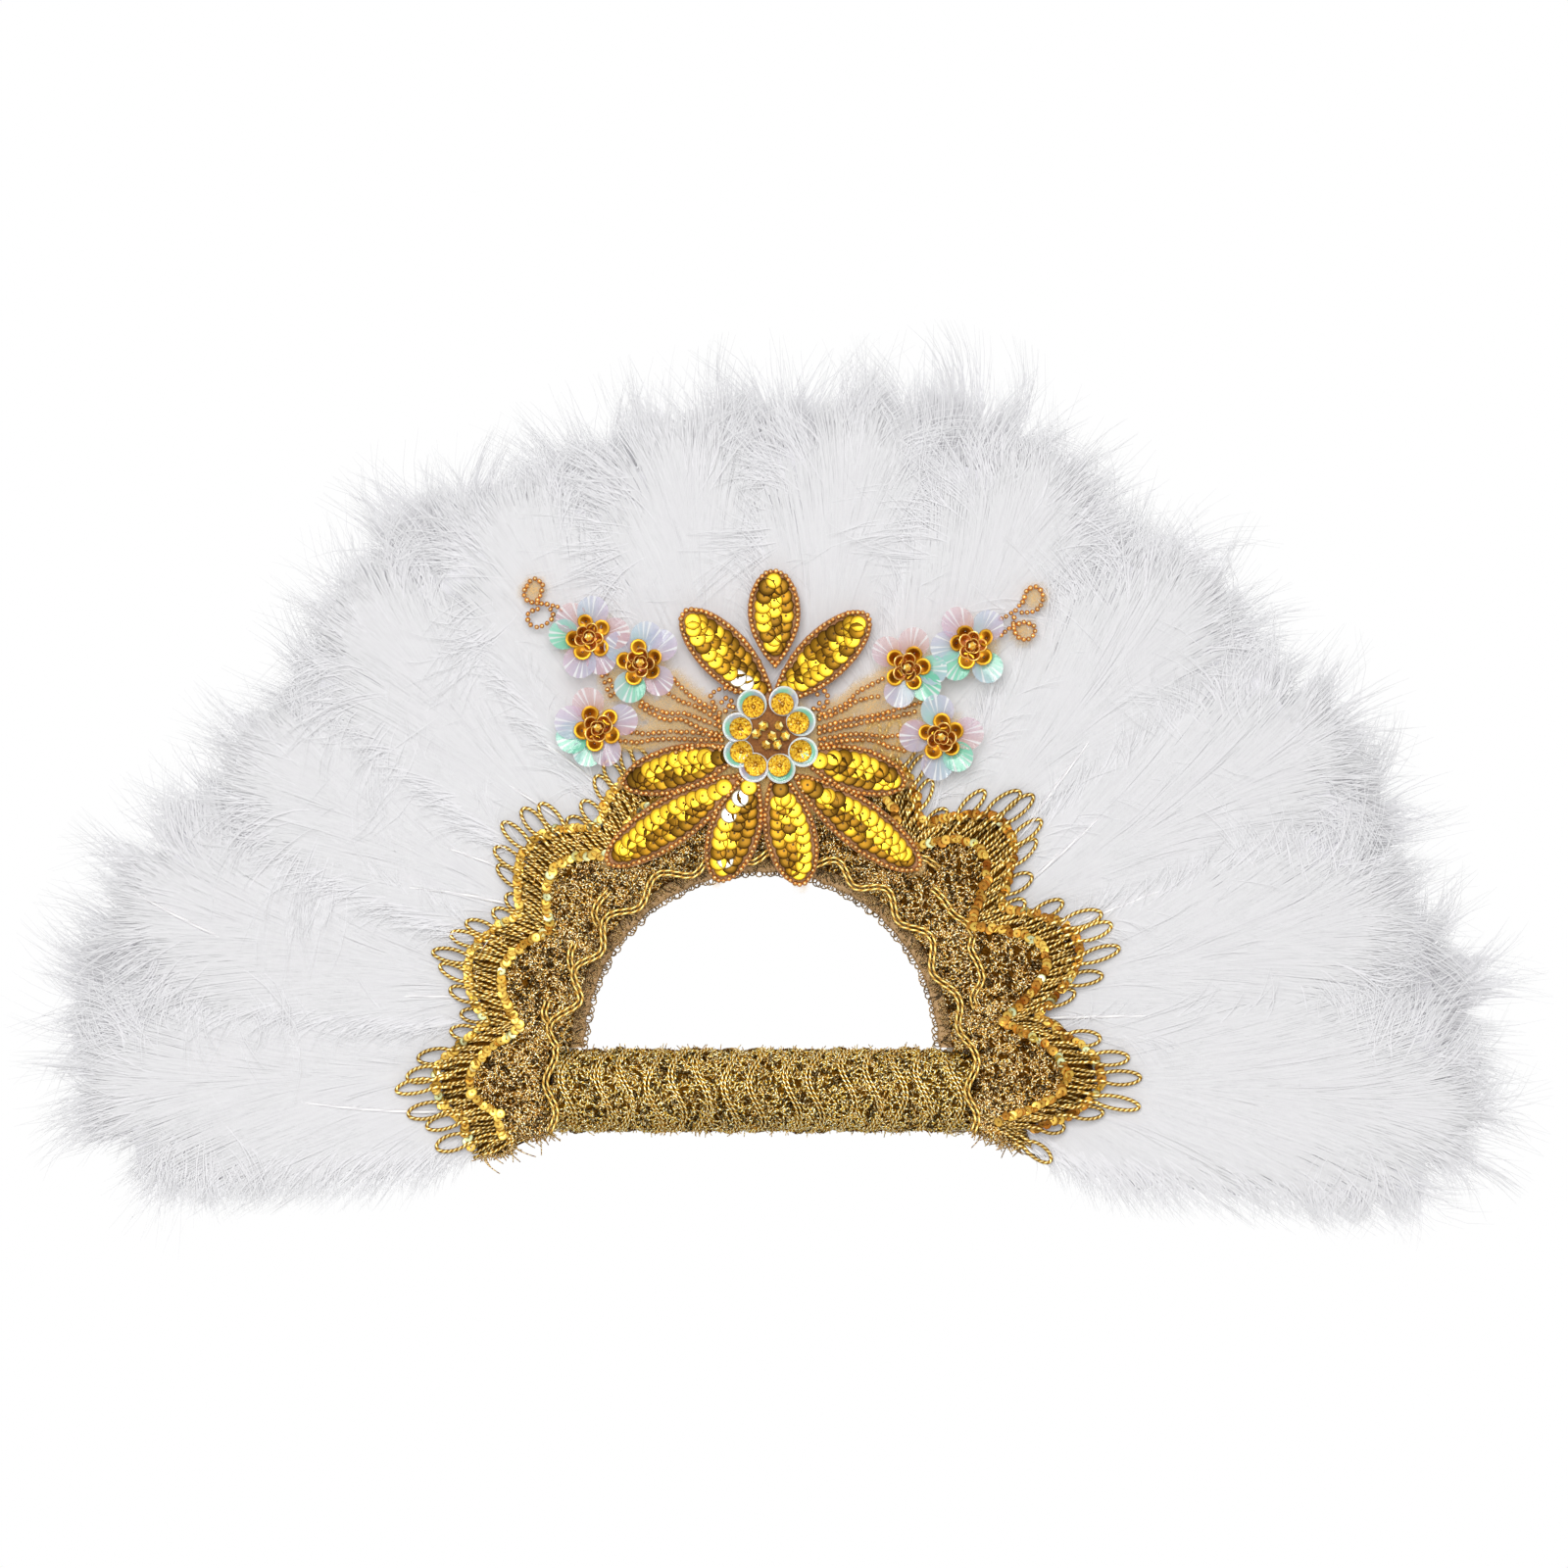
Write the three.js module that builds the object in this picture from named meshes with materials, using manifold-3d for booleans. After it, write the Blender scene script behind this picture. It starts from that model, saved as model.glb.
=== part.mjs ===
// Feather hand fan: a stiff arch round a finger opening, with a wrapped grip bar, gold lace on
// both faces, a sequin flower on the front and two layers of plumes.
// Millimetres. +Z is up, the decorated front faces -Y, and the origin is the middle of the grip bar.
import * as THREE from "three";
import { mergeVertices } from "three/addons/utils/BufferGeometryUtils.js";
import Module from "manifold-3d";

const wasm = await Module();
wasm.setup();

// Clearances
const seatGap = 0.3; // between pieces that are glued or sewn together
const cutOverrun = 2; // how far a cutting body passes the face that it opens
const sliver = 0.02; // the thinnest sliver that a join may leave

// Finger opening, grip bar and backing board
const openingRadius = 57.6;
const gripHeight = 27.2;
const gripDepth = 18;
const gripLap = 10.4; // how far the bar runs past the opening on each side
const wrapThickness = 2.2;
const boardThickness = 3;
const boardWidth = 31.5;
const bindingThickness = 2.6;
const bindingFlange = 1.2;
const bindingLap = 8.4;

// Lace bands, braids and sequin rows
const laceThickness = 4.5;
const laceSetback = 4.4; // from the edge of the opening to the lace
const laceValleyReach = 97;
const laceTipReach = 125.6;
const loopLength = 14;
const loopThickness = 1.8;
const braidRadius = 65.6;
const braidSwing = 1.9;
const braidCord = 1.4;
const braidWave = 21;
const sequinRowWidth = 2.6;
const sequinRowThickness = 0.7;
const sequinRowInset = 1.6;
const sequinRowSpacing = 9;

// Flower ornament
const ornamentLift = 10.2; // of the centre flower above the middle of the lace band
const ornamentShift = 3.2;
const ornamentHalfWidth = 90; // from the centre flower to the farthest beaded loop
const netThickness = 0.4;
const beadDiameter = 1.8;
const stemKnot = 6;
const leafWidth = 17;
const leafPlate = 0.8;
const leafRimWidth = 1.8;
const sequinStep = 5.4;
const sequinRise = 0.7;
const discDiameter = 9.4;
const discRing = 11.2;
const discThickness = 0.9;
const cupDiameter = 7;
const cupThickness = 0.9;
const padDiameter = 12;
const centreBead = 2.9;
const centreBeadRing = 3.6;
const petalDiameter = 10.6;
const petalRing = 7.2;
const petalThickness = 0.9;
const heartCupDiameter = 5.8;
const heartCupRing = 4.9;
const heartCupThickness = 0.8;
const rosetteDiameter = 9;
const rosetteHeight = 2.2;
const heartBead = 3.2;

// Plumes
const quillDiameter = 2.4;
const quillInset = 2; // from the end of the grip bar to the roots of the quills
const quillBareLength = 2; // of quill between the board and the vane
const plumeReach = 234;
const plumeHalfWidth = 36;
const plumeRootThickness = 1.8;
const plumeFullThickness = 15.5;
const plumeSwellLength = 26;
const plumeTipLength = 36;
const plumeTipThickness = 1;

// Counts and angles, in degrees anticlockwise from +X about the middle of the opening
const scallopCount = 11; // the first and the last are cut short at the lace's feet
const firstScallop = -29.3;
const scallopPitch = 24;
const flatSideAngle = 180; // from the opening's right corner to its left corner
const laceFootAngle = 22.6; // below the level of the opening's flat side
const boardFootAngle = 16; // likewise, for the outer side of the board
const footMargin = 10; // from the ends of the lace to the ends of the sequin rows
const loopsPerScallop = 5;
const arcSteps = 30;
const frontPlumeCount = 12;
const firstPlume = -5;
const lastPlume = 183.5;
const discCount = 8;
const centreBeadCount = 6;
const petalCount = 5;
const roundSides = 10;
const cordSides = 6;

// Places of the ornament's pieces as shares of its half width, from the centre flower
const leafTableShare = {
  leaf_top: { base: [0.014, 0.27], tip: [0.008, 0.6], width: 1 },
  leaf_upper_left: { base: [-0.014, 0.16], tip: [-0.316, 0.45], width: 0.98 },
  leaf_upper_right: { base: [0.018, 0.16], tip: [0.348, 0.44], width: 0.98 },
  leaf_left: { base: [-0.13, -0.062], tip: [-0.533, -0.168], width: 0.9 },
  leaf_right: { base: [0.125, -0.075], tip: [0.482, -0.168], width: 0.9 },
  leaf_lower_left: { base: [-0.15, -0.17], tip: [-0.594, -0.455], width: 0.94 },
  leaf_lower_right: { base: [0.125, -0.175], tip: [0.534, -0.473], width: 0.94 },
  leaf_bottom_left: { base: [-0.078, -0.17], tip: [-0.19, -0.52], width: 1 },
  leaf_bottom_right: { base: [0.026, -0.17], tip: [0.112, -0.533], width: 1 },
};
const flowerTableShare = {
  left: [
    { place: [-0.654, 0.356], deck: 0 },
    { place: [-0.476, 0.27], deck: 1 },
    { place: [-0.626, 0.021], deck: 0 },
  ],
  right: [
    { place: [0.716, 0.33], deck: 0 },
    { place: [0.491, 0.256], deck: 1 },
    { place: [0.611, 0], deck: 0 },
  ],
};
const stemRootShare = { left: [-0.15, 0.035], right: [0.15, 0.035] };
const loopTableShare = {
  left: [
    [[-0.76, 0.43], [-0.9, 0.51], [-0.86, 0.6], [-0.81, 0.5]],
    [[-0.77, 0.37], [-0.88, 0.37], [-0.88, 0.46], [-0.8, 0.42]],
  ],
  right: [
    [[0.85, 0.4], [0.92, 0.52], [0.99, 0.49], [0.88, 0.4]],
    [[0.85, 0.36], [0.95, 0.41], [0.95, 0.33], [0.86, 0.33]],
  ],
};
const netOutlineShare = [
  [0.05, 0.56], [0.1, 0.3], [0.3, 0.42], [0.34, 0.36], [0.24, 0.2], [0.38, 0.32], [0.5, 0.4],
  [0.6, 0.4], [0.7, 0.47], [0.84, 0.44], [0.97, 0.56], [1.02, 0.47], [0.98, 0.3], [0.85, 0.22],
  [0.7, 0.15], [0.76, 0.02], [0.7, -0.1], [0.58, -0.14], [0.45, -0.14], [0.4, -0.28],
  [0.48, -0.42], [0.3, -0.36], [0.1, -0.4], [0, -0.3], [-0.12, -0.4], [-0.34, -0.34],
  [-0.54, -0.41], [-0.45, -0.26], [-0.48, -0.14], [-0.6, -0.12], [-0.74, -0.08], [-0.77, 0.04],
  [-0.7, 0.15], [-0.72, 0.22], [-0.79, 0.3], [-0.9, 0.35], [-0.93, 0.48], [-0.88, 0.62],
  [-0.79, 0.52], [-0.66, 0.49], [-0.58, 0.42], [-0.46, 0.41], [-0.34, 0.32], [-0.22, 0.2],
  [-0.3, 0.36], [-0.28, 0.43], [-0.1, 0.32], [-0.04, 0.56],
];

// Depth of each scallop and reach of each plume, from right to left, as shares of the largest
const scallopDepthShare = [0.56, 1, 0.91, 0.855, 0.65, 0.475, 0.43, 0.51, 0.455, 0.8, 0.475];
const frontReachShare = [1.045, 1.01, 0.99, 0.97, 1, 0.995, 0.95, 0.94, 0.945, 0.935, 0.965, 0.965];
const backReachShare = [1.065, 0.985, 0.96, 0.98, 1.02, 0.955, 0.935, 0.94, 0.93, 0.955, 0.98];
const raggedShare = [1, 1, 1, 1, 0.97, 1, 0.96, 1, 0.93, 1, 0.92, 0.97, 0.9, 1];
const plumeOverlapShare = 0.6; // of the pitch, on each side of the quill

// Sizes worked out from the driving dimensions
const degree = Math.PI / 180;
const centreHeight = gripHeight / 2;
const gripHalfLength = openingRadius + gripLap;
const ornamentHeight = centreHeight + (openingRadius + laceTipReach) / 2 + ornamentLift;
const boardInner = openingRadius + bindingThickness + seatGap;
const boardOuter = boardInner + boardWidth;
const quillNear = boardThickness / 2 + seatGap;
const quillLevel = quillNear + quillDiameter / 2;
const quillRoot = gripHalfLength + quillInset;
const laceNear = quillNear + quillDiameter + seatGap;
const laceFar = laceNear + laceThickness;
const trimNear = laceFar + seatGap;
const netNear = trimNear + sequinRowThickness + seatGap;
const netFar = netNear + netThickness;
const leafNear = Math.max(netFar, trimNear + braidCord) + seatGap;
const leafFar = leafNear + beadDiameter;
const petalNear = leafFar + seatGap;
const plumePitch = (lastPlume - firstPlume) / (frontPlumeCount - 1);
const plumeOverlap = plumePitch * degree * plumeOverlapShare;
const vaneStart = boardOuter + quillBareLength;
const braidReach = braidRadius + braidSwing + braidCord * 1.5;
const netInner = braidReach + seatGap;

const GOLD = { color: 0xb8862f, roughness: 0.42, metalness: 0.85 };
const PALE_GOLD = { color: 0xc8aa55, roughness: 0.5, metalness: 0.8 };
const COPPER = { color: 0xbe6e32, roughness: 0.35, metalness: 0.7 };
const SEQUIN = { color: 0xe8c81e, roughness: 0.25, metalness: 0.9 };
const SHELL = { color: 0xd8ecea, roughness: 0.2, metalness: 0.1 };
const AMBER = { color: 0xd08a1c, roughness: 0.3, metalness: 0.5 };
const BOARD = { color: 0xcdbfa4, roughness: 0.9, metalness: 0 };
const MESH = { color: 0x9a7f52, roughness: 0.7, metalness: 0.3 };
const NET = { color: 0xe6c69a, roughness: 0.8, metalness: 0 };
const PLUME = { color: 0xf1f0f4, roughness: 0.95, metalness: 0 };

const front = -1;
const back = 1;
const fan = new THREE.Group();

// Adds one named piece to the fan
function addPiece(name, geometry, finish) {
  const mesh = new THREE.Mesh(geometry, new THREE.MeshStandardMaterial(finish));
  mesh.name = name;
  fan.add(mesh);
}

// Turns a closed geometry into a solid that can be joined and cut
function toSolid(geometry) {
  const bare = geometry.index ? geometry.toNonIndexed() : geometry.clone();
  bare.deleteAttribute("normal");
  bare.deleteAttribute("uv");
  const merged = mergeVertices(bare, seatGap / 1000);
  const source = new wasm.Mesh({
    numProp: 3,
    vertProperties: merged.attributes.position.array,
    triVerts: new Uint32Array(merged.index.array),
  });
  return new wasm.Manifold(source);
}

// Turns a solid back into a geometry, without slivers
function toGeometry(solid) {
  const source = solid.asOriginal().simplify(sliver).getMesh();
  const geometry = new THREE.BufferGeometry();
  geometry.setAttribute("position", new THREE.BufferAttribute(source.vertProperties, 3));
  geometry.setIndex(new THREE.BufferAttribute(source.triVerts, 1));
  geometry.computeVertexNormals();
  return geometry;
}

// Joins a list of closed geometries into one solid
function joined(geometries) {
  return geometries.map(toSolid).reduce((whole, next) => whole.add(next));
}

// A plate whose outline lies in the fan's plane, between two levels counted from the mid-plane
function plate(shape, near, far, side = front) {
  const geometry = new THREE.ExtrudeGeometry(shape, { depth: far - near, bevelEnabled: false });
  geometry.rotateX(Math.PI / 2);
  return geometry.translate(0, side === front ? -near : far, 0);
}

// A round plate at a place in the fan's plane
function disc(place, radius, near, far, side = front, sides = roundSides) {
  const geometry = new THREE.CylinderGeometry(radius, radius, far - near, sides);
  return geometry.translate(place.x, (side * (near + far)) / 2, place.y);
}

// A bead that rests on a level
function bead(place, diameter, near) {
  const geometry = new THREE.SphereGeometry(diameter / 2, 6, 4);
  return geometry.translate(place.x, front * (near + diameter / 2), place.y);
}

// A point about the middle of the opening, as X and height
function around(angle, radius) {
  const x = radius * Math.cos(angle * degree);
  return new THREE.Vector2(x, centreHeight + radius * Math.sin(angle * degree));
}

// Points along an arc about the middle of the opening
function arcPoints(radius, from, to, steps = arcSteps) {
  const points = [];
  for (let i = 0; i <= steps; i += 1) points.push(around(from + ((to - from) * i) / steps, radius));
  return points;
}

// The angle at which an arc stands a height above the middle of the opening
function angleAtHeight(radius, height) {
  return Math.asin(height / radius) / degree;
}

// A place on the ornament from its shares of the half width
function onOrnament([across, up]) {
  return new THREE.Vector2(
    ornamentShift + across * ornamentHalfWidth,
    ornamentHeight + up * ornamentHalfWidth,
  );
}

// A path in the fan's plane as a curve at one level
function levelCurve(points, level, side = front) {
  const lifted = points.map((p) => new THREE.Vector3(p.x, side * level, p.y));
  return new THREE.CatmullRomCurve3(lifted, false, "centripetal");
}

// A round cord along a path in the fan's plane
function cord(points, diameter, level, steps, side = front) {
  const section = new THREE.Shape();
  for (let i = 0; i < cordSides; i += 1) {
    const turn = (i * 2 * Math.PI) / cordSides;
    const x = (diameter / 2) * Math.cos(turn);
    const y = (diameter / 2) * Math.sin(turn);
    if (i === 0) section.moveTo(x, y);
    else section.lineTo(x, y);
  }
  const extrudePath = levelCurve(points, level, side);
  return new THREE.ExtrudeGeometry(section, { steps, extrudePath });
}

// Backing board: the arch that carries the quills, with a leg on each side of the grip bar
function backingBoard() {
  const foot = -centreHeight + seatGap;
  const shape = new THREE.Shape([
    new THREE.Vector2(boardInner, foot),
    ...arcPoints(boardInner, 0, flatSideAngle),
    new THREE.Vector2(-boardInner, foot),
    new THREE.Vector2(-gripHalfLength, foot),
    ...arcPoints(boardOuter, flatSideAngle + boardFootAngle, -boardFootAngle),
    new THREE.Vector2(gripHalfLength, foot),
  ]);
  return plate(shape, -boardThickness / 2, boardThickness / 2);
}

// An oval bar along X
function ovalBar(height, depth, length) {
  const shape = new THREE.Shape();
  shape.absellipse(0, 0, height / 2, depth / 2, 0, 2 * Math.PI);
  const geometry = new THREE.ExtrudeGeometry(shape, {
    depth: length,
    bevelEnabled: false,
    curveSegments: roundSides,
  });
  return geometry.rotateY(Math.PI / 2).translate(-length / 2, 0, 0);
}

// The slots at the ends of the grip bar that the board's legs stand in
function legSlots() {
  const depth = gripHalfLength - boardInner + seatGap + cutOverrun;
  const height = gripHeight + 2 * cutOverrun;
  const slots = [1, -1].map((end) => {
    const slot = new THREE.BoxGeometry(depth, boardThickness + 2 * seatGap, height);
    return slot.translate(end * (boardInner - seatGap + depth / 2), 0, 0);
  });
  return joined(slots);
}

function gripCore() {
  const shrink = 2 * (wrapThickness + seatGap);
  const bar = ovalBar(gripHeight - shrink, gripDepth - shrink, 2 * gripHalfLength);
  return toGeometry(toSolid(bar).subtract(legSlots()));
}

function gripWrap() {
  const outside = ovalBar(gripHeight, gripDepth, 2 * gripHalfLength);
  const length = 2 * (gripHalfLength + cutOverrun);
  const bore = ovalBar(gripHeight - 2 * wrapThickness, gripDepth - 2 * wrapThickness, length);
  return toGeometry(toSolid(outside).subtract(toSolid(bore)).subtract(legSlots()));
}

// Opening binding: a strip folded over the inner edge of the arch, drawn as a channel swept
// round the opening
function openingBinding() {
  const wall = openingRadius + bindingThickness;
  const lap = openingRadius + bindingLap;
  const face = boardThickness / 2 + seatGap;
  const section = [
    [openingRadius, face + bindingFlange],
    [lap, face + bindingFlange],
    [lap, face],
    [wall, face],
    [wall, -face],
    [lap, -face],
    [lap, -face - bindingFlange],
    [openingRadius, -face - bindingFlange],
  ];
  const start = angleAtHeight(openingRadius, seatGap);
  const positions = [];
  for (let i = 0; i <= arcSteps; i += 1) {
    const angle = start + ((flatSideAngle - 2 * start) * i) / arcSteps;
    for (const [radius, y] of section) {
      const place = around(angle, radius);
      positions.push(place.x, y, place.y);
    }
  }
  return sweptSurface(positions, section.length, arcSteps + 1);
}

// Closes a list of equal rings of points into one surface with flat ends, facing outwards
function sweptSurface(positions, ringSize, ringCount) {
  const triangles = [];
  for (let ring = 0; ring < ringCount - 1; ring += 1) {
    for (let i = 0; i < ringSize; i += 1) {
      const a = ring * ringSize + i;
      const b = ring * ringSize + ((i + 1) % ringSize);
      triangles.push(a, b, b + ringSize, a, b + ringSize, a + ringSize);
    }
  }
  for (const [x, y, z] of endTriangles(positions, ringSize)) {
    const last = (ringCount - 1) * ringSize;
    triangles.push(z, y, x, last + x, last + y, last + z);
  }
  const geometry = new THREE.BufferGeometry();
  geometry.setAttribute("position", new THREE.Float32BufferAttribute(positions, 3));
  geometry.setIndex(triangles);
  const solid = toSolid(geometry);
  if (solid.volume() > 0) return toGeometry(solid);
  geometry.setIndex(triangles.reverse());
  return toGeometry(toSolid(geometry));
}

// Triangles that fill the first ring, seen along the path; its corners are measured by their
// distance from the middle of the opening or across it, and by their level
function endTriangles(positions, ringSize) {
  const first = new THREE.Vector3(positions[0], 0, positions[2]);
  const contour = [];
  let across = null;
  for (let i = 0; i < ringSize; i += 1) {
    const point = new THREE.Vector3(positions[3 * i], 0, positions[3 * i + 2]).sub(first);
    if (!across && point.length() > seatGap) across = point.clone().normalize();
    contour.push({ point, level: positions[3 * i + 1] });
  }
  const flat = contour.map((c) => new THREE.Vector2(c.point.dot(across), c.level));
  const turned = THREE.ShapeUtils.isClockWise(flat);
  const ordered = turned ? [...flat].reverse() : flat;
  const faces = THREE.ShapeUtils.triangulateShape(ordered, []);
  return faces.map((face) => {
    const corners = turned ? face.map((i) => ringSize - 1 - i).reverse() : face;
    return corners;
  });
}

// How far the edge of the lace reaches at an angle, with the nearest scallop's depth
function laceEdge(angle) {
  const place = (angle - firstScallop) / scallopPitch;
  const nearest = THREE.MathUtils.clamp(Math.round(place), 0, scallopCount - 1);
  const away = Math.min(Math.abs(place - nearest) * 2, 1);
  const depth = (laceTipReach - laceValleyReach) * scallopDepthShare[nearest];
  return laceValleyReach + depth * Math.cos((away * Math.PI) / 2) ** 1.2;
}

// First and last angle that the lace reaches, where its feet end
const laceStart = -laceFootAngle;
const laceEnd = flatSideAngle + laceFootAngle;

// Outline of the lace's inner side: round the opening and round the ends of the grip bar
function laceInnerSide() {
  const inner = openingRadius + laceSetback;
  const start = angleAtHeight(inner, seatGap);
  const side = gripHalfLength + seatGap;
  return [
    new THREE.Vector2(side, -centreHeight - seatGap),
    new THREE.Vector2(side, centreHeight + seatGap),
    ...arcPoints(inner, start, flatSideAngle - start),
    new THREE.Vector2(-side, centreHeight + seatGap),
    new THREE.Vector2(-side, -centreHeight - seatGap),
  ];
}

// Lace: a gathered band with scalloped edge, and a thin fringe of cord loops below it
function lace(side) {
  const bandOutline = laceInnerSide();
  const fringeOutline = laceInnerSide();
  const loopCount = Math.round(((laceEnd - laceStart) / scallopPitch) * loopsPerScallop);
  const pitch = (laceEnd - laceStart) / loopCount;
  for (let i = loopCount - 1; i >= 0; i -= 1) {
    const angle = laceStart + pitch * i;
    const tip = laceEdge(angle + pitch / 2);
    const root = tip - loopLength;
    bandOutline.push(around(angle + pitch, laceEdge(angle + pitch) - loopLength));
    fringeOutline.push(around(angle + pitch * 0.9, root));
    fringeOutline.push(around(angle + pitch * 0.7, tip));
    fringeOutline.push(around(angle + pitch * 0.3, tip));
    fringeOutline.push(around(angle + pitch * 0.1, root));
  }
  bandOutline.push(around(laceStart, laceEdge(laceStart) - loopLength));
  const band = plate(new THREE.Shape(bandOutline), laceNear, laceFar, side);
  const fringe = plate(new THREE.Shape(fringeOutline), laceNear, laceNear + loopThickness, side);
  return toGeometry(joined([band, fringe]));
}

// Braid: two cords side by side that swing in and out along the inner edge of the lace
function braid(side) {
  const legLength = gripHeight;
  const arcLength = Math.PI * braidRadius;
  const length = arcLength + 2 * legLength;
  const waves = Math.round(length / braidWave);
  const steps = waves * 6;
  const points = [];
  for (let i = 0; i <= steps; i += 1) {
    const along = (length * i) / steps;
    const swing = braidSwing * Math.sin((2 * Math.PI * waves * i) / steps);
    const onArc = THREE.MathUtils.clamp((along - legLength) / arcLength, 0, 1);
    const below = Math.max(legLength - along, along - legLength - arcLength, 0);
    const outward = (gripHalfLength - braidRadius) * Math.min(below / centreHeight, 1);
    const place = around(onArc * flatSideAngle, braidRadius + swing);
    place.x += Math.sign(place.x) * Math.max(outward, 0);
    place.y -= below;
    points.push(place);
  }
  const level = trimNear + braidCord / 2;
  const section = new THREE.Shape();
  const half = braidCord / 2;
  section.moveTo(-half, -braidCord);
  section.lineTo(half, -braidCord);
  section.lineTo(0, 0);
  section.lineTo(half, braidCord);
  section.lineTo(-half, braidCord);
  const extrudePath = levelCurve(points, level, side);
  return new THREE.ExtrudeGeometry(section, { steps, extrudePath });
}

// A row of overlapping sequins that follows the scallops from one foot of the lace to the other,
// outside the braid and the rows before it
function sequinRow(inset, rowsInside) {
  const steps = scallopCount * 6;
  const start = laceStart + footMargin;
  const end = laceEnd - footMargin;
  const nearest = braidReach + seatGap + sequinRowWidth / 2 + rowsInside * sequinRowSpacing;
  const points = [];
  for (let i = 0; i <= steps; i += 1) {
    const angle = start + ((end - start) * i) / steps;
    const radius = laceEdge(angle) - loopLength - inset;
    points.push(around(angle, Math.max(radius, nearest)));
  }
  const section = new THREE.Shape();
  const halfWidth = sequinRowWidth / 2;
  const halfThickness = sequinRowThickness / 2;
  section.moveTo(-halfThickness, -halfWidth);
  section.lineTo(halfThickness, -halfWidth);
  section.lineTo(halfThickness, halfWidth);
  section.lineTo(-halfThickness, halfWidth);
  const extrudePath = levelCurve(points, trimNear + halfThickness);
  return new THREE.ExtrudeGeometry(section, { steps, extrudePath });
}

// Ornament net: thin tulle under the flowers and leaves, clear of the braid
function ornamentNet() {
  const sheet = plate(new THREE.Shape(netOutlineShare.map(onOrnament)), netNear, netFar);
  const opening = disc(
    new THREE.Vector2(0, centreHeight),
    netInner,
    netNear - cutOverrun,
    netFar + cutOverrun,
    front,
    arcSteps,
  );
  return toGeometry(toSolid(sheet).subtract(toSolid(opening)));
}

// Distance from a point to the line between two others
function distanceToLine(point, from, to) {
  const line = new THREE.Line3(
    new THREE.Vector3(from.x, from.y, 0),
    new THREE.Vector3(to.x, to.y, 0),
  );
  const spot = new THREE.Vector3(point.x, point.y, 0);
  return line.closestPointToPoint(spot, true, new THREE.Vector3()).distanceTo(spot);
}

const leafLines = Object.entries(leafTableShare).map(([name, leaf]) => ({
  name,
  base: onOrnament(leaf.base),
  tip: onOrnament(leaf.tip),
  width: leafWidth * leaf.width,
}));

// Outline of a leaf, which bulges from base to tip and stops halfway to its neighbours
function leafOutline(leaf, inset) {
  const steps = 8;
  const axis = leaf.tip.clone().sub(leaf.base);
  const aside = new THREE.Vector2(-axis.y, axis.x).normalize();
  const others = leafLines.filter((other) => other.name !== leaf.name);
  const edge = (share, side) => {
    const bulge = Math.sin(Math.PI * share) ** 0.75 * (1.06 - 0.12 * Math.cos(2 * Math.PI * share));
    const middle = leaf.base.clone().addScaledVector(axis, share);
    let half = Math.max((leaf.width / 2) * bulge, leafRimWidth / 2);
    const crowded = (room) => {
      const point = middle.clone().addScaledVector(aside, side * room);
      const clear = room + seatGap;
      return others.some((other) => distanceToLine(point, other.base, other.tip) < clear);
    };
    for (let tries = 0; tries < 60 && crowded(half); tries += 1) half *= 0.94;
    return middle.addScaledVector(aside, side * Math.max(half - inset, seatGap / 3));
  };
  const trim = inset / axis.length();
  const shares = [];
  for (let i = 0; i < steps; i += 1) {
    const share = (1 - Math.cos((Math.PI * (i + 0.5)) / steps)) / 2;
    shares.push(trim + (1 - 2 * trim) * share);
  }
  const right = shares.map((share) => edge(share, -1));
  const left = shares.map((share) => edge(share, 1));
  return [...right, ...left.reverse()];
}

// Two rows of sequins laid like shingles, drawn as steps that rise towards the leaf's base
function leafSequins(leaf) {
  const axis = leaf.tip.clone().sub(leaf.base);
  const count = Math.max(Math.round(axis.length() / sequinStep), 2);
  const low = leafNear + leafPlate / 2;
  const top = leafNear + leafPlate;
  const rows = [0, 0.5].map((shift, row) => {
    const profile = new THREE.Shape();
    profile.moveTo(0, low);
    for (let i = 0; i < count; i += 1) {
      const start = ((i + shift) / (count + 0.5)) * axis.length();
      const end = ((i + shift + 1) / (count + 0.5)) * axis.length();
      profile.lineTo(start, top);
      profile.lineTo(end, top + sequinRise);
      profile.lineTo(end, i === count - 1 ? low : top);
    }
    const strip = new THREE.ExtrudeGeometry(profile, { depth: leaf.width, bevelEnabled: false });
    return strip.translate(0, 0, row === 0 ? 0 : -leaf.width);
  });
  const steps = joined(rows.map((row) => row.rotateX(Math.PI)));
  const turn = new THREE.Matrix4().makeRotationY(-axis.angle());
  const place = new THREE.Matrix4().makeTranslation(leaf.base.x, 0, leaf.base.y);
  return toSolid(toGeometry(steps).applyMatrix4(place.multiply(turn)));
}

// Leaf: a plate with a raised rim of beads round two rows of shingled sequins
function leafPiece(leaf) {
  const outline = leafOutline(leaf, 0);
  const inside = leafOutline(leaf, leafRimWidth);
  const base = toSolid(plate(new THREE.Shape(outline), leafNear, leafNear + leafPlate));
  const rimShape = new THREE.Shape(outline);
  rimShape.holes.push(new THREE.Path(inside));
  const rim = toSolid(plate(rimShape, leafNear + leafPlate / 2, leafFar));
  const field = plate(new THREE.Shape(leafOutline(leaf, leafRimWidth / 2)), leafNear, leafFar);
  return toGeometry(base.add(rim).add(leafSequins(leaf).intersect(toSolid(field))));
}

// Places on a ring about a centre
function ringPlaces(centre, radius, count, turn = 0) {
  return Array.from({ length: count }, (unused, i) => {
    const angle = (turn + (360 * i) / count) * degree;
    return new THREE.Vector2(radius, 0).rotateAround(new THREE.Vector2(), angle).add(centre);
  });
}

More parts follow.
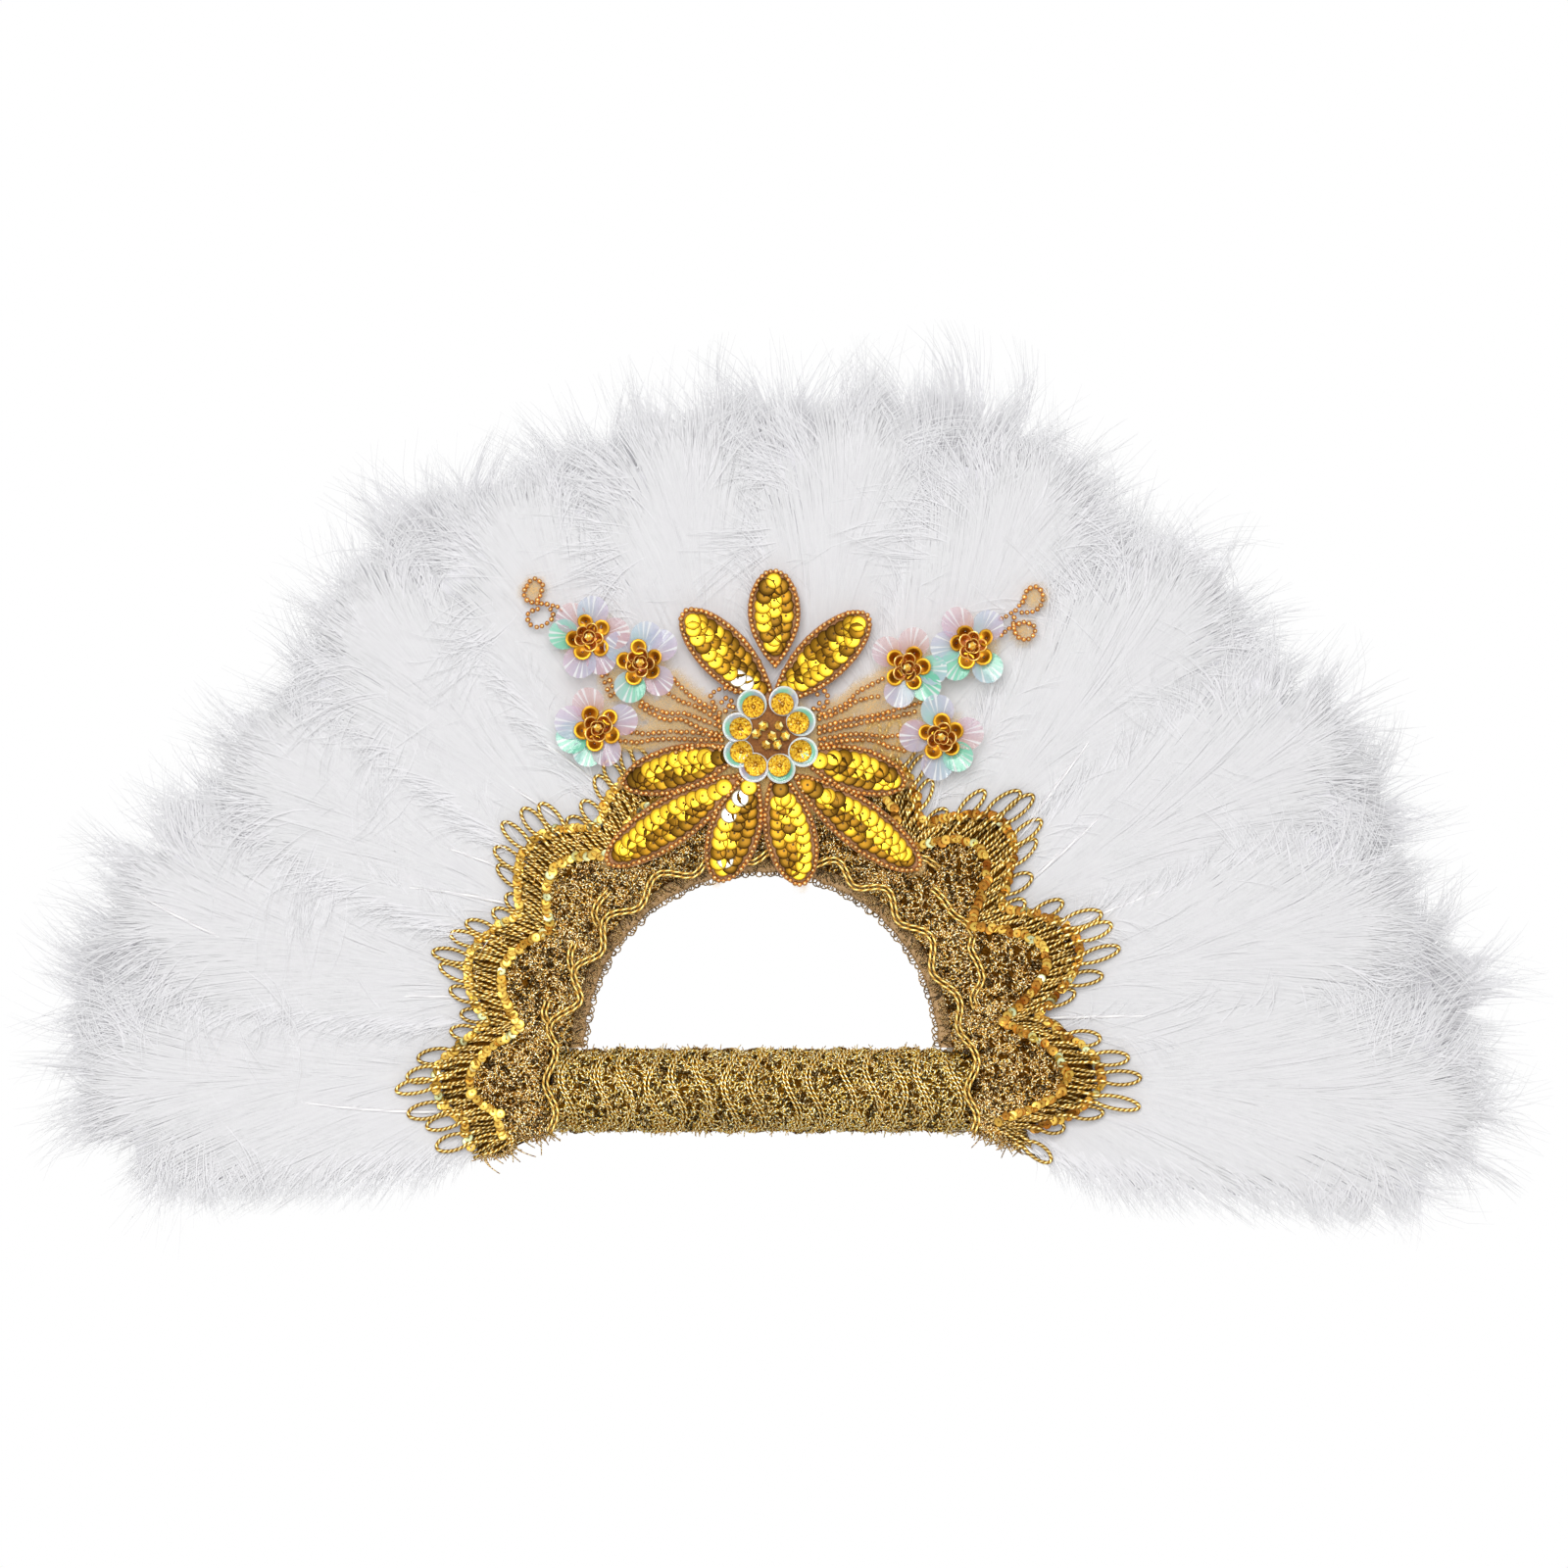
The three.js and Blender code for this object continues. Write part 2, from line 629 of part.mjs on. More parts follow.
// Centre flower: a ring of round sequins with a cup on each
function centrePetals() {
  const centre = onOrnament([0, 0]);
  const places = ringPlaces(centre, discRing, discCount, 180 / discCount);
  const near = petalNear;
  const far = near + discThickness;
  const overlap = far - discThickness / 2;
  return toGeometry(
    joined([
      ...places.map((place) => disc(place, discDiameter / 2, near, far)),
      ...places.map((place) => disc(place, cupDiameter / 2, overlap, far + cupThickness)),
    ]),
  );
}

// Centre heart: a pad that stands on the net and carries the beads
function centreHeart() {
  const centre = onOrnament([0, 0]);
  const top = petalNear + discThickness;
  const sink = centreBead / 4;
  const places = [centre, ...ringPlaces(centre, centreBeadRing, centreBeadCount)];
  return toGeometry(
    joined([
      disc(centre, padDiameter / 2, leafNear, top),
      ...places.map((place) => bead(place, centreBead, top - sink)),
    ]),
  );
}

const flowers = Object.entries(flowerTableShare).flatMap(([side, list]) =>
  list.map((flower, i) => ({
    side,
    name: `flower_${side}_${i + 1}`,
    place: onOrnament(flower.place),
    near: petalNear + flower.deck * (petalThickness + seatGap),
  })),
);

// Petals of a small flower: five shells, notched where a neighbour's heart stands
function flowerPetals(flower) {
  const near = flower.near;
  const far = near + petalThickness;
  const places = ringPlaces(flower.place, petalRing, petalCount, 90);
  let solid = joined([
    disc(flower.place, petalRing, near, far),
    ...places.map((place) => disc(place, petalDiameter / 2, near, far)),
  ]);
  const heartReach = heartCupRing + heartCupDiameter / 2 + seatGap;
  for (const other of flowers) {
    const distance = other.place.distanceTo(flower.place);
    if (other === flower || distance > petalRing + petalDiameter / 2 + heartReach) continue;
    const cutter = disc(other.place, heartReach, near - cutOverrun, far + cutOverrun);
    solid = solid.subtract(toSolid(cutter));
  }
  return toGeometry(solid);
}

// Heart of a small flower: five cups, a rosette that opens to the front, and a bead in it
function flowerHeart(flower) {
  const near = flower.near + petalThickness + seatGap;
  const top = near + heartCupThickness;
  const cups = ringPlaces(flower.place, heartCupRing, petalCount, 90 + 180 / petalCount);
  const wide = rosetteDiameter / 2;
  const profile = [
    new THREE.Vector2(0, top - heartCupThickness / 2),
    new THREE.Vector2(wide * 0.55, top - heartCupThickness / 2),
    new THREE.Vector2(wide, top + rosetteHeight),
    new THREE.Vector2(wide * 0.5, top + rosetteHeight * 0.3),
    new THREE.Vector2(0, top + rosetteHeight * 0.3),
  ];
  const rosette = new THREE.LatheGeometry(profile, 8);
  rosette.rotateX(Math.PI);
  rosette.translate(flower.place.x, 0, flower.place.y);
  return toGeometry(
    joined([
      disc(flower.place, heartCupRing, near, top),
      ...cups.map((place) => disc(place, heartCupDiameter / 2, near, top, front, 8)),
      rosette,
      bead(flower.place, heartBead, top),
    ]),
  );
}

// Bead stems of one side: pairs of strings from one knot to each flower, and the beaded loops
function beadStems(side) {
  const level = leafNear + beadDiameter / 2;
  const root = onOrnament(stemRootShare[side]);
  const strings = [disc(root, stemKnot / 2, leafNear, leafFar)];
  for (const flower of flowers.filter((other) => other.side === side)) {
    const along = flower.place.clone().sub(root);
    const aside = new THREE.Vector2(-along.y, along.x).normalize();
    for (const hand of [1, -1]) {
      const shift = hand * beadDiameter * 0.7;
      const spread = root.clone().addScaledVector(along, 0.35).addScaledVector(aside, shift);
      const end = flower.place.clone().addScaledVector(aside, shift);
      strings.push(cord([root, spread, end], beadDiameter, level, 5));
    }
  }
  const outer = flowers.find((flower) => flower.side === side);
  for (const loop of loopTableShare[side]) {
    const points = loop.map(onOrnament);
    const turning = points.length / 2;
    strings.push(cord([outer.place, ...points.slice(0, turning + 1)], beadDiameter, level, 9));
    strings.push(cord([...points.slice(turning), outer.place], beadDiameter, level, 7));
  }
  return toGeometry(joined(strings));
}

// How far the ornament reaches from the middle of the opening
const ornamentReach = Math.max(
  ...netOutlineShare.map((share) => onOrnament(share).distanceTo(around(0, 0))),
);

// Half thickness of a plume along its length: thin under the lace, held down by the ornament,
// and full outside it
function plumeHalfThickness(radius) {
  const heldDown = (netNear - seatGap) * 0.44;
  const root = plumeRootThickness / 2;
  const full = plumeFullThickness / 2;
  const laceReach = laceTipReach + seatGap;
  if (radius < laceReach) return root;
  if (radius < ornamentReach) {
    return THREE.MathUtils.mapLinear(radius, laceReach, ornamentReach, root, heldDown);
  }
  const swollen = Math.min((radius - ornamentReach) / plumeSwellLength, 1);
  return heldDown + (full - heldDown) * swollen;
}

// Rise of a plume across one pitch, which lets its edge pass over its neighbour's
function plumeRise(radius) {
  const half = plumeHalfThickness(radius);
  const overlapThere = Math.min(plumeOverlap, plumeHalfWidth / radius);
  const atMiddle = Math.max(1 - ((plumePitch * degree) / 2 / overlapThere) ** 2, 0);
  return 2 * half * atMiddle + 1.5 * seatGap;
}

// Level of a plume's mid-surface, which keeps it on its own side of the fan's mid-plane
function plumeLevel(radius) {
  const half = plumeHalfThickness(radius);
  const lean = (plumeRise(radius) * plumeOverlap) / (plumePitch * degree);
  return Math.max(quillLevel, seatGap / 2 + half + lean ** 2 / (4 * half));
}

// Distances from the middle of the opening at which a plume's section is drawn
function plumeStations(reach) {
  const tipStart = reach - plumeTipLength;
  const laceReach = laceTipReach + seatGap;
  const fullReach = Math.min(ornamentReach + plumeSwellLength, tipStart);
  const tip = [0, 0.3, 0.55, 0.75, 0.9, 0.98].map((share) => tipStart + plumeTipLength * share);
  const middle = (laceReach + ornamentReach) / 2;
  const waist = Math.min(ornamentReach, tipStart - seatGap);
  const swell = fullReach > waist + seatGap && fullReach < tipStart - seatGap ? [fullReach] : [];
  return [quillRoot, vaneStart, (vaneStart + laceReach) / 2, laceReach, middle, waist, ...swell, ...tip];
}

// A plume: quill and vane as one closed surface, leaning like a louvre over its neighbour
function plume(angle, reach, side) {
  const stations = plumeStations(reach);
  const across = [-1, -0.5, 0, 0.5, 1];
  const positions = [];
  stations.forEach((radius, i) => {
    const tip = Math.max((radius - reach + plumeTipLength) / plumeTipLength, 0);
    const taper = Math.cbrt(1 - tip ** 3);
    const widening = THREE.MathUtils.clamp((radius - vaneStart) / (laceTipReach - vaneStart), 0, 1);
    const quill = quillDiameter / 2;
    const fullWidth = Math.min(plumeOverlap * radius, plumeHalfWidth) * taper * raggedShare[i];
    const halfWidth = Math.max(quill, fullWidth * widening ** 0.35);
    const thickness = Math.max(plumeHalfThickness(radius) * taper, plumeTipThickness / 2);
    const level = plumeLevel(radius);
    const rise = plumeRise(radius) / (plumePitch * degree);
    const spine = quill * (1 - tip);
    const ring = [];
    for (const share of across) ring.push([share, 1]);
    for (const share of across.slice(1, -1).reverse()) ring.push([share, -1]);
    for (const [share, face] of ring) {
      const offset = (share * halfWidth) / radius;
      const swell = share === 0 ? Math.max(thickness, spine) : thickness * (1 - share ** 2);
      const place = around(angle + offset / degree, radius);
      positions.push(place.x, side * (level + rise * offset + face * swell), place.y);
    }
  });
  return sweptSurface(positions, 2 * across.length - 2, stations.length);
}

addPiece("backing_board", backingBoard(), BOARD);
addPiece("grip_core", gripCore(), BOARD);
addPiece("grip_wrap", gripWrap(), PALE_GOLD);
addPiece("opening_binding", openingBinding(), MESH);
addPiece("lace_front", lace(front), GOLD);
addPiece("lace_back", lace(back), GOLD);
addPiece("braid_front", braid(front), PALE_GOLD);
addPiece("braid_back", braid(back), PALE_GOLD);
addPiece("sequin_row_outer", sequinRow(sequinRowInset, 1), SEQUIN);
addPiece("sequin_row_inner", sequinRow(sequinRowInset + sequinRowSpacing, 0), SEQUIN);
addPiece("ornament_net", ornamentNet(), NET);
for (const leaf of leafLines) addPiece(leaf.name, leafPiece(leaf), SEQUIN);
addPiece("centre_petals", centrePetals(), SHELL);
addPiece("centre_heart", centreHeart(), GOLD);
for (const flower of flowers) {
  addPiece(`${flower.name}_petals`, flowerPetals(flower), SHELL);
  addPiece(`${flower.name}_heart`, flowerHeart(flower), AMBER);
}
addPiece("bead_stems_left", beadStems("left"), COPPER);
addPiece("bead_stems_right", beadStems("right"), COPPER);
frontReachShare.forEach((share, i) => {
  const angle = firstPlume + plumePitch * i;
  addPiece(`plume_front_${i + 1}`, plume(angle, plumeReach * share, front), PLUME);
});
backReachShare.forEach((share, i) => {
  const angle = firstPlume + plumePitch * (i + 0.5);
  addPiece(`plume_back_${i + 1}`, plume(angle, plumeReach * share, back), PLUME);
});

export default fan;
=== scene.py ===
"""Looks of a rigid feather hand fan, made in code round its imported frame.

Lengths in the classes are millimetres and angles are degrees, anticlockwise from +X about the
middle of the finger opening. The fan stands with +Z up and its decorated front towards -Y, and
the middle of the grip bar is the origin. A mesh gets its corners in metres.
"""

import functools
import logging
import math
from collections.abc import Callable
from dataclasses import dataclass, field
from enum import Enum

import bpy
import numpy as np
from numpy.typing import NDArray
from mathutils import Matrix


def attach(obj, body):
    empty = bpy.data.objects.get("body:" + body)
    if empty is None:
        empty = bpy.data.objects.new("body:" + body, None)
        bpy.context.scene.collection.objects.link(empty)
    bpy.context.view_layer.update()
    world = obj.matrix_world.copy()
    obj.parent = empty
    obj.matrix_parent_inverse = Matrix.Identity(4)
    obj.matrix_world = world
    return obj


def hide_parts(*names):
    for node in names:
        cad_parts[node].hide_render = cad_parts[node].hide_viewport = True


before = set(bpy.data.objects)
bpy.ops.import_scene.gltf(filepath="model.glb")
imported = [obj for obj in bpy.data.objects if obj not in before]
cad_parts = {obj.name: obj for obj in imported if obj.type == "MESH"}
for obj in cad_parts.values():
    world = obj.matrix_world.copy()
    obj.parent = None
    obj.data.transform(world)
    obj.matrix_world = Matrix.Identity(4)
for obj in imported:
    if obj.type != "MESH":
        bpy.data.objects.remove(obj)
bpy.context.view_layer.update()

Floats = NDArray[np.float64]
Ints = NDArray[np.int64]
Random = np.random.Generator
Colour = tuple[float, float, float]
Stops = tuple[tuple[float, Colour], ...]
Line = tuple[tuple[float, float], ...]
Node = bpy.types.Node
Tree = bpy.types.NodeTree
Socket = bpy.types.NodeSocket
Source = bpy.types.NodeSocket | Colour | float

MM = 0.001
CHART = "OFBake"

# The middle of the finger opening above the bar's, and the angle at which its half circle ends.
CENTRE_HEIGHT = 13.6
FLAT_SIDE = 180.0

# The photograph: its width, the size of one of its steps, and the step at which the origin lies.
PICTURE_WIDTH = 1600.0
PICTURE_STEP = 0.32
PICTURE_ORIGIN = (777.0, 1112.5)

# The ornament's centre flower and half width, and the angle from one plume to the next.
ORNAMENT_MIDDLE = (3.2, 115.4)
ORNAMENT_HALF = 90.0
PLUME_PITCH = 188.5 / 11

# The lace: its first scallop's axis, the angle between two, and how far it reaches in a valley with
# and without its loops. Its dense part stands out by a share of what the loops do.
FIRST_SCALLOP = -29.3
SCALLOP_PITCH = 24.0
VALLEY = 97.0
DENSE_VALLEY = 90.0
DENSE_SHARE = 0.72
SCALLOP_DEPTHS = (0.56, 1, 0.91, 0.855, 0.65, 0.475, 0.43, 0.51, 0.455, 0.8, 0.475)

log = logging.getLogger("feather_fan")


class Face(Enum):
    """The two faces of the fan, as the sign of their Y."""

    FRONT = -1
    BACK = 1


# Places


def shades(words: str) -> tuple[Colour, ...]:
    """Colours written as six-digit display colours, as the linear values that a shader takes.

    Args:
        words: the colours, with spaces between them.

    Returns:
        The red, green and blue of each.
    """
    steps = np.array([list(bytes.fromhex(word)) for word in words.split()]) / 255
    low, high = steps / 12.92, ((steps + 0.055) / 1.055) ** 2.4
    return tuple(tuple(float(x) for x in row) for row in np.where(steps <= 0.04045, low, high))


def unit(vectors: Floats) -> Floats:
    """The vectors at length one."""
    return vectors / np.maximum(np.linalg.norm(vectors, axis=-1, keepdims=True), 1e-9)


def ramp(low: float, high: float, values: Floats) -> Floats:
    """A smooth rise from 0 at low to 1 at high: 3s squared less 2s cubed."""
    share = np.clip((values - low) / (high - low), 0, 1)
    return share * share * (3 - 2 * share)


def around(angle: Floats, radius: Floats) -> tuple[Floats, Floats]:
    """X and Z of places at an angle and a distance from the middle of the opening."""
    turn = np.radians(angle)
    return radius * np.cos(turn), CENTRE_HEIGHT + radius * np.sin(turn)


def in_space(x: Floats, y: Floats, z: Floats) -> Floats:
    """Places from their three coordinates, spread to a common shape."""
    return np.stack(np.broadcast_arrays(x, y, z), axis=-1).astype(float)


def towards(turn: Floats) -> Floats:
    """Directions in a plane at angles in radians, with the two coordinates last."""
    return np.stack([np.cos(turn), np.sin(turn)], -1)


def leftward(ahead: Floats) -> Floats:
    """Directions a quarter turn to the left of others in a plane."""
    return np.stack([-ahead[..., 1], ahead[..., 0]], -1)


def placed(angle: Floats, radius: Floats, y: Floats) -> Floats:
    """Places round the opening at a depth y."""
    x, z = around(angle, radius)
    return in_space(x, y, z)


def on_face(face: Face, angle: Floats, radius: Floats, level: Floats) -> Floats:
    """Places round the opening on a face, at a distance from the fan's middle plane."""
    return placed(angle, radius, face.value * level)


def on_ornament(across: Floats, up: Floats) -> tuple[Floats, Floats]:
    """X and Z of places given as shares of the ornament's half width from its centre flower."""
    x, z = ORNAMENT_MIDDLE
    return x + ORNAMENT_HALF * np.asarray(across), z + ORNAMENT_HALF * np.asarray(up)


def spots(pixels: Line) -> Floats:
    """X and Z of places measured in the picture, in steps from its top left corner.

    Args:
        pixels: the places.

    Returns:
        Their X and Z, (n, 2).
    """
    steps = np.array(pixels, dtype=float)
    x, z = PICTURE_ORIGIN
    return np.stack([(steps[:, 0] - x) * PICTURE_STEP, (z - steps[:, 1]) * PICTURE_STEP], -1)


def wobble(rng: Random, values: Floats, waves: int, pace: float) -> Floats:
    """A smooth random curve of about one unit: a sum of sines with random paces and starts.

    Args:
        rng: source of the random numbers.
        values: where the curve is read.
        waves: how many sines.
        pace: turns per unit of the fastest sine.

    Returns:
        The curve's values, in the shape of the values given.
    """
    total = np.zeros_like(values, dtype=float)
    for _ in range(waves):
        total += np.sin(2 * np.pi * (rng.uniform(0.2, 1) * pace * values + rng.uniform()))
    return total / math.sqrt(waves / 2)


def drawn(
    rng: Random, middle: float, spread: float, count: int, low: float = 0.0, high: float = 1.0
) -> Floats:
    """Random tones round a middle one, kept between two limits.

    Args:
        rng: source of the random numbers.
        middle: the middle tone.
        spread: how far they stray from it.
        count: how many.
        low: lowest tone.
        high: highest tone.

    Returns:
        The tones.
    """
    return np.clip(rng.normal(middle, spread, count), low, high)


# Surfaces


@dataclass(frozen=True)
class Patch:
    """Corners and faces of a surface.

    Attributes:
        places: corners, (n, 3), in millimetres.
        faces: pairs of corner numbers (m, k) and chart places (m, k, 2).
        normals: outward directions of the corners, or None for those of the faces.
    """

    places: Floats
    faces: tuple[tuple[Ints, Floats], ...]
    normals: Floats | None = None


def lattice(count: int, rows: int, columns: int, closed: bool) -> Ints:
    """Corner numbers of the quads of some equal grids.

    Args:
        count: number of grids, whose corners follow each other.
        rows: rows of corners in one grid.
        columns: corners in one row.
        closed: whether the last column joins the first.

    Returns:
        Corner numbers, (count, rows - 1, quads of a row, 4), that turn from the columns'
        direction towards the rows'.
    """
    first = np.arange(columns if closed else columns - 1)
    after = (first + 1) % columns
    row = np.arange(rows - 1)[:, None] * columns
    quad = np.stack([row + first, row + after, row + after + columns, row + first + columns], -1)
    return np.arange(count)[:, None, None, None] * (rows * columns) + quad


def gridded(
    places: Floats, quads: Ints, x: Floats, y: Floats | float = 0.0, normals: Floats | None = None
) -> Patch:
    """A surface of quads.

    Args:
        places: corners, with the coordinates last.
        quads: corner numbers, with the four corners last.
        x: the chart's first number at the quads' corners, which spreads to the shape of quads.
        y: the chart's second number.
        normals: outward directions of the corners, or None for those of the faces.

    Returns:
        The surface.
    """
    chart = np.stack(np.broadcast_arrays(x, y, quads)[:2], -1)
    outward = None if normals is None else normals.reshape(-1, 3)
    return Patch(places.reshape(-1, 3), ((quads.reshape(-1, 4), chart.reshape(-1, 4, 2)),), outward)


def row_by_row(values: Floats) -> Floats:
    """Values of the rows at the four corners of the quads between them, the later row first."""
    return np.stack([values[1:], values[1:], values[:-1], values[:-1]], -1)[:, None]


def side_by_side(values: Floats) -> Floats:
    """Values round a ring at the four corners of its quads: this column, the next two and this."""
    after = np.roll(values, -1)
    return np.stack([values, after, after, values], -1)


def sheet_patch(places: Floats, closed: bool = False) -> Patch:
    """Quads over a grid of places, (rows, columns, 3), with its chart from 0 to 1 each way.

    Args:
        places: the grid.
        closed: whether the last column joins the first.

    Returns:
        The surface.
    """
    rows, columns = places.shape[:2]
    quads = lattice(1, rows, columns, closed)[0]
    spans = columns if closed else columns - 1
    x = (np.arange(quads.shape[1])[None, :, None] + np.array([0, 1, 1, 0])) / spans
    y = (np.arange(rows - 1)[:, None, None] + np.array([0, 0, 1, 1])) / (rows - 1)
    return gridded(places, quads, x, y)


def tubes(
    paths: Floats,
    radius: Floats | float,
    sides: int,
    tones: Floats | float,
    pitch: float,
    lit: float = 0.0,
) -> Patch:
    """Round cords along some paths, with flat ends.

    A corner lies at the path's place plus the radius times cos and sin of its turn along two
    directions square to the path. Its chart gives half the share of a twist's pitch that it has
    reached, and the cord's tone.

    Args:
        paths: centre lines, (cords, points, 3).
        radius: radius at each point, or one that broadcasts to (cords, points).
        sides: corners round a cord.
        tones: one tone for each cord, or for all of them.
        pitch: length of one turn of the twist.
        lit: painted light: how much lighter the side towards -Y is painted than the flanks, which get painted
            shade; below 0 for the side towards Y.

    Returns:
        The cords' surface.
    """
    count, points = paths.shape[:2]
    tones = np.broadcast_to(tones, count)
    along = unit(np.gradient(paths, axis=1))
    across = unit(np.cross(along, [0.013, 1.0, 0.021]))
    ahead = np.cross(along, across)
    turn = 2 * np.pi * (np.arange(sides) + 0.25) / sides
    radius = np.broadcast_to(radius, (count, points))[..., None, None]
    ring = np.cos(turn)[:, None] * across[:, :, None] + np.sin(turn)[:, None] * ahead[:, :, None]
    corners = paths[:, :, None] + radius * ring
    quads = lattice(count, points, sides, True)
    step = np.linalg.norm(np.diff(paths, axis=1), axis=-1)
    reached = np.concatenate([np.zeros((count, 1)), np.cumsum(step, axis=1)], axis=1) / pitch
    turned = 2 * np.arange(sides + 1) / sides
    before, after = reached[:, :-1, None], reached[:, 1:, None]
    phase = np.stack(
        [before + turned[:-1], before + turned[1:], after + turned[1:], after + turned[:-1]], -1
    )
    phase = np.minimum((phase - np.floor(phase.min(-1, keepdims=True))) / 2, 1.0)
    # Painted light: a cord's side towards the lamp is painted lighter than its flanks.
    bright = side_by_side(lit * np.sin(turn) - 0.5 * abs(lit))
    tone = np.clip(tones[:, None, None, None] + bright + 0 * phase, 0, 1)
    chart = np.stack([phase, tone], -1)
    first = np.arange(count)[:, None] * points * sides + np.arange(sides)[::-1]
    ends = np.concatenate([first, first[:, ::-1] + (points - 1) * sides])
    end_tone = np.broadcast_to(np.tile(tones, 2)[:, None], ends.shape)
    end_chart = np.stack([np.full(ends.shape, 0.25), end_tone], -1)
    walls = quads.reshape(-1, 4), chart.reshape(-1, 4, 2)
    return Patch(corners.reshape(-1, 3), (walls, (ends, end_chart)))


def ribbons(paths: Floats, half_width: Floats, outward: Floats, tones: Floats, normals: Floats) -> Patch:
    """Flat strands along some paths, each facing its outward direction.

    A strand's edges lie half its width to each side of the path, along the path's direction
    crossed with the outward one. Its chart gives the share of its length and its tone.

    Args:
        paths: centre lines, (strands, points, 3).
        half_width: half widths, (strands, points).
        outward: directions that the strands face, (strands, points, 3).
        tones: one tone for each strand.
        normals: directions in which light finds them facing, (strands, points, 3).

    Returns:
        The strands' surface.
    """
    count, points = paths.shape[:2]
    along = unit(np.gradient(paths, axis=1))
    aside = unit(np.cross(along, outward)) * half_width[..., None]
    corners = np.stack([paths - aside, paths + aside], axis=2)
    quads = lattice(count, points, 2, False)
    share = np.arange(points) / (points - 1)
    x = np.stack([share[:-1], share[:-1], share[1:], share[1:]], -1)[None, :, None]
    return gridded(corners, quads, x, tones[:, None, None, None], np.repeat(normals[:, :, None], 2, axis=2))


def stamped(
    shape: Patch, centres: Floats, axes: Floats, sizes: Floats | float, tones: Floats | float
) -> Patch:
    """One small shape set at many places.

    Args:
        shape: the shape, about its own origin; its chart's second number is a change of tone.
        centres: where it goes, (n, 3).
        axes: its own X, Y and Z directions at each place, (n, 3, 3).
        sizes: its scale at each place, or everywhere.
        tones: its tone at each place, or everywhere.

    Returns:
        All the copies as one surface.
    """
    sizes, tones = (np.broadcast_to(v, len(centres))[:, None, None] for v in (sizes, tones))
    corners = centres[:, None] + (shape.places * sizes) @ axes
    groups = []
    for faces, chart in shape.faces:
        step = np.arange(len(centres))[:, None, None] * len(shape.places)
        spread = np.broadcast_to(chart, (len(centres), *chart.shape)).copy()
        spread[..., 1] = np.clip(spread[..., 1] + tones, 0.0, 1.0)
        groups.append(((step + faces).reshape(-1, faces.shape[1]), spread.reshape(-1, *chart.shape[1:])))
    return Patch(corners.reshape(-1, 3), tuple(groups))


def sewn_on(
    shape: Patch,
    place: tuple[Floats, Floats],
    level: Floats | float,
    axes: Floats,
    sizes: Floats | float,
    tones: Floats | float,
) -> Patch:
    """A small shape stamped at X and Z places of the front, at a level before the middle plane.

    Args:
        shape: the shape.
        place: X and Z of the places.
        level: distance from the middle plane.
        axes: its own directions at each place, (n, 3, 3).
        sizes: its scale at each place, or everywhere.
        tones: its tone at each place, or everywhere.

    Returns:
        All the copies as one surface.
    """
    x, z = (np.atleast_1d(v) for v in place)
    return stamped(shape, in_space(x, -level, z), axes, sizes, tones)


def turned_over(patch: Patch) -> Patch:
    """The same surface with its faces turned over."""
    groups = tuple((faces[:, ::-1], chart[:, ::-1]) for faces, chart in patch.faces)
    return Patch(patch.places, groups, patch.normals)


def facing(angle: Floats, tip: Floats = 0.0, roll: Floats = 0.0, face: Face = Face.FRONT) -> Floats:
    """Directions of shapes that lie on a face of the fan.

    Args:
        angle: direction of a shape's own X in the fan's plane.
        tip: how far its X end rises off the face.
        roll: how far it turns about its own X.
        face: the face that its own Z looks away from.

    Returns:
        The own X, Y and Z directions, (n, 3, 3).
    """
    angle, tip, roll = np.broadcast_arrays(*(np.radians(np.atleast_1d(a)) for a in (angle, tip, roll)))
    zero = np.zeros_like(angle)
    out = in_space(zero, zero + face.value, zero)
    flat = in_space(np.cos(angle), zero, np.sin(angle))
    side = np.cross(out, flat)
    x = flat * np.cos(tip)[:, None] + out * np.sin(tip)[:, None]
    z = out * np.cos(tip)[:, None] - flat * np.sin(tip)[:, None]
    y = side * np.cos(roll)[:, None] + z * np.sin(roll)[:, None]
    z = z * np.cos(roll)[:, None] - side * np.sin(roll)[:, None]
    return np.stack([x, y, z], axis=1)


def dish(
    radii: Floats, heights: Floats, sides: int, shares: Floats | None = None, tones: Floats | float = 0.0
) -> Patch:
    """A small shape turned about its own Z, from its middle outwards, which faces along that Z.

    Args:
        radii: radius of each ring.
        heights: height of each ring, or of each corner of each ring.
        sides: corners in a ring.
        shares: the chart's first number at each ring, which is its radius if this is None.
        tones: the chart's second number at each corner of a ring, or everywhere.

    Returns:
        The surface.
    """
    turn = 2 * np.pi * np.arange(sides) / sides
    level = heights.reshape(len(radii), -1)
    places = in_space(radii[:, None] * np.cos(turn), radii[:, None] * np.sin(turn), level)
    quads = lattice(1, len(radii), sides, True)[0][..., ::-1]
    across = row_by_row(radii if shares is None else shares)
    return gridded(places, quads, across, side_by_side(np.broadcast_to(tones, sides)))


def sequin_shape(sides: int) -> Patch:
    """A nearly flat sequin of radius one, pricked in the middle and rolled at its edge."""
    return dish(np.array([0.06, 0.5, 0.84, 1.0]), np.array([-0.05, -0.03, 0.0, 0.07]), sides)


def along_path(points: Floats, spacing: float) -> tuple[Floats, Floats]:
    """Places at an even spacing along a broken line.

    Args:
        points: corners of the line, (n, 2).
        spacing: about the distance between two places.

    Returns:
        The places (m, 2) and the line's direction at each in degrees (m,).
    """
    step = np.linalg.norm(np.diff(points, axis=0), axis=1)
    reached = np.concatenate([[0], np.cumsum(step)])
    count = max(int(round(reached[-1] / spacing)), 2)
    wanted = np.linspace(0, reached[-1], count)
    places = np.stack([np.interp(wanted, reached, points[:, i]) for i in (0, 1)], -1)
    heading = np.gradient(places, axis=0)
    return places, np.degrees(np.arctan2(heading[:, 1], heading[:, 0]))


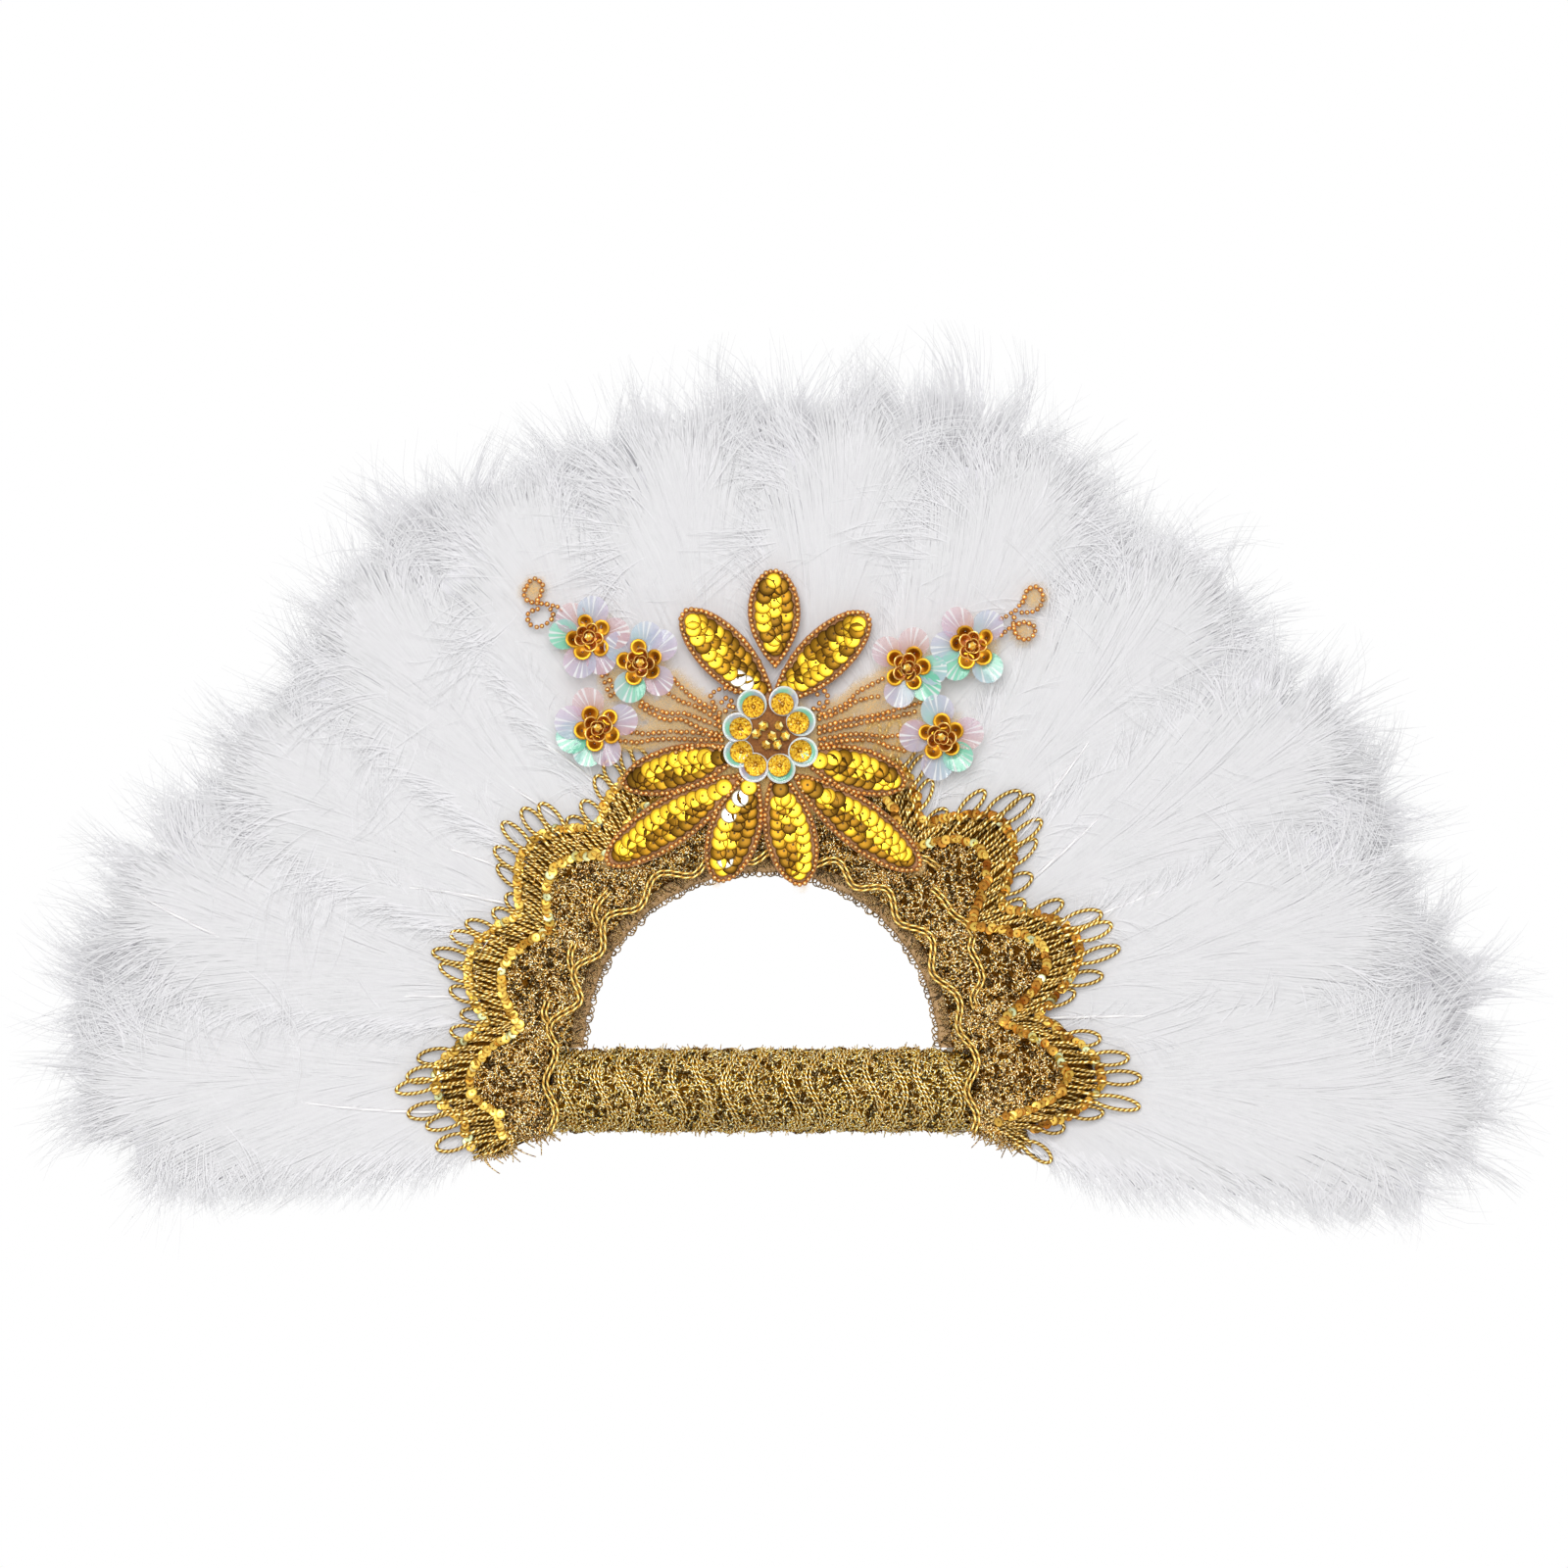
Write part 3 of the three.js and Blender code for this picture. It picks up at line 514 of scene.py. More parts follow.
def rounded(points: Floats, steps: int = 8) -> Floats:
    """A smooth line through some places in the plane, by the Catmull-Rom formula.

    Args:
        points: the places, (n, 2).
        steps: points of the line from one place to the next.

    Returns:
        The points of the line.
    """
    padded = np.concatenate([points[:1], points, points[-1:]])
    share = (np.arange(steps) / steps)[:, None]
    parts = []
    for i in range(len(points) - 1):
        a, b, c, d = padded[i : i + 4]
        parts.append(
            0.5
            * (
                2 * b
                + (c - a) * share
                + (2 * a - 5 * b + 4 * c - d) * share**2
                + (3 * b - a - 3 * c + d) * share**3
            )
        )
    return np.concatenate([*parts, points[-1:]])


def scribbles(rng: Random, count: int, points: int, step: float, curl: float) -> Floats:
    """Small curly lines in a plane, each from the origin.

    A line's heading is the running sum of a curvature that sways between left and right, and its
    places are the running sum of steps along the heading.

    Args:
        rng: source of the random numbers.
        count: number of lines.
        points: points in a line.
        step: distance between two points.
        curl: mean radius of the curls.

    Returns:
        Places, (count, points, 2), with each line's middle at the origin.
    """
    along = np.arange(points)
    sway = np.sin(2 * np.pi * (rng.uniform(0.05, 0.16, (count, 1)) * along + rng.uniform(size=(count, 1))))
    bend = (sway + rng.choice([-0.7, 0.7], (count, 1))) * step / curl
    heading = rng.uniform(0, 2 * np.pi, (count, 1)) + np.cumsum(bend, axis=1)
    line = np.cumsum(towards(heading) * step, axis=1)
    return line - line.mean(axis=1, keepdims=True)


def even_spread(count: int) -> tuple[Floats, Floats]:
    """Two rows of numbers from 0 to 1 that fill a square evenly without showing a grid."""
    steps = np.arange(count)
    return (0.5 + 0.7548776662 * steps) % 1, (0.5 + 0.5698402910 * steps) % 1


@dataclass
class Skin:
    """One mesh in the making.

    Attributes:
        name: the piece's name.
        patches: the surfaces laid into it so far.
    """

    name: str
    patches: list[Patch] = field(default_factory=list)

    def lay(self, *patches: Patch) -> "Skin":
        """Adds surfaces to the mesh and returns the skin."""
        self.patches.extend(patches)
        return self

    def build(
        self, finish: "Finish", *nodes: str, charted: bool = True, smooth: bool = True
    ) -> bpy.types.Object:
        """Makes the object, gives it its finish and sets it on the fan's body.

        Args:
            finish: what the piece is made of.
            nodes: the solids that it stands for.
            charted: whether the mesh keeps its chart, which its finish then reads.
            smooth: whether light runs smoothly over its edges.

        Returns:
            The object, at the origin, unturned and unscaled.
        """
        starts = np.cumsum([0] + [len(p.places) for p in self.patches])
        places = np.concatenate([p.places for p in self.patches]) * MM
        groups = [(f + start, c) for p, start in zip(self.patches, starts) for f, c in p.faces]
        corners = np.concatenate([f.ravel() for f, _ in groups])
        sizes = np.concatenate([np.full(len(f), f.shape[1]) for f, _ in groups])
        mesh = bpy.data.meshes.new(self.name)
        mesh.vertices.add(len(places))
        mesh.vertices.foreach_set("co", places.astype(np.float32).ravel())
        mesh.loops.add(len(corners))
        mesh.loops.foreach_set("vertex_index", corners.astype(np.int32))
        mesh.polygons.add(len(sizes))
        first = np.concatenate([[0], np.cumsum(sizes)[:-1]])
        mesh.polygons.foreach_set("loop_start", first.astype(np.int32))
        if charted:
            chart = np.concatenate([c.reshape(-1, 2) for _, c in groups])
            layer = mesh.uv_layers.new(name=CHART, do_init=False)
            layer.uv.foreach_set("vector", chart.astype(np.float32).ravel())
        mesh.update(calc_edges=True)
        mesh.polygons.foreach_set("use_smooth", np.full(len(sizes), smooth))
        if all(p.normals is not None for p in self.patches):
            normals = unit(np.concatenate([p.normals for p in self.patches]))
            mesh.normals_split_custom_set_from_vertices(normals.astype(np.float32))
        piece = bpy.data.objects.new(self.name, mesh)
        bpy.context.scene.collection.objects.link(piece)
        piece.data.materials.append(finish.material())
        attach(piece, "root")
        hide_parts(*nodes)
        log.info("%s: %d corners, %d triangles", self.name, len(places), (sizes - 2).sum())
        return piece


# Finishes


@dataclass(frozen=True)
class Wiring:
    """Adds nodes to a tree and joins them.

    Attributes:
        tree: the tree that it fills.
    """

    tree: Tree

    def node(self, kind: str, **settings: object) -> Node:
        """Adds a node and sets its own settings.

        Args:
            kind: the node's type.
            settings: its own settings by name.

        Returns:
            The node.
        """
        node = self.tree.nodes.new(kind)
        for name, value in settings.items():
            setattr(node, name, value)
        return node

    def join(self, source: Source, target: Socket) -> None:
        """Links a socket to another, or sets a plain value on it.

        Args:
            source: a socket, colour or number.
            target: the socket that takes it.
        """
        if isinstance(source, Socket):
            self.tree.links.new(source, target)
        elif isinstance(source, tuple) and len(source) == 3 and target.type == "RGBA":
            target.default_value = (*source, 1.0)
        else:
            target.default_value = source

    def maths(self, operation: str, *values: Source, clamp: bool = False) -> Socket:
        """The outcome of a Math node.

        Args:
            operation: what the node works out.
            values: what it takes.
            clamp: whether it stays between 0 and 1.

        Returns:
            The node's output.
        """
        node = self.node("ShaderNodeMath", operation=operation, use_clamp=clamp)
        for value, socket in zip(values, node.inputs):
            self.join(value, socket)
        return node.outputs[0]

    def blend(self, share: Source, first: Source, second: Source, kind: str = "MIX") -> Socket:
        """A colour between two others.

        Args:
            share: share of the second colour.
            first: one colour.
            second: the other.
            kind: how they are blended.

        Returns:
            The blended colour.
        """
        node = self.node("ShaderNodeMix", data_type="RGBA", blend_type=kind)
        self.join(share, node.inputs[0])
        self.join(first, node.inputs[6])
        self.join(second, node.inputs[7])
        return node.outputs[2]

    def spread(self, value: Source, low: float, high: float, to_low: float, to_high: float) -> Socket:
        """A value moved from one range to another, kept within it.

        Args:
            value: the value.
            low: where the range that it comes from starts.
            high: where that ends.
            to_low: where the new range starts.
            to_high: where that ends.

        Returns:
            The moved value.
        """
        node = self.node("ShaderNodeMapRange", clamp=True)
        self.join(value, node.inputs["Value"])
        for name, number in zip(("From Min", "From Max", "To Min", "To Max"), (low, high, to_low, to_high)):
            node.inputs[name].default_value = number
        return node.outputs["Result"]

    def tinted(self, colour: Source, tone: Source, low: float, high: float) -> Socket:
        """A colour times a factor, which a tone of 0 to 1 moves between two values."""
        return self.blend(1.0, colour, self.spread(tone, 0, 1, low, high), "MULTIPLY")

    def bands(self, value: Source, stops: Stops) -> Socket:
        """A colour from a row of colour stops.

        Args:
            value: place in the row, from 0 to 1.
            stops: place and colour of each stop.

        Returns:
            The colour.
        """
        node = self.node("ShaderNodeValToRGB")
        elements = node.color_ramp.elements
        while len(elements) < len(stops):
            elements.new(0.5)
        for element, (place, colour) in zip(elements, stops):
            element.position = place
            element.color = (*colour, 1.0)
        self.join(value, node.inputs[0])
        return node.outputs[0]

    def noise(self, place: Source, scale: Source, detail: float) -> Socket:
        """The value of a Noise Texture.

        Args:
            place: where it is read.
            scale: how fine it is.
            detail: how many finer layers it has.

        Returns:
            The value.
        """
        node = self.node("ShaderNodeTexNoise")
        for name, value in (("Vector", place), ("Scale", scale), ("Detail", detail)):
            self.join(value, node.inputs[name])
        return node.outputs[0]

    def effect(self, tree: Tree, **values: Source) -> Node:
        """Places a shader node group with its own values; underscores stand for spaces.

        Args:
            tree: the group.
            values: what its inputs take, by name.

        Returns:
            The placed group.
        """
        node = self.node("ShaderNodeGroup", node_tree=tree)
        for name, value in values.items():
            self.join(value, node.inputs[name.replace("_", " ")])
        return node


def new_effect(
    name: str, takes: dict[str, str], gives: dict[str, str], fill: Callable[[Wiring, dict, dict], None]
) -> Tree:
    """Builds a shader node group.

    Args:
        name: the group's name.
        takes: input names and their kinds, Float, Color or Vector.
        gives: output names and their kinds.
        fill: wires the group between its input and output sockets.

    Returns:
        The group's tree.
    """
    tree = bpy.data.node_groups.new(name, "ShaderNodeTree")
    for label, kind in takes.items():
        tree.interface.new_socket(label, in_out="INPUT", socket_type=f"NodeSocket{kind}")
    for label, kind in gives.items():
        tree.interface.new_socket(label, in_out="OUTPUT", socket_type=f"NodeSocket{kind}")
    wiring = Wiring(tree)
    inside, outside = wiring.node("NodeGroupInput"), wiring.node("NodeGroupOutput")
    fill(wiring, inside.outputs, outside.inputs)
    return tree


@functools.cache
def twist_effect() -> Tree:
    """Two plies that wind round a cord, with a painted highlight on their crowns and painted shade in the
    groove between.

    Returns:
        The group's tree.
    """

    def fill(w: Wiring, takes: dict, gives: dict) -> None:
        """Reads a cosine of the phase for the painted highlight and shade, and tints it by the cord's tone.

        Args:
            w: wiring of the group.
            takes: the group's inputs.
            gives: the group's outputs.
        """
        turn = w.maths("MULTIPLY", takes["Phase"], 4 * math.pi)
        crown = w.maths("MULTIPLY_ADD", w.maths("COSINE", turn), 0.5, 0.5)
        low = w.blend(w.spread(crown, 0.0, 0.45, 0, 1), takes["Groove"], takes["Ply"])
        lit = w.blend(w.spread(crown, 0.55, 1.0, 0, 1), low, takes["Crown"])
        w.join(w.tinted(lit, takes["Tone"], 0.16, 1.5), gives["Color"])
        w.join(w.spread(crown, 0, 1, 0.6, 0.32), gives["Roughness"])
        w.join(crown, gives["Height"])

    takes = {"Phase": "Float", "Tone": "Float", "Groove": "Color", "Ply": "Color", "Crown": "Color"}
    return new_effect("cord twist", takes, {"Color": "Color", "Roughness": "Float", "Height": "Float"}, fill)


@functools.cache
def grain_effect() -> Tree:
    """Uneven colour over a surface, coarse and fine together.

    Returns:
        The group's tree.
    """

    def fill(w: Wiring, takes: dict, gives: dict) -> None:
        """Mixes two colours by two sizes of noise.

        Args:
            w: wiring of the group.
            takes: the group's inputs.
            gives: the group's outputs.
        """
        noises = (w.noise(takes["Place"], takes[size], 3.0) for size in ("Coarse", "Fine"))
        both = w.maths("ADD", *(w.maths("MULTIPLY", noise, 0.5) for noise in noises))
        value = w.spread(both, 0.36, 0.64, 0, 1)
        w.join(w.blend(value, takes["Low"], takes["High"]), gives["Color"])
        w.join(value, gives["Value"])

    takes = {"Place": "Vector", "Coarse": "Float", "Fine": "Float", "Low": "Color", "High": "Color"}
    return new_effect("uneven grain", takes, {"Color": "Color", "Value": "Float"}, fill)


@functools.cache
def rainbow_effect() -> Tree:
    """Thin film colours of clear sequins, which run from pink over white to mint.

    Returns:
        The group's tree.
    """

    def fill(w: Wiring, takes: dict, gives: dict) -> None:
        """Reads the hue's place in a row of pale colours and paints highlights on the ribs.

        Args:
            w: wiring of the group.
            takes: the group's inputs.
            gives: the group's outputs.
        """
        row = shades("f6bebe f0c4e2 ded6f2 c8e4f2 9cf0d0 7cdeba")
        hue = w.bands(takes["Hue"], tuple(zip((0.0, 0.2, 0.4, 0.6, 0.8, 1.0), row)))
        rib = w.spread(takes["Rib"], 0.5, 0.85, 0, 0.9)
        w.join(w.blend(rib, hue, *shades("fcfefe")), gives["Color"])
        clear = w.spread(takes["Hue"], 0.1, 0.85, 0.42, 0.86)
        w.join(w.maths("MAXIMUM", clear, w.spread(takes["Rib"], 0.45, 0.85, 0.3, 0.95)), gives["Alpha"])

    takes, gives = {"Hue": "Float", "Rib": "Float"}, {"Color": "Color", "Alpha": "Float"}
    return new_effect("film colours", takes, gives, fill)


@dataclass(frozen=True)
class Finish:
    """What a piece is made of. Subclasses say what feeds the colour.

    Attributes:
        name: the material's name.
        slot: the record's material slot, which is not used.
        metallic: how far it is metal.
        roughness: how dull it is, where the pattern doesn't say.
    """

    name: str
    slot: str
    metallic: float = 0.0
    roughness: float = 0.5

    def material(self) -> bpy.types.Material:
        """The material, built on first use.

        Returns:
            The material.
        """
        made = bpy.data.materials.get(self.name)
        if made is not None:
            return made
        made = bpy.data.materials.new(self.name)
        made.use_nodes = True
        made.node_tree.nodes.clear()
        w = Wiring(made.node_tree)
        shader = w.node("ShaderNodeBsdfPrincipled")
        shader.inputs["Metallic"].default_value = self.metallic
        shader.inputs["Roughness"].default_value = self.roughness
        w.join(shader.outputs[0], w.node("ShaderNodeOutputMaterial").inputs["Surface"])
        self.paint(w, shader)
        made.cycles.emission_sampling = "NONE"
        return made

    def paint(self, w: Wiring, shader: Node) -> None:
        """Feeds the shader.

        Args:
            w: wiring of the material.
            shader: the shader to feed.
        """
        raise NotImplementedError

    def chart(self, w: Wiring) -> tuple[Socket, Socket]:
        """The two numbers of the piece's own chart.

        Args:
            w: wiring of the material.

        Returns:
            The first and the second number.
        """
        split = w.node("ShaderNodeSeparateXYZ")
        w.join(w.node("ShaderNodeUVMap", uv_map=CHART).outputs[0], split.inputs[0])
        return split.outputs[0], split.outputs[1]

    def bump(self, w: Wiring, shader: Node, height: Source, depth: float) -> None:
        """Turns a height into the shader's normal; depth is in millimetres.

        Args:
            w: wiring of the material.
            shader: the shader to feed.
            height: the height.
            depth: how deep a height of one is.
        """
        node = w.node("ShaderNodeBump")
        node.inputs["Distance"].default_value = depth * MM
        node.inputs["Strength"].default_value = 1.0
        w.join(height, node.inputs["Height"])
        w.join(node.outputs[0], shader.inputs["Normal"])


@dataclass(frozen=True)
class Thread(Finish):
    """Metallic thread or cord laid up from two plies.

    Attributes:
        groove_shade: painted shade between the plies.
        ply: colour of their flanks.
        crown: painted highlight on their tops.
        relief: depth of the groove.
    """

    groove_shade: Colour = (0, 0, 0)
    ply: Colour = (0, 0, 0)
    crown: Colour = (0, 0, 0)
    relief: float = 0.15

    def paint(self, w: Wiring, shader: Node) -> None:
        """Winds the plies' colour, their painted highlight and shade, and the relief round the cord.

        Args:
            w: wiring of the material.
            shader: the shader to feed.
        """
        phase, tone = self.chart(w)
        twist = w.effect(
            twist_effect(), Phase=phase, Tone=tone, Groove=self.groove_shade, Ply=self.ply, Crown=self.crown
        )
        w.join(twist.outputs["Color"], shader.inputs["Base Color"])
        w.join(twist.outputs["Roughness"], shader.inputs["Roughness"])
        self.bump(w, shader, twist.outputs["Height"], self.relief)


@dataclass(frozen=True)
class Down(Finish):
    """Fine barbs of white down; the loose ones have tones above 0.5 and a painted glow, which stands for
    light that shines through them.

    Attributes:
        base: colour at a barb's root.
        tip: colour at its end.
        glow: colour and amount of the painted glow of the loose barbs, which stands for light that shines
            through them.
    """

    base: Colour = (0, 0, 0)
    tip: Colour = (0, 0, 0)
    glow: Colour = (0.042, 0.042, 0.044)

    def paint(self, w: Wiring, shader: Node) -> None:
        """Mixes the colours along a barb, and varies them from barb to barb.

        Args:
            w: wiring of the material.
            shader: the shader to feed.
        """
        along, tone = self.chart(w)
        colour = w.blend(w.spread(along, 0.3, 1.0, 0, 1), self.base, self.tip)
        w.join(w.tinted(colour, tone, 0.945, 1.0), shader.inputs["Base Color"])
        # Painted light: the loose barbs glow faintly, as if lit through.
        loose = w.spread(tone, 0.5, 0.56, 0, 1)
        w.join(w.blend(loose, (0, 0, 0), self.glow), shader.inputs["Emission Color"])
        shader.inputs["Emission Strength"].default_value = 1.0
        shader.inputs["Specular IOR Level"].default_value = 0.15
        w.join(w.spread(along, 0, 1, 0.95, 0.8), shader.inputs["Roughness"])


@dataclass(frozen=True)
class Grained(Finish):
    """A surface with uneven colour and a low relief, on Object coordinates.

    Attributes:
        low: colour of its hollows.
        high: colour of its crests.
        coarse: how fine the larger grain is, as a noise scale.
        fine: how fine the smaller grain is.
        relief: height of the grain.
    """

    low: Colour = (0, 0, 0)
    high: Colour = (0, 0, 0)
    coarse: float = 120.0
    fine: float = 900.0
    relief: float = 0.2

    def paint(self, w: Wiring, shader: Node) -> None:
        """Lays the grain over the piece.

        Args:
            w: wiring of the material.
            shader: the shader to feed.
        """
        place = w.node("ShaderNodeTexCoord").outputs["Object"]
        grain = w.effect(
            grain_effect(), Place=place, Coarse=self.coarse, Fine=self.fine, Low=self.low, High=self.high
        )
        w.join(grain.outputs["Color"], shader.inputs["Base Color"])
        self.bump(w, shader, grain.outputs["Value"], self.relief)


@dataclass(frozen=True)
class Bead(Finish):
    """Glass or faceted metal beads, with painted shade below and a painted highlight on top.

    Attributes:
        underside_shade: painted shade on the underside and in the bore.
        body: colour of the flank.
        crown: painted highlight on the top.
    """

    underside_shade: Colour = (0, 0, 0)
    body: Colour = (0, 0, 0)
    crown: Colour = (0, 0, 0)

    def paint(self, w: Wiring, shader: Node) -> None:
        """Paints a bead from the shade of its underside to the highlight of its crown, and varies it by its
        own tone.

        Args:
            w: wiring of the material.
            shader: the shader to feed.
        """
        height, tone = self.chart(w)
        colour = w.bands(height, ((0.0, self.underside_shade), (0.45, self.body), (0.8, self.body), (0.97, self.crown)))
        w.join(w.tinted(colour, tone, 0.6, 1.25), shader.inputs["Base Color"])
        w.join(w.spread(tone, 0, 1, self.roughness + 0.08, self.roughness), shader.inputs["Roughness"])
        shader.inputs["Coat Weight"].default_value = 0.5


@dataclass(frozen=True)
class Sequin(Finish):
    """Metal foil, pricked in the middle: each piece's tone paints it in shade, lit or glinting, and rings of
    painted shade and highlight follow the distance from the middle.

    Attributes:
        shade: colour of a piece that turns away from the light.
        body: colour of a lit piece.
        glint: colour of one that mirrors the lamp.
        hole: colour of the prick, painted dark as the shade of what lies beneath it.
        ring_shading: painted shade and highlight, as factors on the colour by the distance from the middle.
        speckle: size of crumples, as a noise scale, which also paint light and shade on the foil; 0 for
            smooth foil.
    """

    shade: Colour = (0, 0, 0)
    body: Colour = (0, 0, 0)
    glint: Colour = (0, 0, 0)
    hole: Colour = (0, 0, 0)
    ring_shading: Stops = ()
    speckle: float = 0.0

    def paint(self, w: Wiring, shader: Node) -> None:
        """Takes the painted light from the tone, and the painted ring shading from the distance to the
        middle.

        Args:
            w: wiring of the material.
            shader: the shader to feed.
        """
        out, tone = self.chart(w)
        if self.speckle:
            crumples = w.noise(w.node("ShaderNodeTexCoord").outputs["Object"], self.speckle, 3.0)
            # The crumples also paint light and shade on the foil through its tone.
            tone = w.maths("ADD", tone, w.spread(crumples, 0.36, 0.64, -0.34, 0.34))
            self.bump(w, shader, crumples, 0.3)
        # Painted light: the tone picks deep shade, shade, lit body or a glint of the lamp.
        colours = tuple(0.42 * c for c in self.shade), self.shade, self.body, self.body, self.glint
        foil = w.bands(tone, tuple(zip((0.0, 0.35, 0.5, 0.9, 0.94), colours)))
        plain = w.blend(1.0, foil, w.bands(out, self.ring_shading), "MULTIPLY")
        # The prick is painted dark, as the shade of what lies beneath.
        w.join(w.blend(w.spread(out, 0.12, 0.2, 1, 0), plain, self.hole), shader.inputs["Base Color"])
        w.join(w.spread(out, 0.0, 1.0, self.roughness, self.roughness + 0.15), shader.inputs["Roughness"])


@dataclass(frozen=True)
class Film(Finish):
    """Clear iridescent sequins, the pink ones clearer than the mint ones."""

    def paint(self, w: Wiring, shader: Node) -> None:
        """Takes the film's hue from the tone, and the painted highlights of its ribs from the chart.

        Args:
            w: wiring of the material.
            shader: the shader to feed.
        """
        rib, hue = self.chart(w)
        film = w.effect(rainbow_effect(), Hue=hue, Rib=rib)
        w.join(film.outputs["Color"], shader.inputs["Base Color"])
        w.join(film.outputs["Alpha"], shader.inputs["Alpha"])
        shader.inputs["Coat Weight"].default_value = 0.4


@dataclass(frozen=True)
class Netting(Finish):
    """Sheer net: threads round small holes, which let what is behind show.

    Attributes:
        thread: colour of the threads.
        pale: colour of the haze between them.
        mesh: how fine the holes are.
        open: how much a hole hides.
        shut: how much a thread hides.
        faded: whether the chart's first number thins the net out.
    """

    thread: Colour = (0, 0, 0)
    pale: Colour = (0, 0, 0)
    mesh: float = 900.0
    open: float = 0.3
    shut: float = 0.9
    faded: bool = False

    def paint(self, w: Wiring, shader: Node) -> None:
        """Draws the net's cells, and clears their middles.

        Args:
            w: wiring of the material.
            shader: the shader to feed.
        """
        place = w.node("ShaderNodeTexCoord").outputs["Object"]
        cells = w.node("ShaderNodeTexVoronoi", feature="DISTANCE_TO_EDGE")
        w.join(place, cells.inputs["Vector"])
        cells.inputs["Scale"].default_value = self.mesh
        hole = w.spread(cells.outputs["Distance"], 0.06, 0.16, 0, 1)
        grain = w.effect(
            grain_effect(), Place=place, Coarse=160.0, Fine=1400.0, Low=self.thread, High=self.pale
        )
        w.join(w.blend(hole, grain.outputs["Color"], self.pale), shader.inputs["Base Color"])
        alpha = w.spread(hole, 0, 1, self.shut, self.open)
        if self.faded:
            alpha = w.maths("MULTIPLY", alpha, self.chart(w)[0])
        w.join(alpha, shader.inputs["Alpha"])
        self.bump(w, shader, w.maths("SUBTRACT", 1.0, hole), 0.08)


DOWN = Down("white down", "plume", 0.0, 0.9, *shades("f7f6f8 fafafb"))
UNDER_DOWN = Grained("soft under-down", "plume", 0.0, 0.95, *shades("f1f0f5 f8f7fa"), 60.0, 420.0, 0.1)
# A Thread's three colours are the painted shade of its groove, its plies' own colour and the painted
# highlight of their crowns.
QUILL = Thread("horn of the quills", "plume", 0.0, 0.5, *shades("d4d2d4 e2e1e2 ecebea"), 0.02)
LACE_THREAD = Thread(
    "dark gold lace thread", "gold_lace", 0.96, 0.28, *shades("582400 f6b23a fff6cc"), 0.05
)
LOOP_CORD = Thread("gold loop cord", "gold_lace", 0.85, 0.36, *shades("7a5008 d2a648 f6de9c"))
# The lace ground is dark partly as its own colour and partly as painted shade in the gaps between the
# threads.
LACE_GROUND = Grained(
    "lace ground", "gold_lace", 0.95, 0.5, *shades("3a1e00 744808"), 260.0, 1300.0, 0.4
)
GOLD_CORD = Thread("bright gold cord", "gold_cord", 0.75, 0.3, *shades("8e6420 c09848 e6c87a"), 0.04)
GRIP_THREAD = Thread(
    "pale gold grip thread", "grip_lace", 0.95, 0.26, *shades("5a2400 ffc03a ffface"), 0.05
)
# The grip's ground is dark partly as its own colour and partly as painted shade in the gaps between the
# threads.
GRIP_GROUND = Grained(
    "grip ground", "grip_lace", 0.95, 0.5, *shades("3e2200 7a500a"), 300.0, 1400.0, 0.4
)
# Painted shadow: each sequin's edge is painted as a dark line.
FOIL = Sequin(
    "gold foil sequin", "cup_sequin", 0.85, 0.25, *shades("865e08 ecbe2e fffef8 3c2a08"),
    ((0.0, (1, 1, 1)), (0.82, (1, 1, 1)), (0.92, (0.5, 0.42, 0.25)), (1.0, (0.3, 0.22, 0.1))),
)
# Painted shade: each row sequin darkens towards its middle and its edge.
ROW_FOIL = Sequin(
    "orange gold row sequin", "cup_sequin", 0.8, 0.25, *shades("d6963a ffda68 f0fcc8 6e420e"),
    ((0.0, (0.7, 0.55, 0.35)), (0.4, (1, 1, 1)), (0.75, (1, 1, 1)), (1.0, (0.6, 0.46, 0.26))),
)
# Painted shade inside each cup and at its outer lip, and a painted highlight on its raised rim.
CUP_FOIL = Sequin(
    "gold cup", "cup_sequin", 0.8, 0.25, *shades("a05c00 ecb430 fff0aa 6e3c04"),
    (
        (0.0, (0.34, 0.2, 0.08)),
        (0.5, (0.62, 0.42, 0.18)),
        (0.66, (0.8, 0.64, 0.36)),
        (0.8, (1.1, 1.1, 1.15)),
        (1.0, (0.55, 0.42, 0.2)),
    ),
)
# Painted shade towards the middle and at the rim of each crumpled cup.
CRUMPLED_FOIL = Sequin(
    "crumpled gold foil", "cup_sequin", 0.75, 0.3, *shades("be8212 f4c432 fff896 6e460a"),
    ((0.0, (0.8, 0.7, 0.5)), (0.3, (1, 0.95, 0.9)), (0.75, (1, 1, 1)), (0.83, (0.7, 0.52, 0.3))),
    1500.0,
)
# A Bead's colours run from painted shade at the underside, or in a rosette petal's middle, over the body
# colour to a painted highlight at the crown or rim.
AMBER = Bead("amber rosette", "amber_cup", 0.5, 0.22, *shades("702400 bc640c ffce60"))
COPPER_BEAD = Bead("copper seed bead", "seed_bead", 0.65, 0.25, *shades("86460c de923a ffe8a0"))
GOLD_BEAD = Bead("faceted gold bead", "seed_bead", 0.7, 0.2, *shades("7e4204 e2a82e fffaaa"))
SHELL = Film("clear rainbow sequin", "shell_sequin", 0.0, 0.14)
TULLE = Netting("peach tulle", "tulle", 0.0, 0.85, *shades("ffca76 ffdc96"), 1100.0, 0.5, 0.72, True)
RIM_NET = Netting("taupe rim net", "rim_mesh", 0.0, 0.8, *shades("ba8c54 e2ba86"), 1000.0, 0.76, 1.0)
LEAF_CLOTH = Grained(
    "copper brown leaf cloth", "tulle", 0.1, 0.7, *shades("a86e42 d6a270"), 300.0, 1500.0, 0.1
)
HEART_CLOTH = Grained(
    "brown net of the flower's heart", "tulle", 0.1, 0.7, *shades("743e10 b07230"), 300.0, 1500.0, 0.1
)
RIM_THREAD = Thread("rim loop thread", "rim_mesh", 0.6, 0.45, *shades("543008 a87c3e e8ca92"))
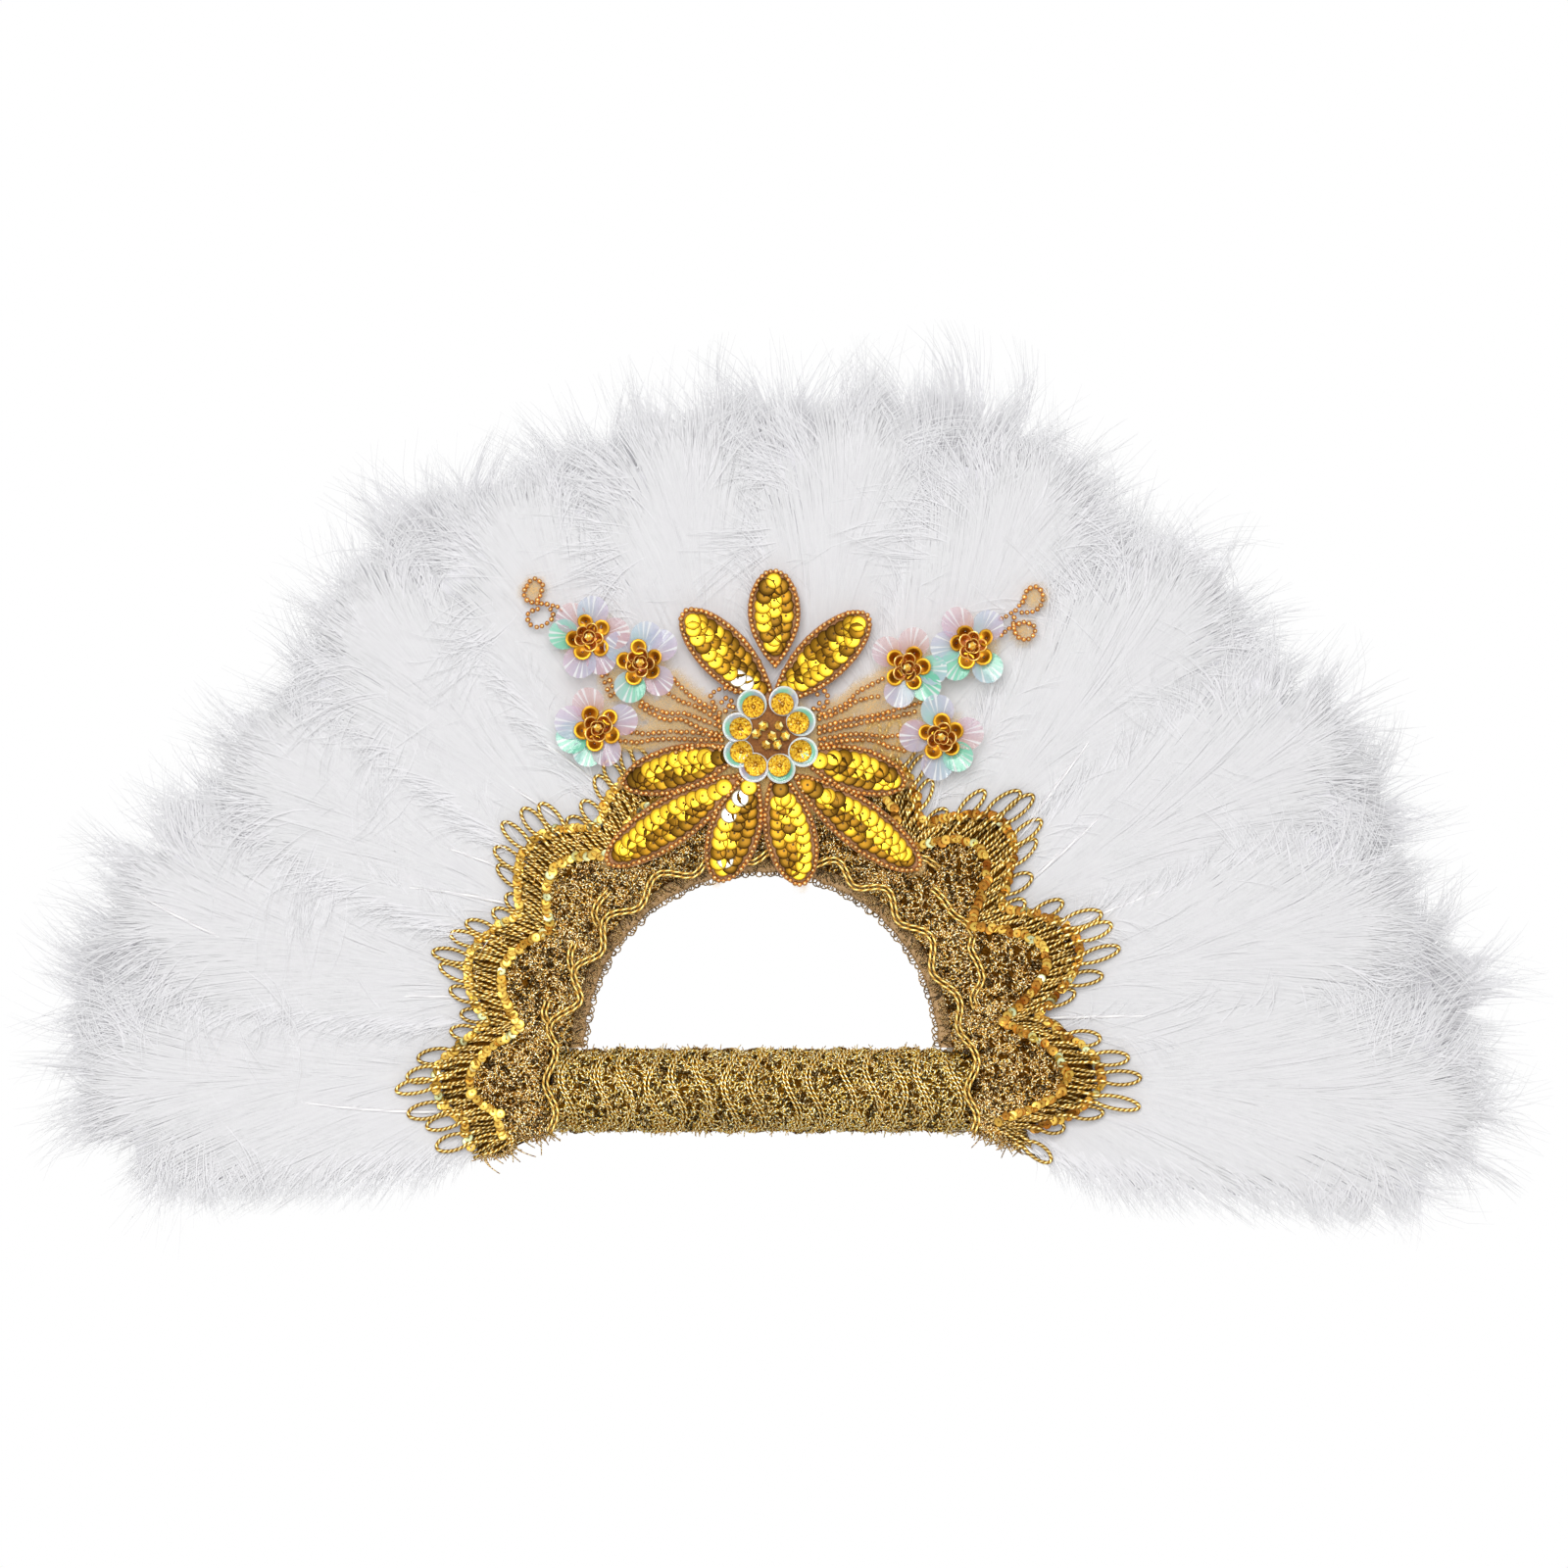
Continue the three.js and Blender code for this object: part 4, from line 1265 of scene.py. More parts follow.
CARD = Grained("grey board", "board", 0.0, 0.95, *shades("c4baa8 dcd4c6"), 90.0, 700.0, 0.1)
FOAM = Grained("grip core foam", "board", 0.0, 0.95, *shades("d6cebe e8e2d6"), 200.0, 1500.0, 0.15)


# Plumes


Quill = tuple[float, float, float, float]
Curves = tuple[Floats, Floats, Floats]


def crowned(share: Floats) -> Floats:
    """Height of a plume's section: 1 less the share of its half width to the power 3.2."""
    return np.maximum(1 - np.abs(share) ** 3.2, 0.0)


@dataclass
class Plume:
    """One plume: soft under-down, thousands of fine barbs, a fringe and its quills.

    A place in a plume is given by its distance u from the middle of the opening, its distance v
    across from the quill's line, and its height w off the plume's mid-surface.

    Attributes:
        name: the solid that it stands for.
        face: the face of the fan that it lies on.
        angle: direction of its quill.
        edge: how far its down is thick enough to hide what is behind it.
        seed: start of its random numbers.
        skirt: extra half width of down near its root, on its lower and upper side.
        quills: angle and distance of the two ends of each quill that shows.
        surface_barbs: number of barbs on its outer side.
        fringe_barbs: number of loose barbs round it.
        inner_barbs: number of barbs on its inner side.
        pitch: angle to the next plume, in radians.
        reach: share of that angle that it covers to each side.
        half_width: limit on half its width.
        vane_start: where its down starts.
        lace_reach: up to where the lace holds it down.
        ornament_reach: up to where the ornament holds it down.
        swell_length: length over which it swells to its full thickness from there.
        tip_length: length over which it narrows to its tip.
        thin: half thickness under the lace.
        held: half thickness at the ornament's edge.
        full: half thickness farther out.
        barb: half the width of a barb on a face.
        loose_barb: half the width of one in the fringe.
        longest_barb: longest that a loose barb stands off the tip.
        tuft: angle between two tufts at the tip, in radians.
        tip_share: share of the loose barbs that stand round the tip.
        stray_share: share of the barbs on a face that stand up.
    """

    name: str
    face: Face
    angle: float
    edge: float
    seed: int
    skirt: tuple[float, float] = (0.0, 0.0)
    quills: tuple[Quill, ...] = ()
    surface_barbs: int = 3400
    fringe_barbs: int = 2400
    inner_barbs: int = 300
    pitch: float = math.radians(PLUME_PITCH)
    reach: float = 0.66
    half_width: float = 36.0
    vane_start: float = 94.0
    lace_reach: float = 125.9
    ornament_reach: float = 177.1
    swell_length: float = 26.0
    tip_length: float = 36.0
    thin: float = 0.9
    held: float = 4.4
    full: float = 7.2
    barb: float = 0.36
    loose_barb: float = 0.21
    longest_barb: float = 28.0
    tuft: float = 0.12
    tip_share: float = 0.7
    stray_share: float = 0.01

    @property
    def body_end(self) -> float:
        """How far the soft body reaches; the fringe makes up the rest of the edge."""
        return self.edge - 5.0

    @property
    def bias(self) -> float:
        """How much more of the side fringe goes to the lower side."""
        return 0.4 * float(np.sign(self.skirt[0] - self.skirt[1]))

    def swelling(self, u: Floats, full: float) -> Floats:
        """Half thickness up to a full one, without the tip."""
        ends = [self.lace_reach, self.ornament_reach, self.ornament_reach + self.swell_length]
        return np.interp(u, ends, [self.thin, self.held, full])

    def towards_tip(self, u: Floats, limit: float) -> Floats:
        """Factor that rounds the tip: the cube root of 1 less the cube of the share passed."""
        share = np.clip((u - self.body_end + self.tip_length) / self.tip_length, 0, limit)
        return np.cbrt(1 - share**3)

    def width(self, u: Floats, v: Floats | float = 0.0) -> Floats:
        """Half width of the thick down: the smaller of a share of u and a limit, narrowed to the tip.

        Args:
            u: distances from the middle of the opening.
            v: distances across, of which the sign tells the side with the skirt.

        Returns:
            Half widths.
        """
        spread = np.minimum(self.reach * self.pitch * u, self.half_width) * self.towards_tip(u, 0.999)
        open_up = np.clip((u - self.vane_start + 6) / (self.lace_reach - self.vane_start), 0.02, 1) ** 0.35
        skirt = np.where(np.asarray(v) < 0, self.skirt[0], self.skirt[1])
        return spread * open_up + skirt * ramp(96, 104, u) * (1 - ramp(120, 190, u))

    def thickness(self, u: Floats) -> Floats:
        """Half thickness: thin under the lace, held down by the ornament and full outside it."""
        return self.swelling(u, self.full) * self.towards_tip(u, 0.98)

    def set_out(self, u: Floats, v: Floats, w: Floats) -> Floats:
        """Places in space: v turns round the opening, and the mid-surface rises across the pitch.

        Args:
            u: distances from the middle of the opening.
            v: distances across from the quill's line.
            w: heights off the mid-surface.

        Returns:
            The places.
        """
        half = self.swelling(u, self.full + 0.2)
        overlap = np.minimum(self.reach * self.pitch, self.half_width / u)
        rise = half * np.maximum(1 - (self.pitch / 2 / overlap) ** 2, 0) + 0.45
        level = np.maximum(3.0, 0.25 + half + (rise * 0.6) ** 2 / (4 * half))
        slope = np.clip(v / u, -0.3, 0.3)
        angle = self.angle + np.degrees(v / u)
        return on_face(self.face, angle, u, level + rise / self.pitch * slope + w)

    def outward(self, u: Floats, v: Floats, layer: Floats) -> Floats:
        """Directions off the crowned surface: the slope of w over v, and round over the tip.

        Args:
            u: distances from the middle of the opening.
            v: distances across from the quill's line.
            layer: share of the half thickness, which is below 0 on the inner side.

        Returns:
            The directions.
        """
        width, thick = np.maximum(self.width(u, v), 4.0), self.thickness(u)
        across = np.clip(0.6 * layer * thick * v / width**2, -0.3, 0.3)
        ahead = 0.34 * ramp(self.body_end - 20, self.edge + 10, u)
        turn = np.radians(self.angle) + v / u
        depth = self.face.value * np.where(layer < 0, -1.0, 1.0)
        x = np.cos(turn) * ahead - np.sin(turn) * across
        z = np.sin(turn) * ahead + np.cos(turn) * across
        return unit(in_space(x, depth, z))

    def strands(
        self,
        rng: Random,
        curves: Curves,
        layer: Floats,
        lift: Floats,
        half_width: float,
        points: int,
        loose: bool = False,
    ) -> Patch:
        """Barbs as ribbons along curves of the second degree through a root, a turn and an end.

        Args:
            rng: source of the random numbers.
            curves: u and v of the roots, of the points that the barbs bend towards and of the
                ends, each (n, 2).
            layer: share of the half thickness at which a barb lies, (n,).
            lift: how far its end stands off the surface.
            half_width: half the width of a barb at its root.
            points: points along a barb.
            loose: whether the barbs get the painted glow that stands for light shining through them.

        Returns:
            The barbs' surface.
        """
        root, turn, end = (part[:, None] for part in curves)
        t = np.linspace(0, 1, points)[None, :, None]
        curve = (1 - t) ** 2 * root + 2 * t * (1 - t) * turn + t**2 * end
        u, v, t = curve[..., 0], curve[..., 1], t[..., 0]
        count = len(root)
        v = v + wobble(rng, t + rng.uniform(0, 9, (count, 1)), 3, 0.9) * 0.5 * t
        crown = crowned(v / np.maximum(self.width(u, v), 2.0))
        w = layer[:, None] * self.thickness(u) * crown + lift[:, None] * t**1.5
        paths = self.set_out(u, v, w)
        out = self.outward(u, v, np.abs(layer[:, None]) if loose else layer[:, None])
        along = unit(np.gradient(paths, axis=1))
        tilted = unit(out + rng.normal(0, 0.14, (count, 1, 1)) * np.cross(along, out))
        thin = half_width * rng.uniform(0.7, 1.2, (count, 1)) * (1 - t) ** 0.75 + 0.04
        # Tones above 0.5 mark loose barbs for their painted glow.
        tones = drawn(rng, 0.25, 0.11, count, 0.0, 0.5) + 0.5 * loose
        return ribbons(paths, np.broadcast_to(thin, u.shape), tilted, tones, out)

    def surface(self, rng: Random, count: int, outer: bool) -> Patch:
        """Barbs that sweep from the quill to the sides, over one face of the plume.

        Args:
            rng: source of the random numbers.
            count: number of barbs.
            outer: whether it is the face that looks away from the board.

        Returns:
            The barbs' surface.
        """
        sign = 1 if outer else -1
        span = self.body_end - self.vane_start
        end_u = self.vane_start + 6 + span * rng.uniform(0, 1, count) ** 0.8
        side = rng.uniform(-1, 1, count)
        side = side * (1 + 0.25 * np.abs(side))
        end_v = side * np.maximum(self.width(end_u, side), 14)
        lead = 20 + np.abs(end_v) * rng.uniform(1.1, 1.9, count)
        root_u = np.clip(end_u - lead, 88, self.body_end - 24)
        root = np.stack([root_u, end_v * 0.3], -1)
        turn = np.stack([root_u + 0.6 * (end_u - root_u), end_v * 0.55], -1)
        curves = root, turn, np.stack([end_u, end_v], -1)
        layer = rng.uniform(0.96, 1.03, count) * sign
        stray = rng.uniform(size=count) < self.stray_share
        lift = np.where(stray, rng.uniform(0.8, 2.2, count), rng.uniform(-0.1, 0.45, count))
        return self.strands(rng, curves, layer, lift * sign, self.barb, 5)

    def tip_fringe(self, rng: Random, count: int) -> Curves:
        """Curves of the barbs round the tip, in tufts that lean and curve one way.

        Args:
            rng: source of the random numbers.
            count: number of barbs.

        Returns:
            Roots, turns and ends of the barbs.
        """
        bearing = np.radians(rng.uniform(-108, 108, count))
        depth = rng.uniform(6, self.longest_barb, count)
        rim = self.half_width - depth
        middle = self.body_end - self.tip_length
        root = np.stack([middle + rim * np.cos(bearing), rim * np.sin(bearing) * 0.94], -1)
        tuft = np.round(bearing / self.tuft + rng.normal(0, 0.3, count)) * self.tuft
        same = np.random.default_rng(self.seed)
        lean, sweep, tall = (wobble(same, tuft * 3, 5, 1.2) for _ in range(3))
        aim = bearing + 0.5 * (tuft - bearing) + 0.26 * lean + rng.normal(0, 0.08, count)
        stand = (3.5 + rng.gamma(1.8, 4.3, count)) * (1 + 0.25 * tall)
        shorter = 0.55 * ramp(0.6, 1.3, np.abs(bearing)) if self.bias else 0.0
        length = depth + np.clip(stand, 0.5, self.longest_barb) * (1 - shorter)
        ahead = towards(aim)
        end = root + ahead * length[:, None]
        curve = (0.24 * sweep + rng.normal(0, 0.05, count)) * length
        return root, root + 0.5 * (end - root) + leftward(ahead) * curve[:, None], end

    def side_fringe(self, rng: Random, count: int) -> Curves:
        """Curves of the barbs that stand off both sides.

        Args:
            rng: source of the random numbers.
            count: number of barbs.

        Returns:
            Roots, turns and ends of the barbs.
        """
        hand = np.where(rng.uniform(size=count) < 0.5 + self.bias, -1.0, 1.0)
        u = rng.uniform(100, self.body_end - 24, count)
        edge = self.width(u, hand)
        lead = rng.uniform(10, 30, count)
        root = np.stack([u - lead, hand * edge * 0.6], -1)
        spread, most = (2.1, 8) if self.bias else (1.6, 14)
        far = np.minimum(1.0 + rng.gamma(1.5, spread, count), most)
        end = np.stack([u + rng.normal(0, 3, count), hand * (edge + far)], -1)
        return root, np.stack([u - 0.35 * lead, hand * edge * 0.8], -1), end

    def fringe(self, rng: Random) -> Patch:
        """Loose barbs that stand off the plume's outline, longest at its tip.

        Args:
            rng: source of the random numbers.

        Returns:
            The barbs' surface.
        """
        count = self.fringe_barbs
        tips = int(count * self.tip_share)
        both = zip(self.tip_fringe(rng, tips), self.side_fringe(rng, count - tips))
        curves = tuple(np.concatenate(pair) for pair in both)
        layer = rng.uniform(-0.3, 1.0, count)
        return self.strands(rng, curves, layer, rng.normal(-0.5, 3.2, count), self.loose_barb, 6, True)

    def under_down(self, rng: Random) -> Patch:
        """The soft body under the barbs: a lens whose edge runs in and out.

        Args:
            rng: source of the random numbers.

        Returns:
            The body's surface.
        """
        rows, lanes = 44, 13
        u = np.linspace(self.vane_start - 2, self.body_end - 12, rows)
        share = np.cos(np.linspace(0, np.pi, lanes))
        ring = np.concatenate([share, -share[1:-1]])
        hand = np.where(np.arange(len(ring)) < lanes, 1.0, -1.0)
        ragged = 0.88 + 0.04 * wobble(rng, u / 40, 5, 3.0)
        uu, ss = u[:, None], ring[None, :]
        v = ss * self.width(uu, ss) * ragged[:, None]
        w = hand * 0.95 * self.thickness(uu) * crowned(ss)
        patch = sheet_patch(self.set_out(uu + 0 * v, v, w), closed=True)
        return patch if self.face is Face.BACK else turned_over(patch)

    def rachis(self) -> Patch:
        """The plume's own quill, which tapers to its tip inside the down.

        Returns:
            The quill's surface.
        """
        u = np.linspace(70.5, self.body_end - 34, 26)
        path = self.set_out(u, 0 * u, 0 * u)[None]
        radius = np.interp(u, [70, 96, 120, u[-1]], [1.1, 1.0, 0.8, 0.3])[None]
        return tubes(path, radius, 6, 0.6, 9.0)

    def shown_quills(self) -> list[Patch]:
        """Bare quills that lie on the down and sink into it outwards, and far out at both ends.

        Returns:
            A surface for each quill.
        """
        made = []
        for from_angle, from_u, to_angle, to_u in self.quills:
            share = np.linspace(0, 1, 24)
            afloat = from_u > self.lace_reach + 20
            u = from_u - 16 * (not afloat) + (to_u - from_u + 22) * share
            angle = from_angle + (to_angle - from_angle) * (u - from_u) / (to_u - from_u)
            v = np.radians(angle - self.angle) * u
            crown = crowned(v / np.maximum(self.width(u, v), 4.0))
            height = self.thickness(u) * crown + 0.6 - 1.6 * ramp(0.6, 1.0, share)
            height = height - 1.6 * afloat * (1 - ramp(0.0, 0.3, share))
            radius = np.interp(share, [0, 0.5, 1], [0.5 if afloat else 0.75, 0.55, 0.12])
            made.append(tubes(self.set_out(u, v, height)[None], radius[None], 6, 0.9, 9.0))
        return made

    def build(self) -> None:
        """Makes the plume's three pieces in place of its solid."""
        rng = np.random.default_rng(self.seed)
        Skin(f"{self.name}_down").lay(self.under_down(rng)).build(UNDER_DOWN, self.name, charted=False)
        outer, inner = self.surface(rng, self.surface_barbs, True), self.surface(rng, self.inner_barbs, False)
        Skin(f"{self.name}_barbs").lay(outer, inner, self.fringe(rng)).build(DOWN, self.name)
        Skin(f"{self.name}_quill").lay(self.rachis(), *self.shown_quills()).build(QUILL, self.name)


@dataclass
class PlumeRing:
    """All the plumes of the fan, in a front and a back layer.

    Attributes:
        first: direction of the first plume in front.
        skirt: extra half width at the root of the two outermost plumes.
        front_edges: how far each plume in front reaches.
        back_edges: how far each one behind reaches.
        shown_quills: angle and distance of the two ends of the quills that show.
    """

    first: float = -5.0
    skirt: float = 12.5
    front_edges: tuple[float, ...] = (236, 217, 220, 215, 218, 213, 209, 203, 204, 199, 218, 223)
    back_edges: tuple[float, ...] = (237, 222, 210, 208, 225, 214, 206, 213, 196, 204, 227)
    shown_quills: tuple[Quill, ...] = (
        (190.4, 113.5, 185.5, 161.4),
        (170.3, 100.6, 171.8, 120.9),
        (168.8, 173.5, 166.9, 197.5),
        (149.9, 93.2, 157.0, 136.2),
        (144.2, 95.1, 148.3, 129.0),
        (132.1, 105.6, 134.0, 120.6),
        (122.4, 104.6, 126.9, 131.6),
        (40.9, 119.8, 43.7, 152.3),
        (32.8, 112.7, 34.8, 139.0),
        (21.7, 115.0, 21.6, 155.0),
        (5.6, 107.4, 4.4, 138.3),
    )

    def build(self) -> None:
        """Makes every plume."""
        last = len(self.front_edges) - 1
        for i, edge in enumerate(self.front_edges):
            angle = self.first + PLUME_PITCH * i
            shown = tuple(q for q in self.shown_quills if abs(q[0] - angle) <= PLUME_PITCH / 2)
            skirt = self.skirt * (i == 0), self.skirt * (i == last)
            Plume(f"plume_front_{i + 1}", Face.FRONT, angle, edge, 100 + i, skirt, shown).build()
        for i, edge in enumerate(self.back_edges):
            angle = self.first + PLUME_PITCH * (i + 0.5)
            plume = Plume(f"plume_back_{i + 1}", Face.BACK, angle, edge, 200 + i)
            plume.surface_barbs, plume.fringe_barbs = 2500, 2200
            plume.build()


# Lace, braids, rim and grip


def lace_edge(angle: Floats) -> Floats:
    """How far the lace reaches: the valley's reach plus the scallop's depth times a cosine bump.

    At its left foot it spreads further than its last scallop.

    Args:
        angle: angles round the opening.

    Returns:
        Distances from the middle of the opening.
    """
    depths = np.array(SCALLOP_DEPTHS)
    place = (np.asarray(angle, dtype=float) - FIRST_SCALLOP) / SCALLOP_PITCH
    nearest = np.clip(np.round(place), 0, len(depths) - 1).astype(int)
    away = np.minimum(np.abs(place - nearest) * 2, 1)
    bump = 28.6 * depths[nearest] * np.cos(away * np.pi / 2) ** 1.2
    return VALLEY + np.maximum(bump, 13.5 * ramp(188, 195, angle))


def dense_edge(angle: Floats) -> Floats:
    """How far the lace's solid part reaches: its loops are longer at the scallops' tips."""
    return DENSE_VALLEY + DENSE_SHARE * (lace_edge(angle) - VALLEY)


@dataclass
class LaceBand:
    """A gathered lace band on one face: ground, curly thread, cords, loops and sequin rows.

    Attributes:
        name: the solid that it stands for.
        face: the face of the fan.
        seed: start of its random numbers.
        curls: number of curly threads.
        foot: how many degrees its left foot lies below the middle of the opening.
        right_foot: the same for its right foot.
        inner: inner radius.
        bar_side: distance of its feet from the middle, beside the ends of the bar.
        bar_bottom: how far the bar's underside lies below the middle of the opening.
        near: level of its underside.
        rim: level of its top at both edges.
        crest: level of its top between them.
        scallop_loops: loops in one scallop.
        loop_level: level of the loops over the lace.
        loop_drop: how far they sink to their ends.
        ends: number of cut thread ends at the feet.
        thread: radius of a curly thread.
        loop_cord: radius of a loop's cord.
        row_cord: radius of a cord between the sequin rows.
        row_spacing: distance from one sequin of a row to the next.
    """

    name: str
    face: Face
    seed: int
    curls: int
    foot: float = 22.4
    right_foot: float = 20.2
    inner: float = 62.0
    bar_side: float = 68.4
    bar_bottom: float = 27.6
    near: float = 4.6
    rim: float = 5.5
    crest: float = 8.1
    scallop_loops: int = 7
    loop_level: float = 8.5
    loop_drop: float = 2.7
    ends: int = 280
    thread: float = 0.38
    loop_cord: float = 0.66
    row_cord: float = 0.6
    row_spacing: float = 1.45

    @property
    def front_lit(self) -> float:
        """Painted light: how much lighter a cord's side that faces outwards is painted than its flanks."""
        return -0.45 * self.face.value

    def inner_edge(self, angle: Floats) -> Floats:
        """Inner radius: round the opening, and beside the end of the grip bar below it."""
        beside = self.bar_side / np.maximum(np.abs(np.cos(np.radians(angle))), 0.2)
        return np.where((angle < 0) | (angle > FLAT_SIDE), beside, self.inner)

    def kept_up(self, angle: Floats, radius: Floats) -> Floats:
        """Angles that stay above the line of the bar's underside, beside the bar at the left."""
        below = np.degrees(np.arcsin(self.bar_bottom / np.maximum(radius, 60)))
        return np.minimum(angle, FLAT_SIDE + below + 4 * ramp(83, 89, radius))

    def crown(self, angle: Floats, radius: Floats) -> Floats:
        """Level of the lace's top: up within the first eighth, flat with low gathers, and down.

        Args:
            angle: angles round the opening.
            radius: distances from its middle.

        Returns:
            Distances from the fan's middle plane.
        """
        inner = self.inner_edge(angle)
        share = np.clip((radius - inner) / (dense_edge(angle) - inner), 0, 1)
        rng = np.random.default_rng(self.seed + 7)
        gathers = 0.28 * wobble(rng, angle / 10 + 0.6 * share, 5, 2.2)
        hump = ramp(0.0, 0.13, share) * (1 - 0.75 * ramp(0.86, 1.0, share))
        return self.rim + (self.crest - self.rim) * hump + gathers * hump

    def over(self, x: Floats, z: Floats, lift: Floats) -> Floats:
        """Places over the lace's top at some X and Z.

        Args:
            x: X of the places.
            z: Z of the places.
            lift: how far above the top they lie.

        Returns:
            The places.
        """
        radius = np.hypot(x, z - CENTRE_HEIGHT)
        angle = np.degrees(np.arctan2(z - CENTRE_HEIGHT, x))
        angle = np.where(angle < -90, angle + 360, angle)
        return in_space(x, self.face.value * (self.crown(angle, radius) + lift), z)

    def ground(self) -> bpy.types.Object:
        """The lace's ground as one closed thin sheet over the band.

        Returns:
            The piece.
        """
        rows, top, below = 300, 15, 6
        around_it = top + below
        angle = np.linspace(-self.right_foot, FLAT_SIDE + self.foot, rows)[:, None]
        share = np.concatenate([np.linspace(0, 1, top), np.linspace(1, 0, below)])[None, :]
        is_top = (np.arange(around_it) < top)[None, :]
        inner = self.inner_edge(angle)
        radius = inner + (dense_edge(angle) - 1.6 - inner) * share
        level = np.where(is_top, self.crown(angle, radius) - 0.15, self.near)
        places = on_face(self.face, self.kept_up(angle, radius), radius, level)
        patch = sheet_patch(places, closed=True)
        first = np.arange(around_it)
        ends = np.stack([first[::-1], first + (rows - 1) * around_it])
        closing = Patch(patch.places, (*patch.faces, (ends, np.zeros((*ends.shape, 2)))))
        if self.face is Face.FRONT:
            closing = turned_over(closing)
        return Skin(f"{self.name}_ground").lay(closing).build(LACE_GROUND, self.name, charted=False)

    def curly_threads(self, rng: Random) -> Patch:
        """Curly threads laid over the ground, thinner between the sequin rows.

        Args:
            rng: source of the random numbers.

        Returns:
            The threads' surface.
        """
        along, outwards = even_spread(self.curls)
        angle = -self.right_foot + (FLAT_SIDE + self.right_foot + self.foot) * along
        inner = self.inner_edge(angle)
        span = dense_edge(angle) - 1.5 - inner
        share = np.where(rng.uniform(size=self.curls) < 0.88, 1 - 10 / span, 1.0) * outwards
        radius = inner + 0.6 + span * share
        line = scribbles(rng, self.curls, 9, 0.85, 1.0)
        r = np.maximum(radius[:, None] + line[..., 0], inner[:, None] + 0.2)
        a = angle[:, None] + np.degrees(line[..., 1] / radius[:, None])
        a = self.kept_up(np.clip(a, -self.right_foot - 1.2, FLAT_SIDE + self.foot + 1.2), r)
        lift = 0.4 + 0.4 * np.sin(np.arange(9) * 1.7 + rng.uniform(0, 6.3, (self.curls, 1)))
        tones = drawn(rng, 0.66, 0.62, self.curls, 0.0, 1.4)
        paths = on_face(self.face, a, r, self.crown(a, r) + lift)
        return tubes(paths, self.thread, 3, tones, 1.5, self.front_lit)

    def scallop_aim(self, angle: Floats) -> Floats:
        """Direction of the loops at an angle: mostly that of their scallop's own axis.

        Args:
            angle: angles round the opening.

        Returns:
            Directions, in radians.
        """
        place = np.round((angle - FIRST_SCALLOP) / SCALLOP_PITCH)
        axis = FIRST_SCALLOP + SCALLOP_PITCH * np.clip(place, 0, len(SCALLOP_DEPTHS) - 1)
        return np.radians(axis + 0.42 * (angle - axis))

    def loops(self, rng: Random) -> Patch:
        """Cords that turn in an open loop past the edge of the lace.

        A loop is an ellipse, open towards the lace: at turn t its distance out is 0.64 of its
        length plus 0.36 times the cosine of t, and its sideways place the sine of t.

        Args:
            rng: source of the random numbers.

        Returns:
            The loops' surface.
        """
        pitch = SCALLOP_PITCH / self.scallop_loops
        angle = np.arange(-self.right_foot + 1.4, FLAT_SIDE + self.foot - 1.8, pitch)
        angle = angle + rng.normal(0, 0.4, len(angle))
        root = dense_edge(angle) - 5.0
        length = lace_edge(angle) - root + rng.normal(0, 0.9, len(angle))
        aim = self.scallop_aim(angle) + rng.normal(0, 0.05, len(angle))
        t = np.radians(np.linspace(-146, 146, 27))
        out = np.concatenate([[0, 0.16], 0.64 + 0.36 * np.cos(t), [0.16, 0]])
        v = np.concatenate([[-0.75, -0.64], np.sin(t), [0.64, 0.75]])
        v = rng.uniform(2.0, 2.6, (len(angle), 1)) * v + rng.normal(0, 0.7, (len(angle), 1)) * out**2
        x, z = around(angle, root)
        ahead = towards(aim)
        aside = leftward(ahead)
        x = x[:, None] + ahead[:, :1] * length[:, None] * out + aside[:, :1] * v
        z = z[:, None] + ahead[:, 1:] * length[:, None] * out + aside[:, 1:] * v
        level = self.loop_level - self.loop_drop * ramp(0.35, 1.0, out)
        level = level + rng.uniform(-0.3, 0.5, (len(angle), 1))
        paths = in_space(x, self.face.value * level, z)
        tones = drawn(rng, 0.6, 0.12, len(angle))
        return tubes(paths, self.loop_cord, 6, tones, 1.8, self.front_lit)

    def cord_rows(self, rng: Random) -> Patch:
        """Cords side by side between the two rows of sequins, which run out to the edge.

        Args:
            rng: source of the random numbers.

        Returns:
            The cords' surface.
        """
        angle = np.arange(-self.right_foot + 0.6, FLAT_SIDE + self.foot - 0.8, 0.8)
        angle = angle + rng.normal(0, 0.12, len(angle))
        aim = self.scallop_aim(angle)
        x, z = around(angle, dense_edge(angle) + 0.4)
        back = np.linspace(0, 1, 9) * rng.uniform(11, 16, (len(angle), 1))
        sway = 0.3 * wobble(rng, back / 9 + rng.uniform(0, 9, (len(angle), 1)), 3, 1.0)
        ahead = towards(aim)
        aside = leftward(ahead)
        x = x[:, None] - ahead[:, :1] * back + aside[:, :1] * sway
        z = z[:, None] - ahead[:, 1:] * back + aside[:, 1:] * sway
        tones = drawn(rng, 0.5, 0.2, len(angle), 0.05)
        paths = self.over(x, z, rng.uniform(0.35, 0.75, (len(angle), 1)))
        return tubes(paths, self.row_cord, 4, tones, 1.7, self.front_lit)

